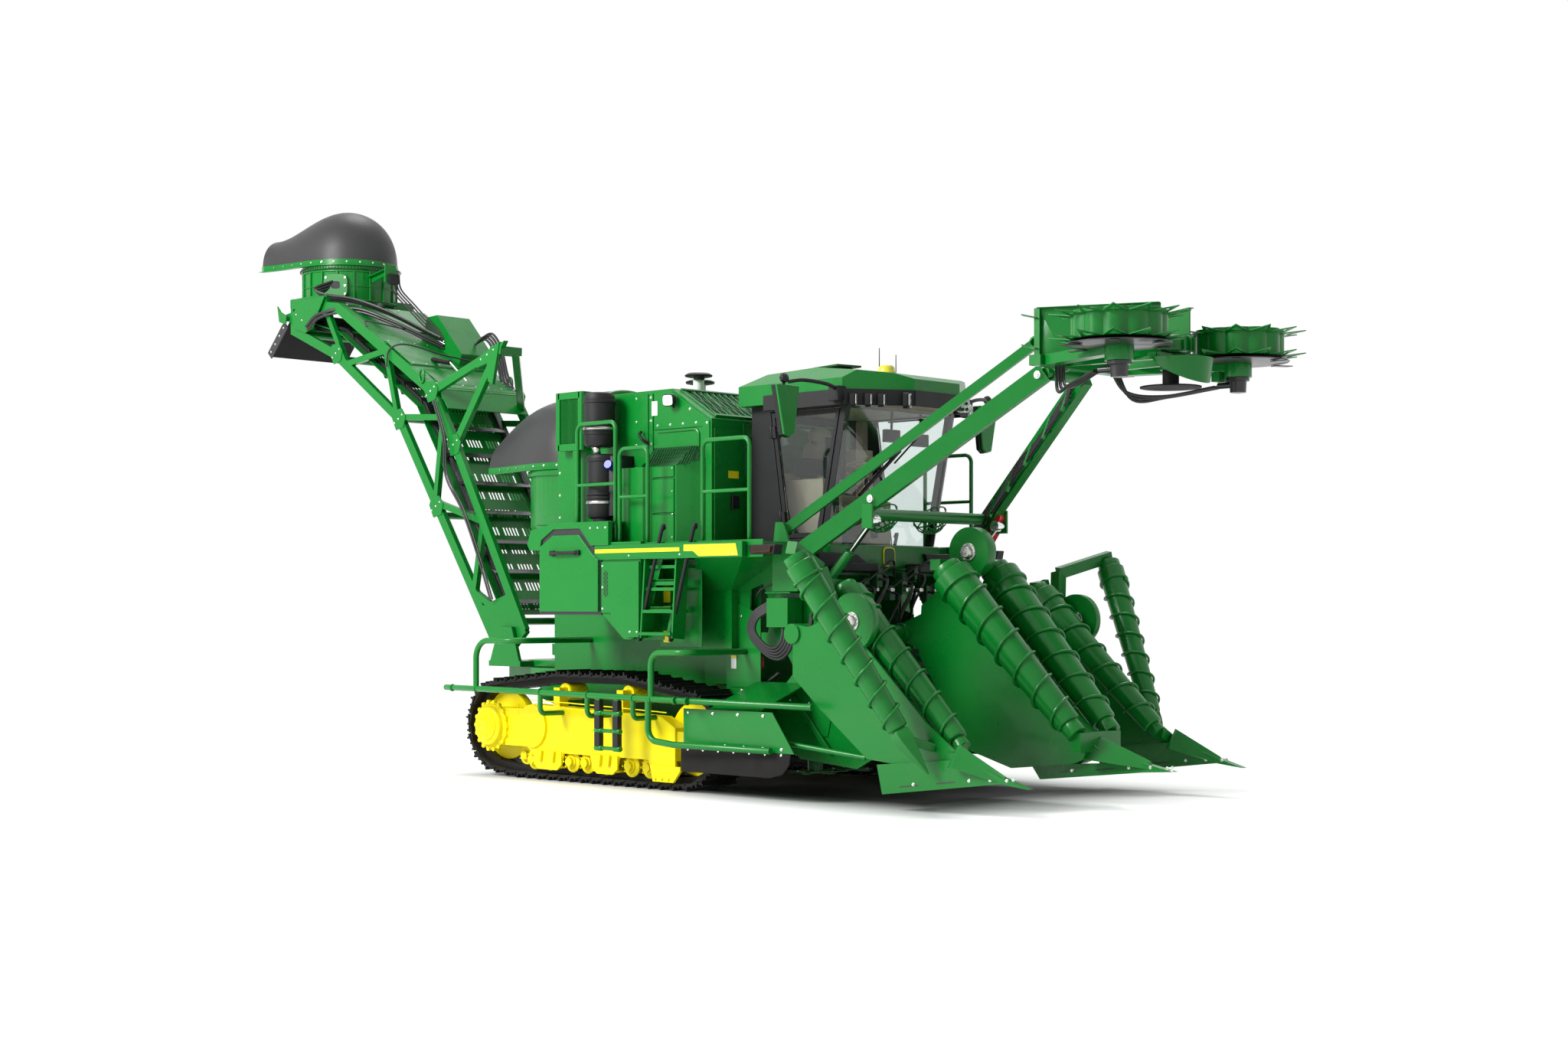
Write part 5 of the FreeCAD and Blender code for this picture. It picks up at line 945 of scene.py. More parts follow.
# %% The hood's surface
def hood_surface(centre, turn, r, reach, half, height, fall, nu=49, nv=29):
    """A moulded hood. u runs from the back of the dome to the mouth, v across from side to side.
    Width at u: a circle's half chord behind the centre, easing to the mouth's half width in front.
    Height across v: a flattened arch, the sine of the angle to a power below one.
    Crown at u: a quarter ellipse behind, then the fall, a function of the share of the reach."""
    u = np.concatenate([-r * np.cos(np.linspace(0.0, np.pi / 2, nu // 2)),
                        np.linspace(0, reach, nu // 2 + 2)[1:]])
    back = np.clip(1 - (u / r) ** 2, 0, 1)
    s = np.clip(u / reach, 0, 1)
    ease = s * s * (3 - 2 * s)
    wide = np.where(u < 0, r * np.sqrt(back), r + (half - r) * ease)
    crown = height * np.where(u < 0, back ** 0.42, fall(s))
    angle = np.linspace(0, np.pi, nv)
    y = wide[:, None] * np.cos(angle)[None]
    z = crown[:, None] * np.sin(angle)[None] ** 0.76
    x = np.broadcast_to(u[:, None], y.shape)
    c, d = math.cos(turn), math.sin(turn)
    return np.stack([-(x * c - y * d), -(x * d + y * c), z], -1) + centre


def hood_shell(outer, wall=0.012):
    """The surface closed into a thin shell: outer and inner skins, joined along the rim and the mouth."""
    nu, nv = outer.shape[:2]
    du, dv = np.gradient(outer, axis=0), np.gradient(outer, axis=1)
    normal = np.cross(du, dv)
    size = np.linalg.norm(normal, axis=-1, keepdims=True)
    normal = np.where(size > 1e-9, normal / np.maximum(size, 1e-9), 0.0)
    centre = outer.mean((0, 1))
    if np.sum(normal * (outer - centre)) < 0:
        normal = -normal
    inner = outer - normal * wall
    inner[..., 2] = np.maximum(inner[..., 2], outer[..., 2].min())
    inner[:, [0, -1], 2] = outer[:, [0, -1], 2]
    top, under = grid_faces(nu, nv), [[k + nu * nv for k in f[::-1]] for f in grid_faces(nu, nv)]
    edge = list(range(0, nu * nv, nv)) + list(range((nu - 1) * nv + 1, nu * nv))
    edge += list(range((nu - 1) * nv - 1, nv - 2, -nv))
    rim = [[a, b, b + nu * nv, a + nu * nv] for a, b in zip(edge, edge[1:])]
    return outward((np.concatenate([outer.reshape(-1, 3), inner.reshape(-1, 3)]), top + under + rim))


def rim_flange(outer, drop, out, thick):
    """A steel band that follows the hood's lower edge: a wall against the shell and a lip turned out."""
    right, left = outer[:, 0], outer[::-1, -1]
    path = np.concatenate([left, right[1:]])
    across = unit(path - path.mean(0) * [1, 1, 0]) * [1, 1, 0]
    across = unit(np.where(np.linalg.norm(across, axis=1, keepdims=True) > 1e-6, across, [[1.0, 0, 0]]))
    lift = np.array([0, 0, 1.0])
    ring = [path, path + across * out, path + across * out + lift * thick,
            path + across * thick + lift * thick]
    ring += [path + across * thick + lift * drop, path + lift * drop]
    rows = np.stack(ring)
    n = rows.shape[1]
    caps = [[k * n for k in range(6)], [k * n + n - 1 for k in range(6)][::-1]]
    return outward((rows.reshape(-1, 3), grid_faces(6, n, True, False) + caps)), path, across


def full(s):
    """The primary hood keeps its height and rounds down late."""
    return 1.0 - 0.45 * s**3


def drawn(s):
    """The second hood falls in an S to a lower mouth."""
    return 1.0 - 0.4 * s**2 * (3.0 - 2.0 * s)


def hood(name, x, z, turn, body, shape):
    """A hood's shell and its green rim with bolts, all on the body that carries the hood."""
    outer = hood_surface(st(x, 0.0, z), math.radians(turn), *shape)
    piece(name + "_shell", [hood_shell(outer)], HOOD, body, angle=60, stands_for=(name,))
    band, path, across = rim_flange(outer, drop=0.075, out=0.045, thick=0.008)
    piece(name + "_rim", [band], GREEN, body, angle=30)
    step = path[3:-3:4] + across[3:-3:4] * 0.009 + [0, 0, 0.045]
    piece(name + "_bolts", [bolts(step, across[3:-3:4], 0.01)], BOLT, body)


hood("primary_hood", -0.6, 3.2, 0.0, "chassis", (0.67, 1.15, 0.5, 0.82, full))
hood("secondary_hood", -5.13, 5.87, 20.0, "secondary_hood", (0.58, 1.0, 0.42, 0.73, drawn))

# %% [markdown]
# ## Topper
# Two drums with pointed paddles gather the cane tops, and knife discs under them cut the tops off. A paddle
# is a triangular plate with a triangular hole; the ring between its two outlines is one small grid, copied
# round the drum.

# %% Paddles, drum walls and knives
def turns(centre, count):
    """Matrices that turn a shape about the upright axis through a centre, evenly spaced."""
    a = circle(count)
    m = np.zeros((count, 4, 4))
    m[:, 0, 0], m[:, 0, 1], m[:, 1, 0], m[:, 1, 1] = np.cos(a), -np.sin(a), np.sin(a), np.cos(a)
    m[:, 2, 2], m[:, 3, 3], m[:, :3, 3] = 1.0, 1.0, centre
    return m


def paddle(r0, r1, half, tilt, t=0.01):
    """A pointed plate with a hole, rising to its tip: outer and inner triangles, four loops of points."""
    def loop(a, b, w):
        """A triangle from its root at a to its tip at b, with each side's middle."""
        corners = np.array([[a, -w], [a, w], [b, 0.0]])
        return np.stack([corners, (corners + np.roll(corners, -1, 0)) / 2], 1).reshape(-1, 2)

    outer, inner = loop(r0, r1, half), loop(r0 + 0.035, r0 + (r1 - r0) * 0.66, half * 0.52)
    rise = math.tan(tilt)
    rows = [(outer, 0.0), (outer, t), (inner, t), (inner, 0.0)]
    points = np.array([[(x, y, (x - r0) * rise + z) for x, y in ring] for ring, z in rows])
    return outward((points.reshape(-1, 3), grid_faces(4, 6, True, True)))


def fluted_wall(centre, r, depth, flutes, z0, z1, wall=0.008):
    """A drum's wall pressed into shallow vertical scallops: its radius dips between the paddles' roots."""
    a = circle(flutes * 10)
    edge = r - depth * (1 - np.abs(np.cos(a * flutes / 2)))
    ring = round_points(a)
    rows = [(edge, z0), (edge, z1), (edge - wall, z1), (edge - wall, z0)]
    points = np.array([np.column_stack([ring * e[:, None] + centre[:2], np.full(len(a), z)])
                       for e, z in rows])
    return outward((points.reshape(-1, 3), grid_faces(4, len(a), True, True)))


PADDLES = 12
for side in ("right", "left"):
    low, high = (np.array(c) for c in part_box("topper_drum_" + side))
    centre = (low + high) / 2
    tip = (high[1] - low[1]) / 2
    root = 0.395
    z0, z1 = low[2] + 0.006, high[2] - 0.01
    plate = [(0, 0.06), (0.0, root), (0.008, root), (0.008, 0.06)]
    shapes = [fluted_wall(centre, root, 0.028, PADDLES, z0, z1)]
    shapes += [turned((*centre[:2], z), UP, plate, 48) for z in (z0, z1 - 0.04)]
    fin = paddle(root - 0.012, tip - 0.004, 0.098, math.radians(9))
    shapes += [repeat(fin, turns((*centre[:2], z), PADDLES)) for z in (z0 - 0.004, z1 - 0.042)]
    shapes += [turned((*centre[:2], z0), UP, [(0, 0.07), (z1 - z0 - 0.03, 0.07)], 24)]
    piece(f"gathering_drum_{side}", shapes, GREEN, "topper_drum_" + side,
          bevel=0.002, angle=30, stands_for=("topper_drum_" + side,))
    nuts = np.column_stack([centre[:2] + 0.3 * round_points(circle(8)), np.full(8, z1 - 0.032)])
    ring = [(0, 0.13), (0, root - 0.02), (0.0015, root - 0.02), (0.0015, 0.13)]
    piece(f"drum_floor_{side}", [turned((*centre[:2], z0 - 0.003), UP, ring, 48)], MATT,
          "topper_drum_" + side)
    piece(f"drum_bolts_{side}", [bolts(nuts, UP, 0.011)], BOLT, "topper_drum_" + side)

# %% Head fittings
DRUM_X, DRUM_Y = 6.95, 0.9
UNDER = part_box("topper_drum_right")[0].z - 0.102  # the cutter's level, under the drums


def knife_disc(x, y, z, r, blades):
    """A dished disc with blades bolted under its rim."""
    disc = turned(st(x, y, z), UP,
                  [(0, 0.05), (0.0, r * 0.6), (0.014, r), (0.024, r), (0.012, r * 0.6), (0.012, 0.05)], 48)
    blade = prism([(r - 0.1, -0.035), (r + 0.075, -0.045), (r + 0.055, 0.035), (r - 0.1, 0.035)], -0.006,
                  0.002, "z")
    return [disc, repeat(blade, turns(st(x, y, z), blades))]


head_black = [s for side in (-1, 1) for s in knife_disc(DRUM_X, side * DRUM_Y, UNDER + 0.055, 0.44, 6)]
for side in (-1, 1):
    y = side * DRUM_Y
    motor = [(0, 0.1), (0.03, 0.1), (0.035, 0.075), (0.13, 0.07), (0.135, 0.03)]
    head_black += [turned(st(DRUM_X, y, UNDER - 0.062), (0, 0, -1), motor, 20)]
    head_black += [rod(st(DRUM_X - 0.06, y, UNDER - 0.12), st(DRUM_X - 0.2, y, UNDER - 0.12), 0.028)]
piece("topper_knives", head_black, BLACK, "topper_head", bevel=0.002)


def skirt(centre, r, z_top, deep, half_turn, wall=0.01, n=41):
    """A bent guard: an upright sheet on an arc whose lower edge hangs deepest in the middle."""
    a = np.linspace(-half_turn, half_turn, n)
    ring = round_points(a)
    low = z_top - 0.02 - deep * np.cos(a / half_turn * np.pi / 2) ** 0.8
    rows = [(r, np.full(n, z_top)), (r * 0.9, low), (r * 0.9 - wall, low), (r - wall, np.full(n, z_top))]
    points = np.array([np.column_stack([ring * e + centre[:2], z]) for e, z in rows])
    caps = [[0, n, 2 * n, 3 * n], [n - 1, 4 * n - 1, 3 * n - 1, 2 * n - 1]]
    return outward((points.reshape(-1, 3), grid_faces(4, n, True, False) + caps))


wing = []
for side in (-1, 1):
    p, q = st(5.94, side * 0.665, UNDER + 0.045), st(6.9, side * 0.238, UNDER + 0.045)
    run = unit(q - p)
    top = 0.445
    wing += [bar(p + [0, 0, top], q + [0, 0, top], 0.05, 0.008)]
    wing += [bar(p, p + [0, 0, top], 0.06, 0.012, LEFT)]
    for z in (0.1, 0.36):
        root = p + [0, 0, z]
        wing += [bar(root, root - run * 0.13 + [0, 0, 0.03], 0.09, 0.01)]
head = [skirt(st(6.92, 0.0, 0.0), 0.3, UNDER + 0.03, 0.2, math.radians(105))]
head += [turned(st(6.85, 0, UNDER + 0.085), UP, [(0, 0.16), (0.01, 0.175), (0.13, 0.175), (0.14, 0.16)], 36)]
fins = prism(rect(0.17, 0.205, -0.004, 0.004), 0.0, 0.12, "z")
head += [repeat(fins, turns(st(6.85, 0, UNDER + 0.095), 16))]
head += [block((6.74, 6.82), (0.8, 0.98), (UNDER - 0.09, UNDER - 0.004))]
piece("topper_head_guards", wing + head, GREEN, "topper_head", bevel=0.002)

# %% [markdown]
# ## The cab
# Under the green roof runs a black fascia with the working lamps. Inside, beige trim, a cushioned seat and
# dark controls show through the panes, with wipers outside and mirrors on bent arms.

# %% Roof fascia and lamps
ROOF_LOW = np.array(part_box("cab_roof"))[0][2]
NOSE_X = np.array(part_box("cab_roof"))[1][0] - ZERO
EAVES = [(2.9, -0.9), (3.9, -0.9), (NOSE_X, -0.33), (NOSE_X, 0.33), (3.9, 0.9), (2.9, 0.9)]


def edge_band(line, out, thick, low, high):
    """Upright plates along a plan line, standing out from it."""
    plates = []
    for p, q in zip(np.array(line[:-1]), np.array(line[1:])):
        along = unit(q - p)
        side = np.array([along[1], -along[0]])
        plates.append(flat_plate([p + side * (out - thick), q + side * (out - thick), q + side * out,
                                  p + side * out], low, high))
    return plates


def local(shape, place, normal):
    """A shape drawn with +Z outward, set at a place with its face along a normal."""
    return repeat(shape, placed([place], [normal]))


def rounded_box(w, h, d, r=0.3, n=6, power=4.0):
    """A box with soft corners, its back at z = 0: a superellipse outline with a smaller front ring."""
    a = circle(8 * n)
    c, s = np.cos(a), np.sin(a)
    ring = np.stack([np.sign(c) * np.abs(c) ** (2 / power) * w / 2,
                     np.sign(s) * np.abs(s) ** (2 / power) * h / 2], -1)
    steps = [(1.0, 0.0), (1.0, d * (1 - r)), (1 - 0.35 * r * d / w, d * (1 - 0.3 * r)), (1 - r * d / w, d)]
    rows = [np.column_stack([ring * k, np.full(len(ring), z)]) for k, z in steps]
    m = len(ring)
    caps = [list(range(m))[::-1], [m * (len(rows) - 1) + k for k in range(m)]]
    return outward((np.concatenate(rows), grid_faces(len(rows), m, False, True) + caps))


def lamp(place, normal, w, h, cells):
    """A lamp: black housing, a bright reflector with its cells and a clear lens."""
    n = unit(normal)
    place = np.asarray(place, float)
    body = local(rounded_box(w, h, 0.055), place, n)
    bright = local(rounded_box(w * 0.86, h * 0.84, 0.006), place + n * 0.055, n)
    lens = local(rounded_box(w * 0.88, h * 0.86, 0.01), place + n * 0.066, n)
    across = unit(np.cross([0, 0, 1.0], n))
    marks = []
    for a, b in cells:
        middle = place + n * 0.061 + across * (a * w / 2) + np.array([0, 0, b * h / 2])
        marks.append(turned(middle, n, [(0, w * 0.11), (0.004, w * 0.1)], 16))
    return body, bright, lens, marks


FASCIA_Z = (ROOF_LOW - 0.062, ROOF_LOW + 0.085)
piece("roof_fascia", edge_band(EAVES, 0.014, 0.03, *FASCIA_Z), PLASTIC, bevel=0.006)
piece("roof_liner",
      [flat_plate([(2.68, -0.76), (3.86, -0.76), (4.12, -0.3), (4.12, 0.3), (3.86, 0.76), (2.68, 0.76)],
                  ROOF_LOW - 0.045, ROOF_LOW - 0.004)], TRIM, bevel=0.01)
corner, nose = np.array([3.9, -0.9]), np.array([NOSE_X, -0.33])
slant = unit([nose[1] - corner[1], corner[0] - nose[0], 0]) * [1, -1, 0]
LAMP_Z = ROOF_LOW - 0.015
parts = []
for share, w, h, cells in ((0.1, 0.115, 0.125, [(0, 0.2), (-0.4, -0.35), (0.4, -0.35)]),
                           (0.31, 0.125, 0.125, [(0, 0.2), (-0.4, -0.35), (0.4, -0.35)]),
                           (0.49, 0.105, 0.125, [(0, 0.2), (0, -0.4)]),
                           (0.84, 0.155, 0.15,
                            [(-0.45, 0.35), (0.45, 0.35), (-0.55, -0.4), (0, -0.4), (0.55, -0.4)])):
    x, y = corner + (nose - corner) * share
    place = st(x, y, LAMP_Z) + slant * 0.008
    one = lamp(place, slant, w, h, cells)
    other = slant * [1, -1, 1]
    two = lamp(place * [1, -1, 1], other, w, h, cells)
    parts += [one, two]
piece("lamp_housings", [p[0] for p in parts], PLASTIC, bevel=0.003)
piece("lamp_reflectors", [p[1] for p in parts], BOWL)
piece("lamp_cells", [m for p in parts for m in p[3]], BLACK)
piece("lamp_lenses", [p[2] for p in parts], LENS, stands_for=("work_lamps",))
BEACON_AT = st(3.35, 0.35, np.array(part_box("cab_roof"))[1][2])
profile = [(0.0, 0.1), (0.035, 0.1), (0.04, 0.085), (0.075, 0.082), (0.095, 0.065), (0.1, 0.0001)]
piece("beacon", [turned(BEACON_AT, UP, profile, 40)], BEACON)
ROOF_TOP = BEACON_AT[2]
plate = [(3.02, -0.34), (3.4, -0.42), (3.46, -0.14), (3.1, -0.06)]
piece("roof_aerial_plate",
      [flat_plate(plate, ROOF_TOP + 0.03, ROOF_TOP + 0.05),
       block((3.1, 3.34), (-0.32, -0.14), (ROOF_TOP - 0.03, ROOF_TOP + 0.035))], DARK_GREEN, bevel=0.004)
whips = []
for x, y, tall in ((3.02, 0.62, 0.42), (3.1, 0.78, 0.36)):
    foot = st(x, y, ROOF_TOP - 0.1)
    whips.append(turned(foot, UP, [(0, 0.022), (0.06, 0.018), (0.07, 0.006), (tall, 0.004)], 12))
piece("roof_aerials", whips, PLASTIC)

# %% Wipers, visor, pillar trims and posts
def on_screen(y, z):
    """A point just in front of the leaning windscreen."""
    lean = (z - 2.33) / 1.32
    return st(3.593 + 0.27 * lean + 0.022, y, z)


arms = [rod(on_screen(0.32, 3.5), on_screen(-0.1, 3.13), 0.009, 8),
        rod(on_screen(0.4, 3.49), on_screen(-0.02, 3.1), 0.009, 8),
        bar(on_screen(0.02, 3.22) + [0.01, 0, 0], on_screen(-0.46, 2.78) + [0.01, 0, 0], 0.022, 0.03, AHEAD),
        turned(on_screen(0.32, 3.5), (-1, 0, 0.2), [(-0.02, 0.03), (0.03, 0.03)], 16),
        turned(on_screen(0.4, 3.49), (-1, 0, 0.2), [(-0.02, 0.022), (0.03, 0.022)], 16)]
piece("wipers", arms, PLASTIC)
inside = [block((2.69, 2.78), (y, y + 0.09), (2.36, 3.6)) for y in (-0.72, 0.63)]
inside += [block((2.68, 2.7), (-0.6, 0.6), (2.36, 2.82)), block((2.7, 3.1), (0.42, 0.7), (2.34, 2.78)),
           block((2.72, 2.86), (-0.66, -0.34), (2.78, 3.02)), block((2.72, 2.9), (0.4, 0.66), (2.8, 3.3))]
piece("cab_trim", inside, TRIM, bevel=0.02)
piece("cab_controls",
      [block((3.02, 3.05), (-0.62, -0.22), (2.98, 3.16)), block((3.3, 3.42), (-0.5, -0.32), (2.95, 3.16)),
       rod(st(3.4, -0.41, 2.6), st(3.38, -0.41, 3.0), 0.014),
       block((3.36, 3.38), (-0.55, -0.27), (3.16, 3.34)), block((3.7, 3.76), (-0.12, 0.08), (3.3, 3.42)),
       rod(st(3.73, -0.02, 3.42), st(3.74, -0.02, 3.6), 0.012), block((3.7, 3.76), (0.3, 0.5), (3.28, 3.4)),
       rod(st(3.73, 0.4, 3.4), st(3.74, 0.4, 3.6), 0.012)], PLASTIC, bevel=0.008)

# %% Seat cushions
def cushion(deep, middle, high, wide, puff, power=5.0, n=25):
    """A stuffed block: a superellipsoid whose faces swell by puff, with two seams drawn in."""
    a, b = np.meshgrid(np.linspace(-np.pi, np.pi, 2 * n, endpoint=False),
                       np.linspace(-np.pi / 2, np.pi / 2, n), indexing="ij")

    def soft(c):
        """A sine or cosine raised so that the block's corners fill out."""
        return np.sign(c) * np.abs(c) ** (2 / power)

    local_x = soft(np.cos(b)) * soft(np.cos(a))
    local_y = soft(np.cos(b)) * soft(np.sin(a))
    local_z = soft(np.sin(b))
    swell = 1 + puff * (1 - np.clip(local_x**2, 0, 1)) * (1 - np.clip(local_y**2, 0, 1))
    seam = 1 - 0.1 * np.exp(-((np.abs(local_y) - 0.55) / 0.06) ** 2) * (np.abs(local_z) > 0.5)
    points = np.stack([local_x * deep / 2, local_y * wide / 2, local_z * high / 2 * swell * seam], -1)
    points += middle
    return outward((points.reshape(-1, 3), grid_faces(2 * n, n, True, False)))


seat_base = [block((2.84, 3.12), (-0.22, 0.22), (DECK_TOP, 2.42)),
             block((2.88, 3.06), (-0.16, 0.16), (2.42, 2.66)), block((2.8, 3.14), (-0.24, 0.24), (2.66, 2.7))]
piece("seat_base", seat_base, PLASTIC, bevel=0.01, stands_for=("operator_seat",))
soft_parts = [("seat_cushion", cushion(0.36, st(2.975, 0, 2.755), 0.13, 0.5, 0.16)),
              ("seat_back", cushion(0.13, st(2.8, 0, 3.07), 0.56, 0.47, 0.0, 4.0)),
              ("seat_headrest", cushion(0.11, st(2.79, 0, 3.41), 0.16, 0.28, 0.0, 3.0)),
              *[("seat_arm_" + side, cushion(0.3, st(2.98, y, 2.97), 0.06, 0.075, 0.0, 3.0))
                for side, y in (("right", -0.285), ("left", 0.285))]]
for name, shape in soft_parts:
    piece(name, [shape], CLOTH, angle=60)
rings = [turned(st(3.36, 0.0, 2.98), (-0.5, 0, 0.87), [(0, 0.03), (0.03, 0.03)], 20)]
turn = circle(40)
u, v = np.array([0.87, 0, 0.5]), np.array([0, 1.0, 0])
ring = st(3.36, 0, 3.0) + 0.18 * (np.cos(turn)[:, None] * u + np.sin(turn)[:, None] * v)
rings.append(tube(ring, 0.014, 10, closed=True))
rings += [rod(st(3.36, 0, 2.99), ring[k], 0.009, 8) for k in (3, 20, 37)]
rings.append(rod(st(3.5, 0, 2.4), st(3.36, 0, 2.98), 0.035))
piece("steering_wheel", rings, PLASTIC)

# %% Mirrors
def mirror():
    """A tapered housing on a bent arm: green shell to the front, dark side to the rear."""
    outline = np.array([(-1.6, 3.74), (-1.3, 3.74), (-1.36, 3.31), (-1.42, 3.27), (-1.5, 3.29)])
    front = prism(outline, ZERO + 3.715, ZERO + 3.745, "x")
    back = prism(outline * [0.995, 0.999], ZERO + 3.66, ZERO + 3.713, "x")
    arm = tube(smooth([st(3.86, -0.9, 3.7), st(3.88, -1.05, 3.76), st(3.8, -1.3, 3.79),
                       st(3.73, -1.44, 3.77)], 8), 0.018, 10)
    knob = turned(st(3.7, -1.47, 3.8), (1, 0, 0.2),
                  [(-0.02, 0.03), (0.0, 0.045), (0.03, 0.045), (0.05, 0.02)], 20)
    stub = rod(st(3.7, -1.46, 3.7), st(3.7, -1.47, 3.82), 0.014)
    foot = block((3.8, 3.92), (-0.98, -0.84), (3.62, 3.76))
    return [front], [back, stub, knob, arm, foot]


shells, backs = mirror()
piece("mirror_backs", both(backs), PLASTIC, bevel=0.008, stands_for=("cab_mirrors",))
piece("mirror_shells", both(shells), GREEN, bevel=0.012)

# %% Below the windscreen
rows = [block((3.56, 3.66), (-0.8, 0.8), (2.1, 2.325))]
piece("cab_front_panel", rows, GREEN, bevel=0.02)
badge = local(rounded_box(0.17, 0.19, 0.012), st(3.662, 0.02, 2.215), AHEAD)
inner = local(rounded_box(0.14, 0.16, 0.006), st(3.674, 0.02, 2.215), AHEAD)
piece("blank_badge", [badge], STRIPE)
piece("blank_badge_face", [inner], DARK_GREEN)
bumper = [flat_plate([(3.6, s * 0.82), (3.8, s * 0.74), (3.82, s * 0.3), (3.66, s * 0.26)], 2.06, 2.15)
          for s in (-1, 1)]
piece("cab_bumper", bumper, PLASTIC, bevel=0.02)


def basket(centre, axis, r, deep, rings, ribs):
    """A bowl of wire round a lamp: rings that shrink with a quarter sine, joined by ribs."""
    axis = unit(axis)
    a = unit(np.cross(axis, [0, 0, 1.0]))
    b = np.cross(axis, a)
    turn = circle(28)
    wires = []
    for k in range(rings):
        t = k / rings * np.pi / 2
        ring = centre + axis * deep * np.sin(t) + r * np.cos(t) * (round_points(turn) @ [a, b])
        wires.append(tube(ring, 0.007, 8, closed=True))
    t = np.linspace(0, np.pi / 2, 8)[:, None]
    for k in range(ribs):
        phi = 2 * np.pi * k / ribs
        line = centre + axis * deep * np.sin(t) + r * np.cos(t) * (np.cos(phi) * a + np.sin(phi) * b)
        wires.append(tube(line, 0.006, 8))
    return wires


baskets = []
for y in (-0.3, 0.42):
    baskets += basket(st(3.84, y, 2.6), (0.55, 0, -0.83), 0.17, 0.16, 4, 10)
piece("lamp_baskets", baskets, GREEN, "topper_arms")

# %% [markdown]
# ## The hull's sheet metal
# Folded panels, seams and their bolts are what make a big painted box read as sheet steel. Each panel is a
# plate that stands a little off the wall, so its bevelled edge draws a line of light and the gap beside it
# a dark one.

# %% Panels on the engine housing
HOUSE_Y = 1.2
PANEL_FACE = HOUSE_Y + 0.012


def along(points, gap):
    """Places about a gap apart on a line of points."""
    p = np.array(points, float)
    reach = np.concatenate([[0], np.cumsum(np.linalg.norm(np.diff(p, axis=0), axis=1))])
    want = np.linspace(0, reach[-1], max(2, int(reach[-1] / gap) + 1))
    return np.stack([np.interp(want, reach, p[:, k]) for k in range(p.shape[1])], 1)


def wall_bolts(line, y, gap=0.22, size=0.011):
    """Bolt heads along a line of (station, height) on a wall at a width, on both sides of the machine."""
    xz = along(line, gap)
    where = np.column_stack([xz[:, 0] + ZERO, np.full(len(xz), -y), xz[:, 1]])
    return both([bolts(where, RIGHT, size)])


def sheet(outline, y, stand=0.012):
    """A plate on the wall at a width, on both sides."""
    return both([side_plate(outline, -y - stand, -y + 0.002)])


panels = []
for outline in (rect(1.64, 1.69, 2.36, 3.82), rect(0.27, 0.6, 2.36, 3.82), rect(1.42, 1.62, 2.36, 3.82),
                [(1.71, 3.46), (1.71, 3.82), (1.96, 3.82), (2.48, 3.51), (2.48, 3.3), (2.38, 3.3),
                 (2.38, 3.46)]):
    panels += sheet(outline, HOUSE_Y)
piece("housing_panels", panels, GREEN, bevel=0.004)
recess = rounded([(1.76, 3.44), (2.33, 3.44), (2.33, 3.24)], 0.07, 6)
rim = np.column_stack([recess[:, 0] + ZERO, np.full(len(recess), -HOUSE_Y - 0.004), recess[:, 1]])
piece("housing_beads", both([tube(rim, 0.014, 8)]), GREEN)
scoop_low = [(1.7, -1.2, DECK_TOP), (1.74, -1.4, DECK_TOP), (2.24, -1.42, DECK_TOP), (2.42, -1.2, DECK_TOP)]
scoop_high = [(1.7, -1.2, 3.09), (1.74, -1.4, 3.09), (2.24, -1.42, 3.09), (2.42, -1.2, 3.15)]
scoop_ridge = [(1.7, -1.205, 3.28), (1.74, -1.21, 3.28), (2.24, -1.21, 3.28), (2.41, -1.2, 3.26)]
scoop = [loft(scoop_low, scoop_high)]
slat = [(1.74, -1.402), (1.74, -1.415), (2.22, -1.432), (2.22, -1.42)]
for z0, z1 in ((2.36, 2.62), (2.64, 2.96), (2.98, 3.08)):
    scoop.append(loft([(x, y, z0) for x, y in slat], [(x, y, z1) for x, y in slat]))
piece("cooling_scoop", both(scoop), GREEN, bevel=0.005)
piece("scoop_grille", both([loft(scoop_high, scoop_ridge)]), DARK_GREEN, bevel=0.003)
ribs, slats = [], []
for x in np.linspace(1.72 + 0.62 * 0.04, 1.72 + 0.62 * 0.96, 17):
    for a, b in ((x, x + 0.08), (x + 0.08, x)):
        ribs.append(bar(st(a, -1.405, 3.095), st(b, -1.215, 3.275), 0.008, 0.012))
for y in np.linspace(-1.16 + 1.9 * 0.03, -1.16 + 1.9 * 0.97, 22):
    for a, b in ((y, y + 0.14), (y + 0.14, y)):
        slats.append(bar(st(1.985, a, 3.846), st(2.475, b, 3.556), 0.01, 0.014))
piece("mesh_wires", both(ribs) + slats, DARK_GREEN)
rows = []
for line in ([(0.3, 2.42), (0.3, 3.78)], [(1.455, 2.42), (1.455, 3.78)], [(1.665, 2.42), (1.665, 3.78)],
             [(1.98, 3.78), (2.45, 3.49)]):
    rows += wall_bolts(line, PANEL_FACE)
rows += wall_bolts([(1.76, 3.5), (2.3, 3.5)], PANEL_FACE, 0.14)
rows += wall_bolts([(2.2, 2.4), (2.2, 3.06)], 1.43, 0.2, 0.009)
front = pts(*[(2.503, y, z) for y in (-1.15, -0.98, -0.84) for z in (2.5, 2.85, 3.1, 3.4)])
rows.append(bolts(front, AHEAD, 0.01))
piece("housing_bolts", rows, BOLT)
door = [block((2.498, 2.512), (-1.17, -0.8), (2.37, 3.44)), block((2.498, 2.508), (-0.78, 0.78), (3.3, 3.5))]
piece("housing_front_door", door, GREEN, bevel=0.004)
latch = [block((2.51, 2.535), (-0.96, -0.86), (2.68, 2.8)),
         rod(st(2.53, -0.95, 2.83), st(2.53, -0.95, 2.66), 0.01)]
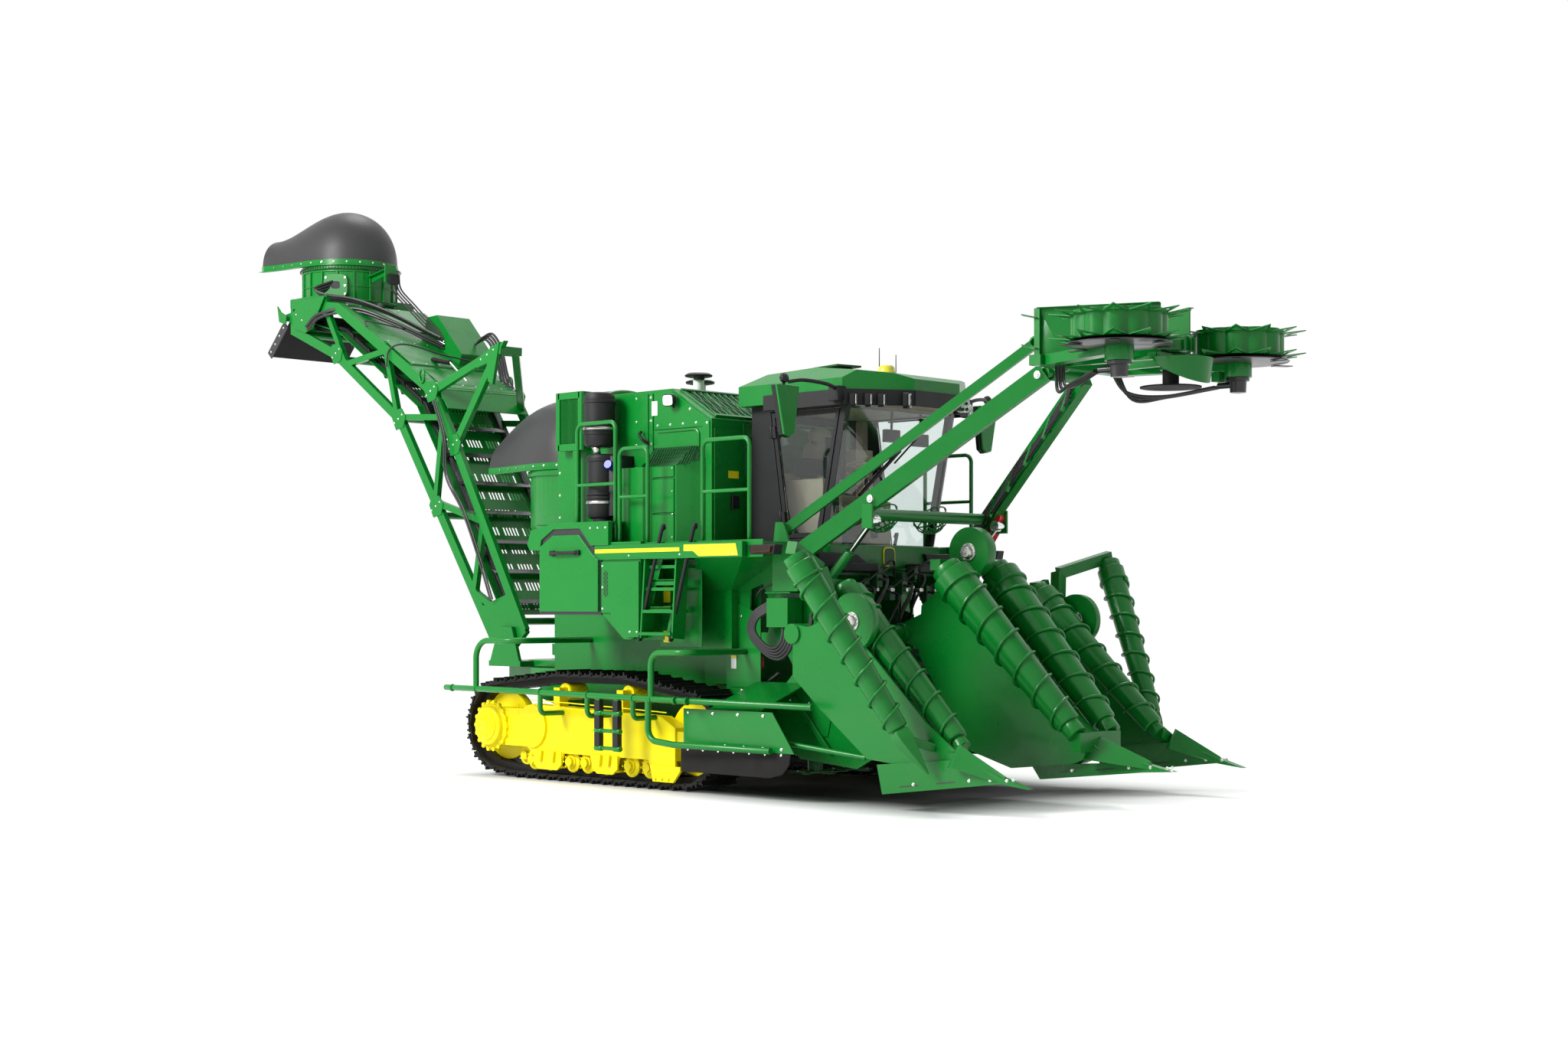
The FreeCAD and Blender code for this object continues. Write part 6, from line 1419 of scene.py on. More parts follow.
hook = rounded([(-1.235, 3.45), (-1.29, 3.42), (-1.29, 3.36), (-1.235, 3.33)], 0.02, 4)
pull = tube(np.column_stack([ZERO + 1.55 + 0.9 * (3.45 - hook[:, 1]), hook[:, 0], hook[:, 1]]), 0.016, 10)
piece("housing_latches", latch + [pull], PLASTIC, bevel=0.003)
piece("blank_notes", [block((2.512, 2.514), (-0.99, -0.85), (2.97, 3.04))], STRIPE)
LABEL_X, LABEL_Y = (2.675, 2.745), (-1.114, -1.109)
labels = [block((1.68, 1.76), (-1.216, -1.214), (3.6, 3.74))]
labels += [block(LABEL_X, LABEL_Y, (z, z + 0.1)) for z in (1.315, 1.155)]
piece("blank_labels", labels, WHITE)
piece("blank_headers", [block(LABEL_X, LABEL_Y, (z, z + 0.022)) for z in (1.257, 1.417)], STRIPE)
lamp_body, lamp_bright = lamp(st(1.99, -1.26, 3.73), (0.35, -0.93, -0.1), 0.12, 0.12, [])[:2]
piece("side_lamp_body", [lamp_body, rod(st(1.99, -1.2, 3.66), st(1.99, -1.26, 3.7), 0.012)], PLASTIC)
piece("side_lamp_face", [lamp_bright], WHITE)

# %% Canisters, screen and filler
CLEAN_LOW, CLEAN_HIGH = (np.array(c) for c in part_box("air_intakes"))
AIR_X, AIR_Y, AIR_R = CLEAN_HIGH[0] - ZERO - 0.24, CLEAN_LOW[1] + 0.16, 0.16


def canister(x, y, z0, z1, r, rings):
    """A moulded canister: a turned wall with raised bands and rounded ends."""
    long = z1 - z0
    profile = [(0, r * 0.55), (0.0, r - 0.05), (0.012, r - 0.018), (0.04, r - 0.006)]
    for share in rings:
        a = long * share
        profile += [(a, r - 0.006), (a + 0.004, r + 0.004), (a + 0.03, r + 0.004), (a + 0.034, r - 0.006)]
    profile += [(long - 0.04, r - 0.006), (long - 0.012, r - 0.018), (long, r - 0.05), (long, r * 0.55)]
    return turned(st(x, y, z0), UP, profile, 48)


cans = [canister(AIR_X, AIR_Y, 2.6, 3.24, AIR_R, (0.3, 0.36, 0.88)),
        canister(AIR_X - 0.05, AIR_Y, 3.31, 3.85, AIR_R, (0.22, 0.27, 0.8)),
        block((AIR_X, AIR_X + 0.24), (AIR_Y, -HOUSE_Y), (DECK_TOP, 3.22)),
        turned(st(AIR_X + 0.13, -1.33, 2.62), UP, [(0, 0.1), (0.01, 0.12), (0.56, 0.12), (0.6, 0.1)], 36),
        turned(st(AIR_X + 0.02, AIR_Y - 0.02, DECK_TOP), UP, [(0, 0.1), (0.27, 0.1)], 24)]
stem_x, stem_y = 0.79, 0.3
cap = [(0, 0.1), (0.01, 0.15), (0.03, 0.155), (0.045, 0.12), (0.05, 0.04)]
cans.append(turned(st(stem_x, stem_y, 4.08), UP, cap, 40))
mush = [(0.0, 0.1), (0.008, 0.135), (0.022, 0.14), (0.04, 0.11), (0.045, 0.03)]
cans += [turned(st(1.7, -0.6, 4.02), UP, mush, 40),
         turned(st(1.75, -0.64, 3.99), UP, [(0, 0.05), (0.05, 0.07)], 20)]
piece("air_canisters", cans, PLASTIC, bevel=0.003, stands_for=("air_intakes",))
piece("filler_stems", [turned(st(1.7, -0.6, 3.84), UP, [(0, 0.055), (0.19, 0.055)], 24),
                       turned(st(stem_x, stem_y, 3.84), UP, [(0, 0.06), (0.25, 0.06)], 24)], WHITE)
elbow = smooth([st(AIR_X - 0.02, AIR_Y - 0.05, 3.235), st(AIR_X, AIR_Y - 0.08, 3.28),
                st(AIR_X - 0.05, AIR_Y - 0.06, 3.315)], 6)
band = [(0, AIR_R + 0.004), (0.012, AIR_R + 0.007), (0.024, AIR_R + 0.004)]
clamps = [tube(elbow, 0.035, 14)]
clamps += [turned(st(AIR_X - s, AIR_Y, z), UP, band, 48) for s, z in ((0.0, 2.75), (0.05, 3.48))]
piece("canister_clamps", clamps, STEEL)
SCREEN_X = (0.4, 0.74)
frame_bars = [block(SCREEN_X, (-1.33, -1.27), (z - 0.035, z + 0.035)) for z in (3.345, 3.865)]
frame_bars += [block((x - 0.03, x + 0.03), (-1.33, -1.27), (3.31, 3.9)) for x in SCREEN_X]
frame_bars += [block((0.62, 0.68), (-1.32, -1.26), (DECK_TOP, 3.32)),
               block(SCREEN_X, (-1.28, -1.2), (3.33, 3.37)), block(SCREEN_X, (-1.28, -1.2), (3.83, 3.87)),
               block((0.74, 0.78), (-1.32, -1.2), (3.31, 3.9))]
piece("screen_frame", frame_bars, GREEN, bevel=0.006)
piece("screen_panel", [block(SCREEN_X, (-1.31, -1.295), (3.34, 3.87))], DARK_GREEN)
wires = [bar(st(0.41 + d, -1.313, 3.35), st(0.41 + d, -1.313, 3.86), 0.004, 0.004, LEFT)
         for d in np.linspace(0.01, 0.31, 24)]
piece("screen_wires", wires, GREEN)
piece("coolant_cap",
      [turned(st(1.33, -1.44, 3.12), (0.3, -0.9, 0.2), [(0, 0.035), (0.03, 0.045), (0.06, 0.04)], 20)],
      finish("blue_cap", (0.01, 0.03, 0.55, 1.0), 0.35))

# %% [markdown]
# The side box carries a door with rounded-off upper corners, a pull handle and a louvre. Round the door a
# black plate is painted shade in the gap. Above the box the deck's edge takes the yellow stripe, which widens
# forward into a blank plate.

# %% Side box and deck edge
BOX_Y = 1.7
lid = [(0.4, 2.36), (0.46, 2.5), (0.8, 2.56), (1.62, 2.56), (1.62, 2.33), (1.42, 2.33), (1.36, 2.33),
       (1.2, 2.5), (0.8, 2.5), (0.62, 2.4), (0.6, 2.3), (0.44, 2.3)]
lid_top = [block((0.46, 1.62), (-BOX_Y, -1.45), (2.545, 2.565))]
# A black plate behind the door, larger than it: painted shade in the gap round the door.
shade = [side_plate([(0.58, 1.66), (1.5, 1.66), (1.5, 2.2), (1.23, 2.5), (0.78, 2.5), (0.58, 2.38)],
                    -BOX_Y - 0.012, -BOX_Y + 0.2)]
door = [side_plate([(0.6, 1.69), (1.475, 1.69), (1.475, 2.19), (1.4, 2.24), (1.19, 2.44), (0.8, 2.44),
                    (0.6, 2.33)], -BOX_Y - 0.035, -BOX_Y - 0.005)]
louvre_plate = [side_plate([(1.51, 1.68), (1.64, 1.68), (1.88, 1.45), (2.045, 1.45), (2.045, 2.17),
                            (1.51, 2.17)], -BOX_Y - 0.022, -BOX_Y)]
piece("side_box_gap_shade", both(shade), BLACK)
piece("side_box_door", both(door + louvre_plate + [side_plate(lid, -BOX_Y - 0.03, -BOX_Y + 0.03)] + lid_top),
      GREEN, bevel=0.006)
pull = rounded([(0.8, 0.0), (0.84, -0.045), (1.16, -0.045), (1.2, 0.0)], 0.03, 5)
pull = np.column_stack([pull[:, 0] + ZERO, -BOX_Y - 0.035 + pull[:, 1], np.full(len(pull), 2.265)])
feet = [block((x, x + 0.06), (-BOX_Y - 0.06, -BOX_Y - 0.03), (2.24, 2.29)) for x in (0.78, 1.16)]
piece("side_box_handle", both([tube(pull, 0.016, 12), *feet]), PLASTIC)
# Black diamonds on the louvre plate stand for its holes: painted shade where the openings are.
louvre_hole_shades = [side_plate([(x, z), (x + 0.01, z + 0.016), (x, z + 0.032), (x - 0.01, z + 0.016)], -BOX_Y - 0.025,
                    -BOX_Y - 0.018) for k, z in enumerate(np.arange(1.83, 2.07, 0.019))
         for x in ((1.555, 1.6) if k % 2 else (1.5775,))]
piece("side_box_louvre_shade", both(louvre_hole_shades), BLACK)
rows = wall_bolts([(1.53, 1.72), (1.53, 2.13)], BOX_Y + 0.022, 0.2, 0.009)
rows += wall_bolts([(1.92, 1.5), (2.02, 1.5)], BOX_Y + 0.022, 0.09, 0.009)
rows += wall_bolts([(1.36, 2.5), (1.58, 2.5)], BOX_Y + 0.03, 0.1, 0.009)
edge = [side_plate(rect(1.4, 3.42, 2.19, DECK_TOP), -1.715, -1.66)]
edge.append(side_plate(rect(1.42, 2.06, 2.19, 2.205), -1.722, -1.71))
piece("deck_edge", both(edge), GREEN, bevel=0.006)
stripe = [side_plate(rect(1.415, 2.6, 2.255, 2.292), -1.718, -1.714)]
stripe.append(side_plate([(2.66, 2.255), (2.78, 2.255), (2.86, 2.205), (3.37, 2.205), (3.34, 2.315),
                          (2.66, 2.315)], -1.719, -1.714))
piece("yellow_stripe", both(stripe), STRIPE)
rows += wall_bolts([(1.9, 2.225), (3.3, 2.225)], 1.715, 0.7, 0.008)
piece("side_box_bolts", rows, BOLT)
marker = [side_plate([(3.46, 2.21), (3.76, 2.21), (3.78, 2.3), (3.44, 2.3)], -1.66, -1.55)]
piece("marker_case", both(marker), PLASTIC, bevel=0.01)
piece("marker_lens",
      both([side_plate([(3.49, 2.225), (3.73, 2.225), (3.75, 2.285), (3.47, 2.285)], -1.685, -1.655)]), AMBER,
      bevel=0.01)

# %% [markdown]
# The ladder stands lowered beside the box, fixed in place: two black inclined arms with green treads between
# them.

# %% Ladder
LADDER_Y, TREAD_LONG = -1.6, 0.36
treads = []
for x, z in ((2.22, 2.23), (2.14, 1.985), (2.06, 1.73), (1.97, 1.475)):
    treads.append(bar(st(x, LADDER_Y, z), st(x + TREAD_LONG, LADDER_Y, z), 0.12, 0.022))
    treads.append(bar(st(x, -1.655, z - 0.02), st(x + TREAD_LONG, -1.655, z - 0.02), 0.01, 0.05))
treads += [bar(st(x0, LADDER_Y, 2.26), st(x1, LADDER_Y, 1.45), 0.012, 0.09, AHEAD)
           for x0, x1 in ((2.23, 1.96), (2.58, 2.34))]
arms = [tube(smooth([st(x, -1.655, 2.47), st(x - 0.015, -1.685, 2.43), st(x - 0.3, -1.685, 1.5),
                     st(x - 0.31, -1.655, 1.46)], 6), 0.019, 12) for x in (2.33, 2.76)]
piece("ladder_treads", both(treads), GREEN, bevel=0.003)
piece("ladder_arms", both(arms), PLASTIC)
notes = [block((2.1, 2.19), (-1.45, -1.444), (z, z + h))
         for z, h in ((1.78, 0.16), (1.68, 0.07), (1.4, 0.11))]
piece("blank_yellow_notes", notes, STRIPE)
piece("ladder_back", both([side_plate(rect(2.05, 2.62, 1.36, 2.19), -1.446, -1.436)]), GREEN,
      bevel=0.004)

# %% [markdown]
# Two bent straps hold the primary hood down.

# %% Hood straps
def strap(x):
    """A flat bar over the hood, following an arch from one rim to the other."""
    a = np.linspace(0.04 * np.pi, 0.96 * np.pi, 25)
    y, z = 0.74 * np.cos(a), 3.1 + 0.93 * np.sin(a) ** 0.62
    path = np.column_stack([np.full(25, ZERO + x), y, z])
    return tube(path, 0.028, 8)


piece("hood_straps", [strap(-0.2), strap(-0.02)], GREEN)

# %% [markdown]
# ## The elevator's covers, casing and hoses
# Over the truss lie lapped cover sheets. At the head a ribbed casing carries the second hood's toothed
# ring, and black hoses run from there over the covers to the motor box.

# %% Covers, gussets and eyes
KNEE, RUN = np.array([-2.64, 4.18]), np.array([-1.84, 1.12])
RISE = np.array([0.52, 0.854])
SIDE_Y = 0.63


def above(t, up):
    """A point over the truss's upper chord: a share of the way from the knee to the head, and a height."""
    return KNEE + RUN * t + RISE * up


covers = []
for t0, t1, up in ((-0.02, 0.27, 0.06), (0.25, 0.53, 0.078), (0.51, 1.0, 0.062)):
    covers.append(side_plate([above(t0, up), above(t1, up), above(t1, up + 0.012),
                              above(t0 - 0.004, up + 0.012), above(t0 - 0.012, up - 0.02),
                              above(t0 - 0.006, up - 0.02)], -0.6, 0.6))
covers.append(side_plate([(-2.6, 4.225), (-2.4, 3.97), (-2.385, 3.98), (-2.59, 4.245)], -0.58, 0.58))
covers.append(side_plate([above(0.03, 0.07), above(0.22, 0.07), above(0.2, 0.085), above(0.05, 0.085)], -0.5,
                         0.5))
NODES_AT = [(-3.25, 3.9), (-4.5, 4.76), (-2.54, 2.87), (-2.64, 4.18), (-2.22, 3.55)]
plate = np.array([(-0.13, 0.02), (-0.09, 0.12), (0.06, 0.13), (0.14, 0.03), (0.1, -0.1), (-0.05, -0.13)])
for x, z in NODES_AT:
    covers += both([side_plate(plate * 0.95 + [x, z], -SIDE_Y - 0.01, -SIDE_Y + 0.004)])
covers += both([side_plate([(-5.39, 5.31), (-5.2, 5.46), (-4.7, 5.47), (-4.97, 5.1), (-5.12, 5.06),
                            (-5.36, 5.14)], -0.665, -0.645)])
covers += [side_plate([(-1.4, 4.64), (-1.86, 4.46), (-1.8, 4.38), (-1.62, 4.42), (-1.6, 4.22), (-1.52, 4.18)],
                      -SIDE_Y - 0.012, -SIDE_Y + 0.03)]
covers += both([side_plate([(-5.5, 5.3), (-5.52, 5.2), (-5.66, 5.24), (-5.7, 5.44), (-5.62, 5.36)], -0.675,
                           -0.66)])
turn = circle(24)
eye = np.column_stack([ZERO - 2.8 + 0.042 * np.cos(turn), np.full(24, -0.64), 4.37 + 0.075 * np.sin(turn)])
piece("elevator_covers", covers + both([tube(eye, 0.016, 8, closed=True)]), GREEN, "elevator",
      bevel=0.003)
heads = []
for t in (0.02, 0.26, 0.52, 0.97):
    x, z = above(t, 0.088)
    rows = pts(*[(x, y, z) for y in np.linspace(-0.56, 0.56, 7)])
    heads.append(bolts(rows, (RISE[0], 0, RISE[1]), 0.01))
for x, z in NODES_AT:
    heads += wall_bolts([(x - 0.07, z - 0.04), (x + 0.07, z + 0.05)], SIDE_Y + 0.01, 0.08, 0.01)
heads += wall_bolts([(-5.3, 5.3), (-5.05, 5.14)], 0.665, 0.1, 0.01)
heads += wall_bolts([(-1.72, 4.47), (-1.5, 4.56)], SIDE_Y + 0.012, 0.1, 0.01)[:1]
piece("elevator_bolts", heads, BOLT, "elevator")

# %% Casing, ring and bracket
CASE = (-5.13, 0.0)
CASE_R = 0.56


def round_case(angle, r, z):
    """A point round the casing's upright axis."""
    return st(CASE[0] + r * math.cos(angle), CASE[1] + r * math.sin(angle), z)


def ring_band(z, out, tall):
    """A low band round the casing."""
    profile = [(0, CASE_R - 0.02), (0.0, CASE_R + out), (tall, CASE_R + out), (tall, CASE_R - 0.02)]
    return turned(st(*CASE, z), UP, profile, 72)


ribs = [ring_band(5.45, 0.028, 0.012), ring_band(5.62, 0.012, 0.01), ring_band(5.8, 0.016, 0.014)]
for degrees in range(-170, 190, 20):
    a = math.radians(degrees)
    low, high = (round_case(a, CASE_R + 0.008, z) for z in (5.45, 5.81))
    ribs.append(bar(low, high, 0.016, 0.024, (math.cos(a), math.sin(a), 0)))
look = math.radians(-52)
face = np.array([math.cos(look), math.sin(look), 0.0])
ribs += [local(rounded_box(0.3, 0.29, 0.035), round_case(look, CASE_R - 0.01, 5.62), face)]
arm_a = math.radians(-8)
ribs += [bar(round_case(arm_a, r0, z0), round_case(arm_a, 1.05, z1), w, h, up)
         for r0, z0, z1, w, h, up in ((0.54, 5.74, 5.79, 0.1, 0.012, UP), (0.54, 5.7, 5.77, 0.012, 0.07, UP),
                                      (1.05, 5.62, 5.83, 0.16, 0.016, AHEAD))]
piece("casing_ribs", ribs, GREEN, "elevator", bevel=0.002)
RING_Z, RING_R = 5.835, CASE_R + 0.03
root, crest = RING_R - 0.01, RING_R + 0.014
tooth = prism([(root, -0.012), (crest, -0.006), (crest, 0.006), (root, 0.012)], 0.0, 0.018, "z")
ring = [(0.0, CASE_R - 0.01), (0.0, CASE_R + 0.024), (0.018, CASE_R + 0.024), (0.018, CASE_R - 0.01)]
piece("hood_ring_gear",
      [repeat(tooth, turns(st(*CASE, RING_Z), 96)), turned(st(*CASE, RING_Z), UP, ring, 96)], BLACK,
      "elevator")
dark = [local(rounded_box(0.11, 0.09, 0.004), round_case(look, CASE_R + 0.024, 5.63), face)]
dark += [block((-4.1, -4.04), (-0.18, -0.06), (5.6, 5.72))]
dark.append(rod(st(-3.18, -0.2, 4.62), st(-2.86, -0.2, 4.56), 0.03, 20))
piece("elevator_dark_parts", dark, PLASTIC, "elevator")
strut = rod(st(-2.86, -0.2, 4.56), st(-2.55, -0.2, 4.32), 0.012, 12)
piece("cover_strut_rod", [strut], ROD, "elevator")
side = np.cross(face, UP)
spots = [round_case(look, CASE_R + 0.026, 5.62) + side * s + [0, 0, h] for s in (-0.12, 0.12)
         for h in (-0.1, 0.0, 0.1)]
piece("casing_bolts", [bolts(np.array(spots), face, 0.012)], BOLT, "elevator")

# %% Elevator hoses
def hose(points, r=0.014, steps=8, sides=9):
    """One hose: a smooth curve through stations, as a round tube."""
    return tube(smooth([st(*p) for p in points], steps), r, sides)


def bundle(points, count, step, r=0.014):
    """Hoses side by side: each follows the same line, moved over by a step."""
    return [hose(np.array(points, float) + np.array(step, float) * k, r) for k in range(count)]


case_run = [(-4.8, -0.42, 5.63), (-4.88, -0.62, 5.53), (-4.74, -0.56, 5.45), (-4.36, -0.4, 5.37),
            (-3.95, -0.2, 5.2), (-3.62, 0.02, 5.0), (-3.42, 0.15, 4.88)]
truss_run = [(-5.02, -0.69, 5.09), (-4.75, -0.68, 5.22), (-4.3, -0.5, 5.26), (-3.92, -0.3, 5.12),
             (-3.6, -0.05, 4.93), (-3.42, 0.15, 4.8)]
hood_run = [(-4.12, -0.1, 5.68), (-4.16, -0.04, 5.52), (-4.02, 0.04, 5.34), (-3.7, 0.1, 5.06),
            (-3.44, 0.15, 4.92)]
loop_run = [(-3.22, 0.45, 4.86), (-3.05, 0.48, 4.9), (-2.93, 0.52, 4.72), (-2.86, 0.56, 4.4),
            (-2.78, 0.6, 4.2)]
lower_run = [(-2.55, -0.67, 4.06), (-2.34, -0.69, 3.62), (-2.28, -0.7, 3.2), (-1.98, -0.7, 2.8),
             (-1.72, -0.69, 2.3), (-1.5, -0.68, 1.8)]
seam_run = [(-3.9, -0.62, 5.0), (-3.92, -0.61, 5.1), (-3.8, -0.4, 5.06), (-3.7, 0.0, 5.0), (-3.66, 0.3, 4.98)]
cable_run = [(-3.45, -0.66, 4.52), (-3.42, -0.64, 4.72), (-3.28, -0.5, 4.78), (-3.12, -0.1, 4.68),
             (-3.02, 0.3, 4.62)]
elevator_hoses = []
for line, count, step, r in ((case_run, 3, (0.0, -0.03, 0.022), 0.016),
                             (truss_run, 2, (0.0, -0.02, 0.035), 0.018),
                             (hood_run, 4, (0.03, 0.012, 0.012), 0.01),
                             (loop_run, 4, (0.04, 0.0, 0.02), 0.015),
                             (lower_run, 2, (0.03, 0.0, 0.02), 0.011)):
    elevator_hoses += bundle(line, count, step, r)
elevator_hoses += [hose(seam_run, 0.009), hose(cable_run, 0.01)]
piece("elevator_hoses", elevator_hoses, HOSE, "elevator")
ends = [rod(st(-3.52, 0.1 + 0.03 * k, 4.94 - 0.03 * k), st(-3.42, 0.15 + 0.01 * k, 4.88 - 0.03 * k), 0.017,
            12) for k in range(4)]
piece("hose_ends", ends, STEEL, "elevator")

# %% Flap edge
p, q = np.array([-5.64, 5.22]), np.array([-6.0, 4.86])
strip = [bar(st(p[0], -0.585, p[1]), st(q[0], -0.585, q[1]), 0.014, 0.11, (-0.7, 0, 0.7))]
piece("flap_edge", strip, HOOD, "bin_flap", bevel=0.002)
marks = np.array([st(*(p + (q - p) * s)[:1], -0.593, (p + (q - p) * s)[1]) for s in (0.12, 0.37, 0.63, 0.88)])
piece("flap_bolts", [bolts(marks, RIGHT, 0.011)], BOLT, "bin_flap")

# %% [markdown]
# ## The front: frame, dividers and topper fittings
# The front frame's side plate shows hoses, a tow hook and plain labels in its cut-outs. The outer scrolls
# end in faceted toes, and long hoses loop beside the divider to the scroll motors.

# %% Front frame
junction = [block((3.34, 3.61), (-1.32, -1.12), (1.55, 1.82)),
            block((3.3, 3.62), (-1.3, -1.1), (1.86, 1.875))]
junction += [side_plate([(2.95, 0.92), (3.15, 0.62), (3.55, 0.34), (4.25, 0.28), (4.48, 0.4), (4.15, 0.6),
                         (3.95, 0.9)], -1.09, -1.07)]
junction += [bar(st(3.1, -1.12, 0.95), st(3.35, -1.12, 0.5), 0.03, 0.05),
             bar(st(3.5, -1.12, 0.9), st(3.95, -1.12, 0.42), 0.03, 0.05)]
piece("front_junction_box", both(junction), GREEN, bevel=0.006)
low_pipe = rod(st(3.57, -1.68, 0.56), st(4.74, -1.52, 0.43), 0.024, 14)
piece("low_side_pipe", both([low_pipe]), GREEN)
wrap = np.array([(3.32, -1.22, 1.8), (3.13, -1.27, 1.68), (3.08, -1.28, 1.5), (3.28, -1.28, 1.31),
                 (3.48, -1.28, 1.26), (3.61, -1.27, 1.38), (3.6, -1.22, 1.6), (3.52, -1.17, 1.8)])
middle = wrap.mean(0)
frame_hoses = [hose(middle + (wrap - middle) * (1 - 0.09 * k) + [0, -0.012 * k, 0], 0.017) for k in range(5)]
frame_hoses += [hose([(3.05, -1.13, 1.92), (3.1, -1.2, 1.84), (3.18, -1.22, 1.9), (3.32, -1.18, 1.96)], 0.01),
                hose([(2.86, -1.04, 1.3), (2.9, -1.02, 1.1), (3.05, -1.02, 1.04), (3.2, -1.0, 1.12)], 0.018),
                hose([(3.66, -1.12, 1.55), (3.8, -1.14, 1.38), (3.95, -1.14, 1.52), (4.05, -1.12, 1.7)],
                     0.016)]
piece("frame_hoses", both(frame_hoses), HOSE)
hook = rounded([(2.88, 1.22), (2.99, 1.27), (3.0, 1.18), (2.93, 1.1), (2.885, 1.16)], 0.02, 4)
hook = np.column_stack([ZERO + hook[:, 0], np.full(len(hook), -1.02), hook[:, 1]])
piece("tow_hooks", both([tube(hook, 0.02, 10, closed=True)]), RED)
edges = wall_bolts([(2.8, 0.95), (2.8, 2.0)], 1.1, 0.3) + wall_bolts([(3.2, 0.9), (3.9, 0.84)], 1.1, 0.2)
edges += wall_bolts([(3.6, 1.95), (4.0, 1.65)], 1.1, 0.16)
piece("front_bolts", edges, BOLT)
valves, pipes = [], []
for k in range(9):
    x, y, z = 3.66 + 0.05 * (k % 3), -0.6 + 0.12 * k, 1.8 + 0.06 * (k % 4)
    valves.append(block((x, x + 0.09), (y, y + 0.08), (z, z + 0.14)))
    pipes += [hose([(x + 0.09, y + 0.04, z + 0.08), (x + 0.2, y + 0.02, z + 0.02 * (k % 3)),
                    (x + 0.16, y - 0.1, z - 0.22), (x + 0.02, y - 0.06 + 0.05 * (k % 2), z - 0.42)], 0.013)]
    pipes += [hose([(x + 0.08, y + 0.05, z + 0.12), (x + 0.14, y + 0.16, z + 0.2),
                    (x + 0.04, y + 0.3, z + 0.12)], 0.011)]
piece("valve_blocks", valves, DARK_GREEN, bevel=0.004)
piece("valve_pipes", pipes, HOSE)
fittings = [rod(st(x, y, 1.9), st(x + 0.08, y, 1.9), 0.018, 10)
            for x, y in [(3.75 + 0.05 * (k % 3), -0.52 + 0.14 * k) for k in range(9)]]
piece("valve_fittings", fittings, STEEL)
fairing = [prism([(-1.02, 2.245), (-0.48, 2.23), (-0.28, 2.12), (-0.36, 2.09), (-0.98, 2.11)], ZERO + 3.62,
                 ZERO + 3.72, "x"),
           prism([(0.52, 2.25), (1.02, 2.25), (0.98, 2.1), (0.6, 2.08)], ZERO + 3.62, ZERO + 3.7, "x")]
piece("cab_fairings", fairing, PLASTIC, bevel=0.012)

# %% Divider toes and hoses
def toe(kind, side, long):
    """A faceted toe that carries on the line of a scroll from its foot to the divider's point."""
    middle, axis = scroll_axis(f"{kind}_{side}")
    half, r = SCROLLS[kind][0] / 2, SCROLLS[kind][2]
    foot = middle - axis * (half + 0.012)
    return turned(foot, -axis + [0.0, 0.0, 0.1],
                  [(0.0, r * 0.92), (0.03, r * 1.08), (0.1, r * 1.08), (long, 0.008)], 5)


for side in ("right", "left"):
    piece(f"scroll_toe_{side}", [toe("outer", side, 0.44)], GREEN, "divider_" + side,
          bevel=0.003)
drop = [(4.1, -1.52, 1.68), (4.08, -1.56, 1.3), (4.15, -1.58, 1.04), (4.3, -1.58, 0.96), (4.42, -1.56, 1.06),
        (4.4, -1.54, 1.26), (4.3, -1.5, 1.44), (4.26, -1.47, 1.58)]
middle = np.array(drop).mean(0)
drops = [hose(middle + (np.array(drop) - middle) * (1 - 0.1 * k) + [0, -0.01 * k, 0], 0.018)
         for k in range(2)]
piece("divider_hoses_right", drops, HOSE, "divider_right")
piece("divider_hoses_left", [mirrored(d) for d in drops], HOSE, "divider_left")

# %% Topper arm fittings
def on_arm(t, y_side, off=(0, 0, 0)):
    """A point on a topper arm's line, a share of the way out."""
    return np.array([3.57 + 2.18 * t, y_side * (1.2 - 0.9 * t), 2.18 + 1.61 * t]) + off


lines = []
for k in range(5):
    shift = np.array([0.0, -0.05 - 0.018 * k, 0.05 - 0.035 * k])
    sway = [0.0, 0.02, -0.015, 0.02, -0.01, 0.0, 0.01]
    lines.append(hose([on_arm(t, 1, shift + [0, s * (k - 2) * 0.4, s])
                       for t, s in zip(np.linspace(0.1, 0.94, 7), sway)], 0.012))
piece("arm_hoses", lines, HOSE, "topper_arms")
clamps = [bar(st(*on_arm(t, 1, (0, -0.035, 0.07))), st(*on_arm(t, 1, (0, -0.15, -0.13))), 0.03, 0.022, AHEAD)
          for t in np.linspace(0.2, 0.9, 6)]
piece("arm_hose_clamps", clamps, GREEN, "topper_arms")
lock = [bar(st(*on_arm(0.3, 1, (0.02, 0.03, -0.12))), st(*on_arm(0.17, 1, (0.02, 0.06, -0.14))), 0.09, 0.1),
        turned(st(*on_arm(0.31, 1, (0.02, -0.02, -0.08))), LEFT, [(0, 0.05), (0.1, 0.05)], 16)]
piece("arm_lock", lock, RED, "topper_arms", bevel=0.006)
pins = []
for side in (-1, 1):
    for t in (0.015, 0.985, 0.33):
        pins.append(turned(st(*on_arm(t, side)), (0, side, 0),
                           [(0.02, 0.035), (0.062, 0.035), (0.064, 0.022), (0.074, 0.02)], 18))
piece("arm_pins", pins, BOLT, "topper_arms")
head_x = 5.98
loops = []
for side in (-1, 1):
    for k in range(3):
        loops.append(hose([(head_x, side * (0.34 + 0.05 * k), UNDER + 0.06),
                           (head_x + 0.1, side * (0.46 + 0.05 * k), UNDER - 0.16 - 0.03 * k),
                           (head_x + 0.36, side * (0.66 + 0.04 * k), UNDER - 0.2),
                           (DRUM_X - 0.22, side * (0.88 + 0.03 * k), UNDER - 0.13)], 0.015))
piece("head_hoses", loops, HOSE, "topper_head")
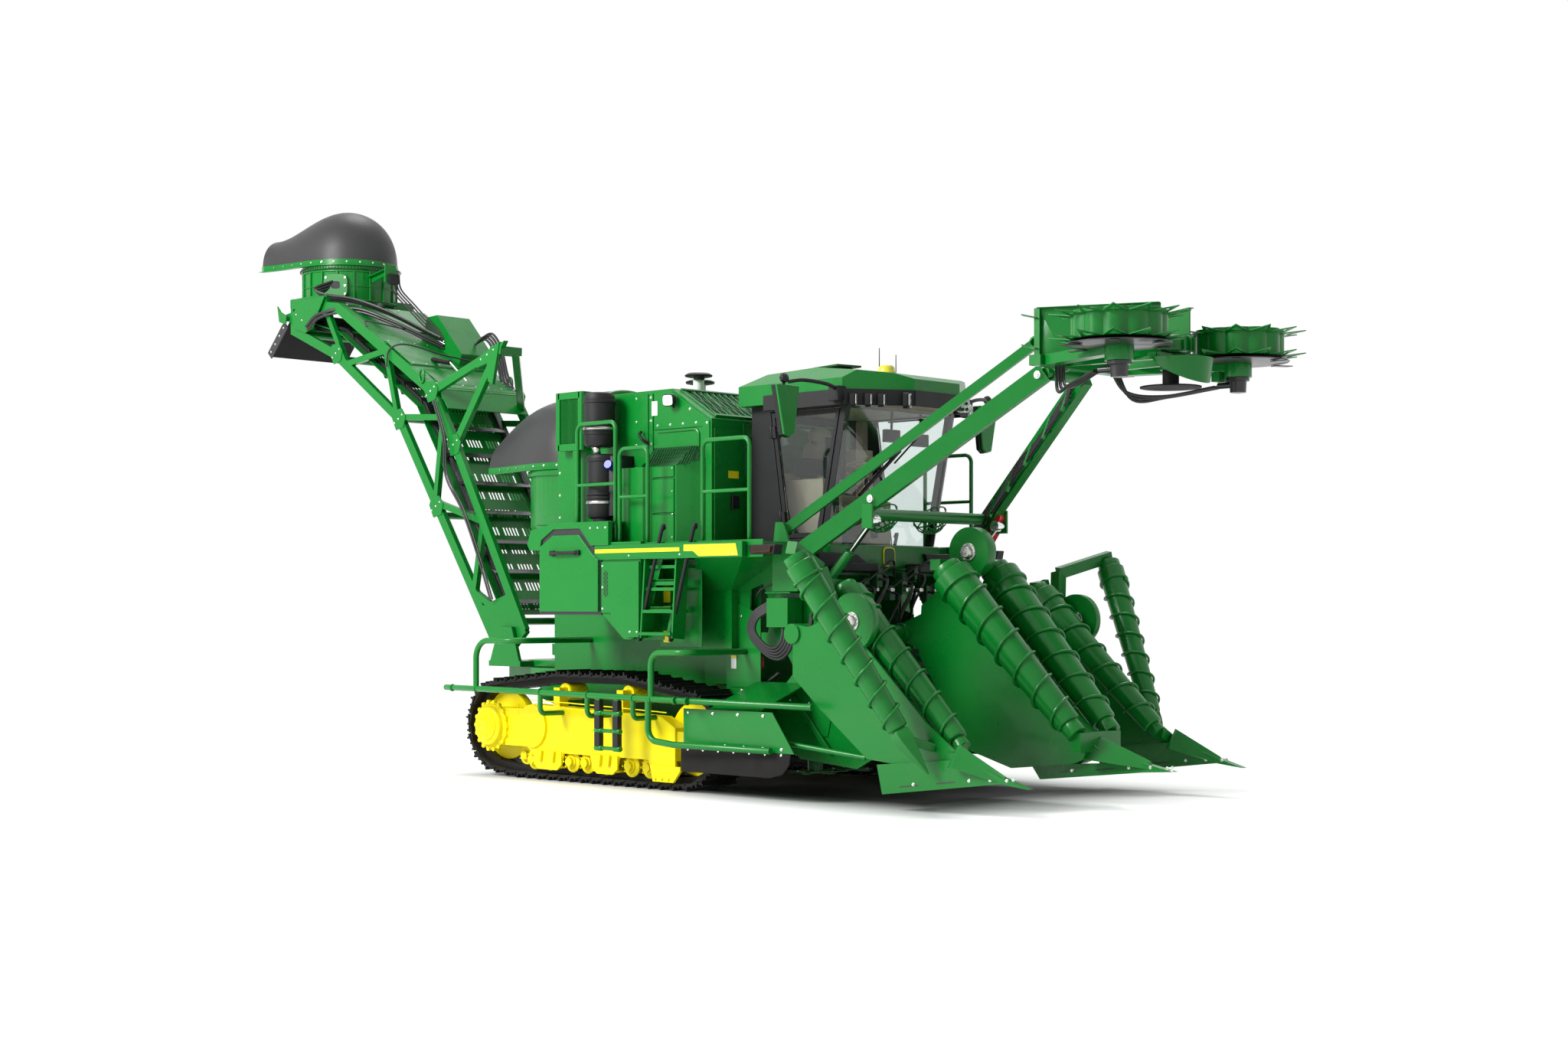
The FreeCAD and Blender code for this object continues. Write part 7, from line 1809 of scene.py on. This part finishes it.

# %% [markdown]
# Each divider's round plate carries a bare steel motor hub with six bolts, and the shoes have bolted points
# and slots; each slot is a thin black plate, painted shade where the slot opens.

# %% Divider hubs, shoe bolts and slots
DIVIDER_Y = 1.6
HUB = [(0.0, 0.085), (0.01, 0.085), (0.012, 0.062), (0.035, 0.06), (0.05, 0.05), (0.052, 0.022),
       (0.062, 0.02)]


def hub(x, y, z, side):
    """A bolted hub that stands out along the machine's width, and the bolts round it."""
    heads = bolt_ring(x, y + side * 0.012, z, 0.073, 6, 0.009, side)
    return turned(st(x, y, z), (0, side, 0), HUB, 32), heads


for body, spots in (("divider_centre", ((4.7, -0.06, 2.24, -1), (4.7, 0.06, 2.24, 1))),
                    ("divider_right", ((4.7, -DIVIDER_Y - 0.06, 1.61, -1),)),
                    ("divider_left", ((4.7, DIVIDER_Y + 0.06, 1.61, 1), (4.7, DIVIDER_Y - 0.01, 1.61, -1)))):
    hubs, rings = zip(*[hub(*spot) for spot in spots])
    piece("motor_hub_" + body[8:], hubs, STEEL, body, bevel=0.002)
    piece("motor_hub_bolts_" + body[8:], rings, BOLT, body)

# %% Bolts and slots of the shoes
for side, y, start, low, rise in (("right", -DIVIDER_Y, 5.03, 0.14, 0.125),
                                  ("left", DIVIDER_Y, 5.03, 0.14, 0.125), ("centre", 0.0, 5.5, 0.2, 0.109)):
    x = np.array([start + 0.35, start + 0.95, start + 1.17, start + 1.34])
    z = low + (x - start) * rise + np.array([0.06, 0.05, 0.04, 0.024])
    heads, slot_shades = [], []
    for out in (-1, 1):
        face = np.full(len(x), y + out * 0.0405)
        heads.append(bolts(np.column_stack([ZERO + x, face, z]), (0, out, 0), 0.013))
        # Each slot is a thin black plate on the shoe's face: painted shade where the slot opens.
        for a in (0.2, 0.6):
            line = low + a * rise + 0.045
            slot_shades.append(side_plate([(start + a, line), (start + a + 0.2, line + 0.025),
                                     (start + a + 0.2, line + 0.035), (start + a, line + 0.01)],
                                    face[0] - 0.0015, face[0] + 0.0015))
    piece("shoe_bolts_" + side, heads, BOLT, "divider_" + side)
    piece("shoe_slot_shades_" + side, slot_shades, BLACK, "divider_" + side)

# %% [markdown]
# Between the hull and the front frame go a side sheet with a sloping top edge and a plain sheet behind it.

# %% Sheets beside the front frame
frame_sheet = side_plate([(2.65, 0.98), (2.65, 1.82), (2.93, 1.71), (3.06, 1.66), (3.06, 0.98)], -1.108,
                         -1.096)
behind = side_plate([(2.2, 1.0), (2.2, 2.1), (2.95, 2.1), (2.95, 1.0)], -1.0, -0.99)
piece("frame_sheets", both([frame_sheet, behind]), GREEN, bevel=0.002)

# %% [markdown]
# ## Floor, light and camera
# The machine stands in a plain white studio. One large round lamp and a wide sun keep the shadows gentle.
# What the camera or a mirror-like surface sees past the object is white. A fixed patch of floor under the
# machine is painted dark, in its colour and in its white emission: painted shade on top of the machine's own
# shadow.

# %% Floor
# The first colour is painted shade for a fixed patch of floor under the machine; the second is the floor's own
# colour.
PAINTED_SHADE, LIGHT = (0.03, 0.03, 0.03, 1.0), (0.9, 0.9, 0.9, 1.0)


def seen_ray(tree):
    """One for what the camera sees, straight on, mirrored or through glass, and nought for what lights."""
    path = tree.nodes.new("ShaderNodeLightPath")
    seen = calc(tree, "MAXIMUM", path.outputs["Is Camera Ray"], path.outputs["Is Glossy Ray"])
    return calc(tree, "MAXIMUM", seen, path.outputs["Is Transmission Ray"])


def backdrop():
    """The floor glows white around the machine and not under it, and its colour is painted dark there: painted
    shade.
    """
    material, tree, shader = new_material("studio_floor")
    shader.inputs["Roughness"].default_value = 0.7
    shader.inputs["Specular IOR Level"].default_value = 0.2
    seen = seen_ray(tree)
    shader.inputs["Emission Color"].default_value = (1.0, 1.0, 1.0, 1.0)
    split = tree.nodes.new("ShaderNodeSeparateXYZ")
    feed(tree, split.inputs[0], place_of(tree))
    middle_x, half_x, half_y = ZERO + 2.5, 3.0, 1.55
    off_x = calc(tree, "SUBTRACT",
                 calc(tree, "ABSOLUTE", calc(tree, "SUBTRACT", split.outputs["X"], middle_x)), half_x)
    off_y = calc(tree, "SUBTRACT", calc(tree, "ABSOLUTE", split.outputs["Y"]), half_y)
    away = calc(tree, "MAXIMUM", off_x, off_y)
    # Base colour: painted shade, dark in a fixed patch under the machine and light from half a metre past it.
    feed(tree, shader.inputs["Base Color"],
         mixed(tree, spread(tree, away, -0.6, 0.5, 0.0, 1.0), PAINTED_SHADE, LIGHT))
    # The white emission is painted shade as well: nought in the same patch, rising to 0.42 outside it.
    glow_outside_painted_shade = spread(tree, away, -0.3, 0.9, 0.0, 0.42)
    feed(tree, shader.inputs["Emission Strength"], calc(tree, "MULTIPLY", seen, glow_outside_painted_shade))
    mesh = bpy.data.meshes.new("floor")
    reach = 90.0
    mesh.from_pydata([(-reach, -reach, 0), (reach, -reach, 0), (reach, reach, 0), (-reach, reach, 0)], [],
                     [[0, 1, 2, 3]])
    floor = bpy.data.objects.new("floor", mesh)
    bpy.context.scene.collection.objects.link(floor)
    mesh.materials.append(material)
    return floor


backdrop()
print("floor made")

# %% World
def studio_sky(light):
    """A white surround: the camera, mirrors and glass see 1.0, the object is lit by a softer share."""
    world = bpy.data.worlds.new("studio")
    bpy.context.scene.world = world
    world.use_nodes = True
    tree = world.node_tree
    background = tree.nodes["Background"]
    seen = seen_ray(tree)
    background.inputs["Color"].default_value = (1.0, 1.0, 1.0, 1.0)
    feed(tree, background.inputs["Strength"], spread(tree, seen, 0.0, 1.0, light, 1.0))
    return world


studio_sky(0.3)
print("world made")

# %% Lamps
def soft_lamp(name, place, aim, size, watts):
    """A round area lamp at a place, turned to a point."""
    data = bpy.data.lights.new(name, "AREA")
    data.shape, data.size, data.energy = "DISK", size, watts
    lamp = bpy.data.objects.new(name, data)
    bpy.context.scene.collection.objects.link(lamp)
    lamp.location = place
    lamp.rotation_euler = (Vector(aim) - Vector(place)).to_track_quat("-Z", "Y").to_euler()


LOW, HIGH = (np.array(corner) for corner in CAD_BOX)
MIDDLE = (LOW + HIGH) / 2
soft_lamp("key", MIDDLE + [-3.0, -15.0, 8.0], MIDDLE, 7.0, 3600)
sun = bpy.data.objects.new("overhead", bpy.data.lights.new("overhead", "SUN"))
bpy.context.scene.collection.objects.link(sun)
sun.data.energy, sun.data.angle = 1.25, math.radians(24)
sun.rotation_euler = Vector((0.3, -0.42, -1.0)).to_track_quat("-Z", "Y").to_euler()
print("lamps made")

# %% Camera
FOCAL = 49.1  # mm on a 36 mm sensor
VIEW_TURN = math.radians(43.76)  # from looking along +Y, towards +X
EYE = st(17.04, -15.39, 1.75)
camera_data = bpy.data.cameras.new("camera")
camera_data.lens, camera_data.sensor_width = FOCAL, 36.0
camera_data.shift_y = 0.053
camera_data.clip_end = 300.0
camera = bpy.data.objects.new("camera", camera_data)
bpy.context.scene.collection.objects.link(camera)
camera.location = EYE
camera.rotation_euler = (math.pi / 2, 0.0, VIEW_TURN)
bpy.context.scene.camera = camera
bpy.context.scene.view_settings.view_transform = "Standard"
print("camera at", np.round(EYE, 2))

# %% Count the pieces
bpy.context.view_layer.update()
print("pieces added:", len(made))
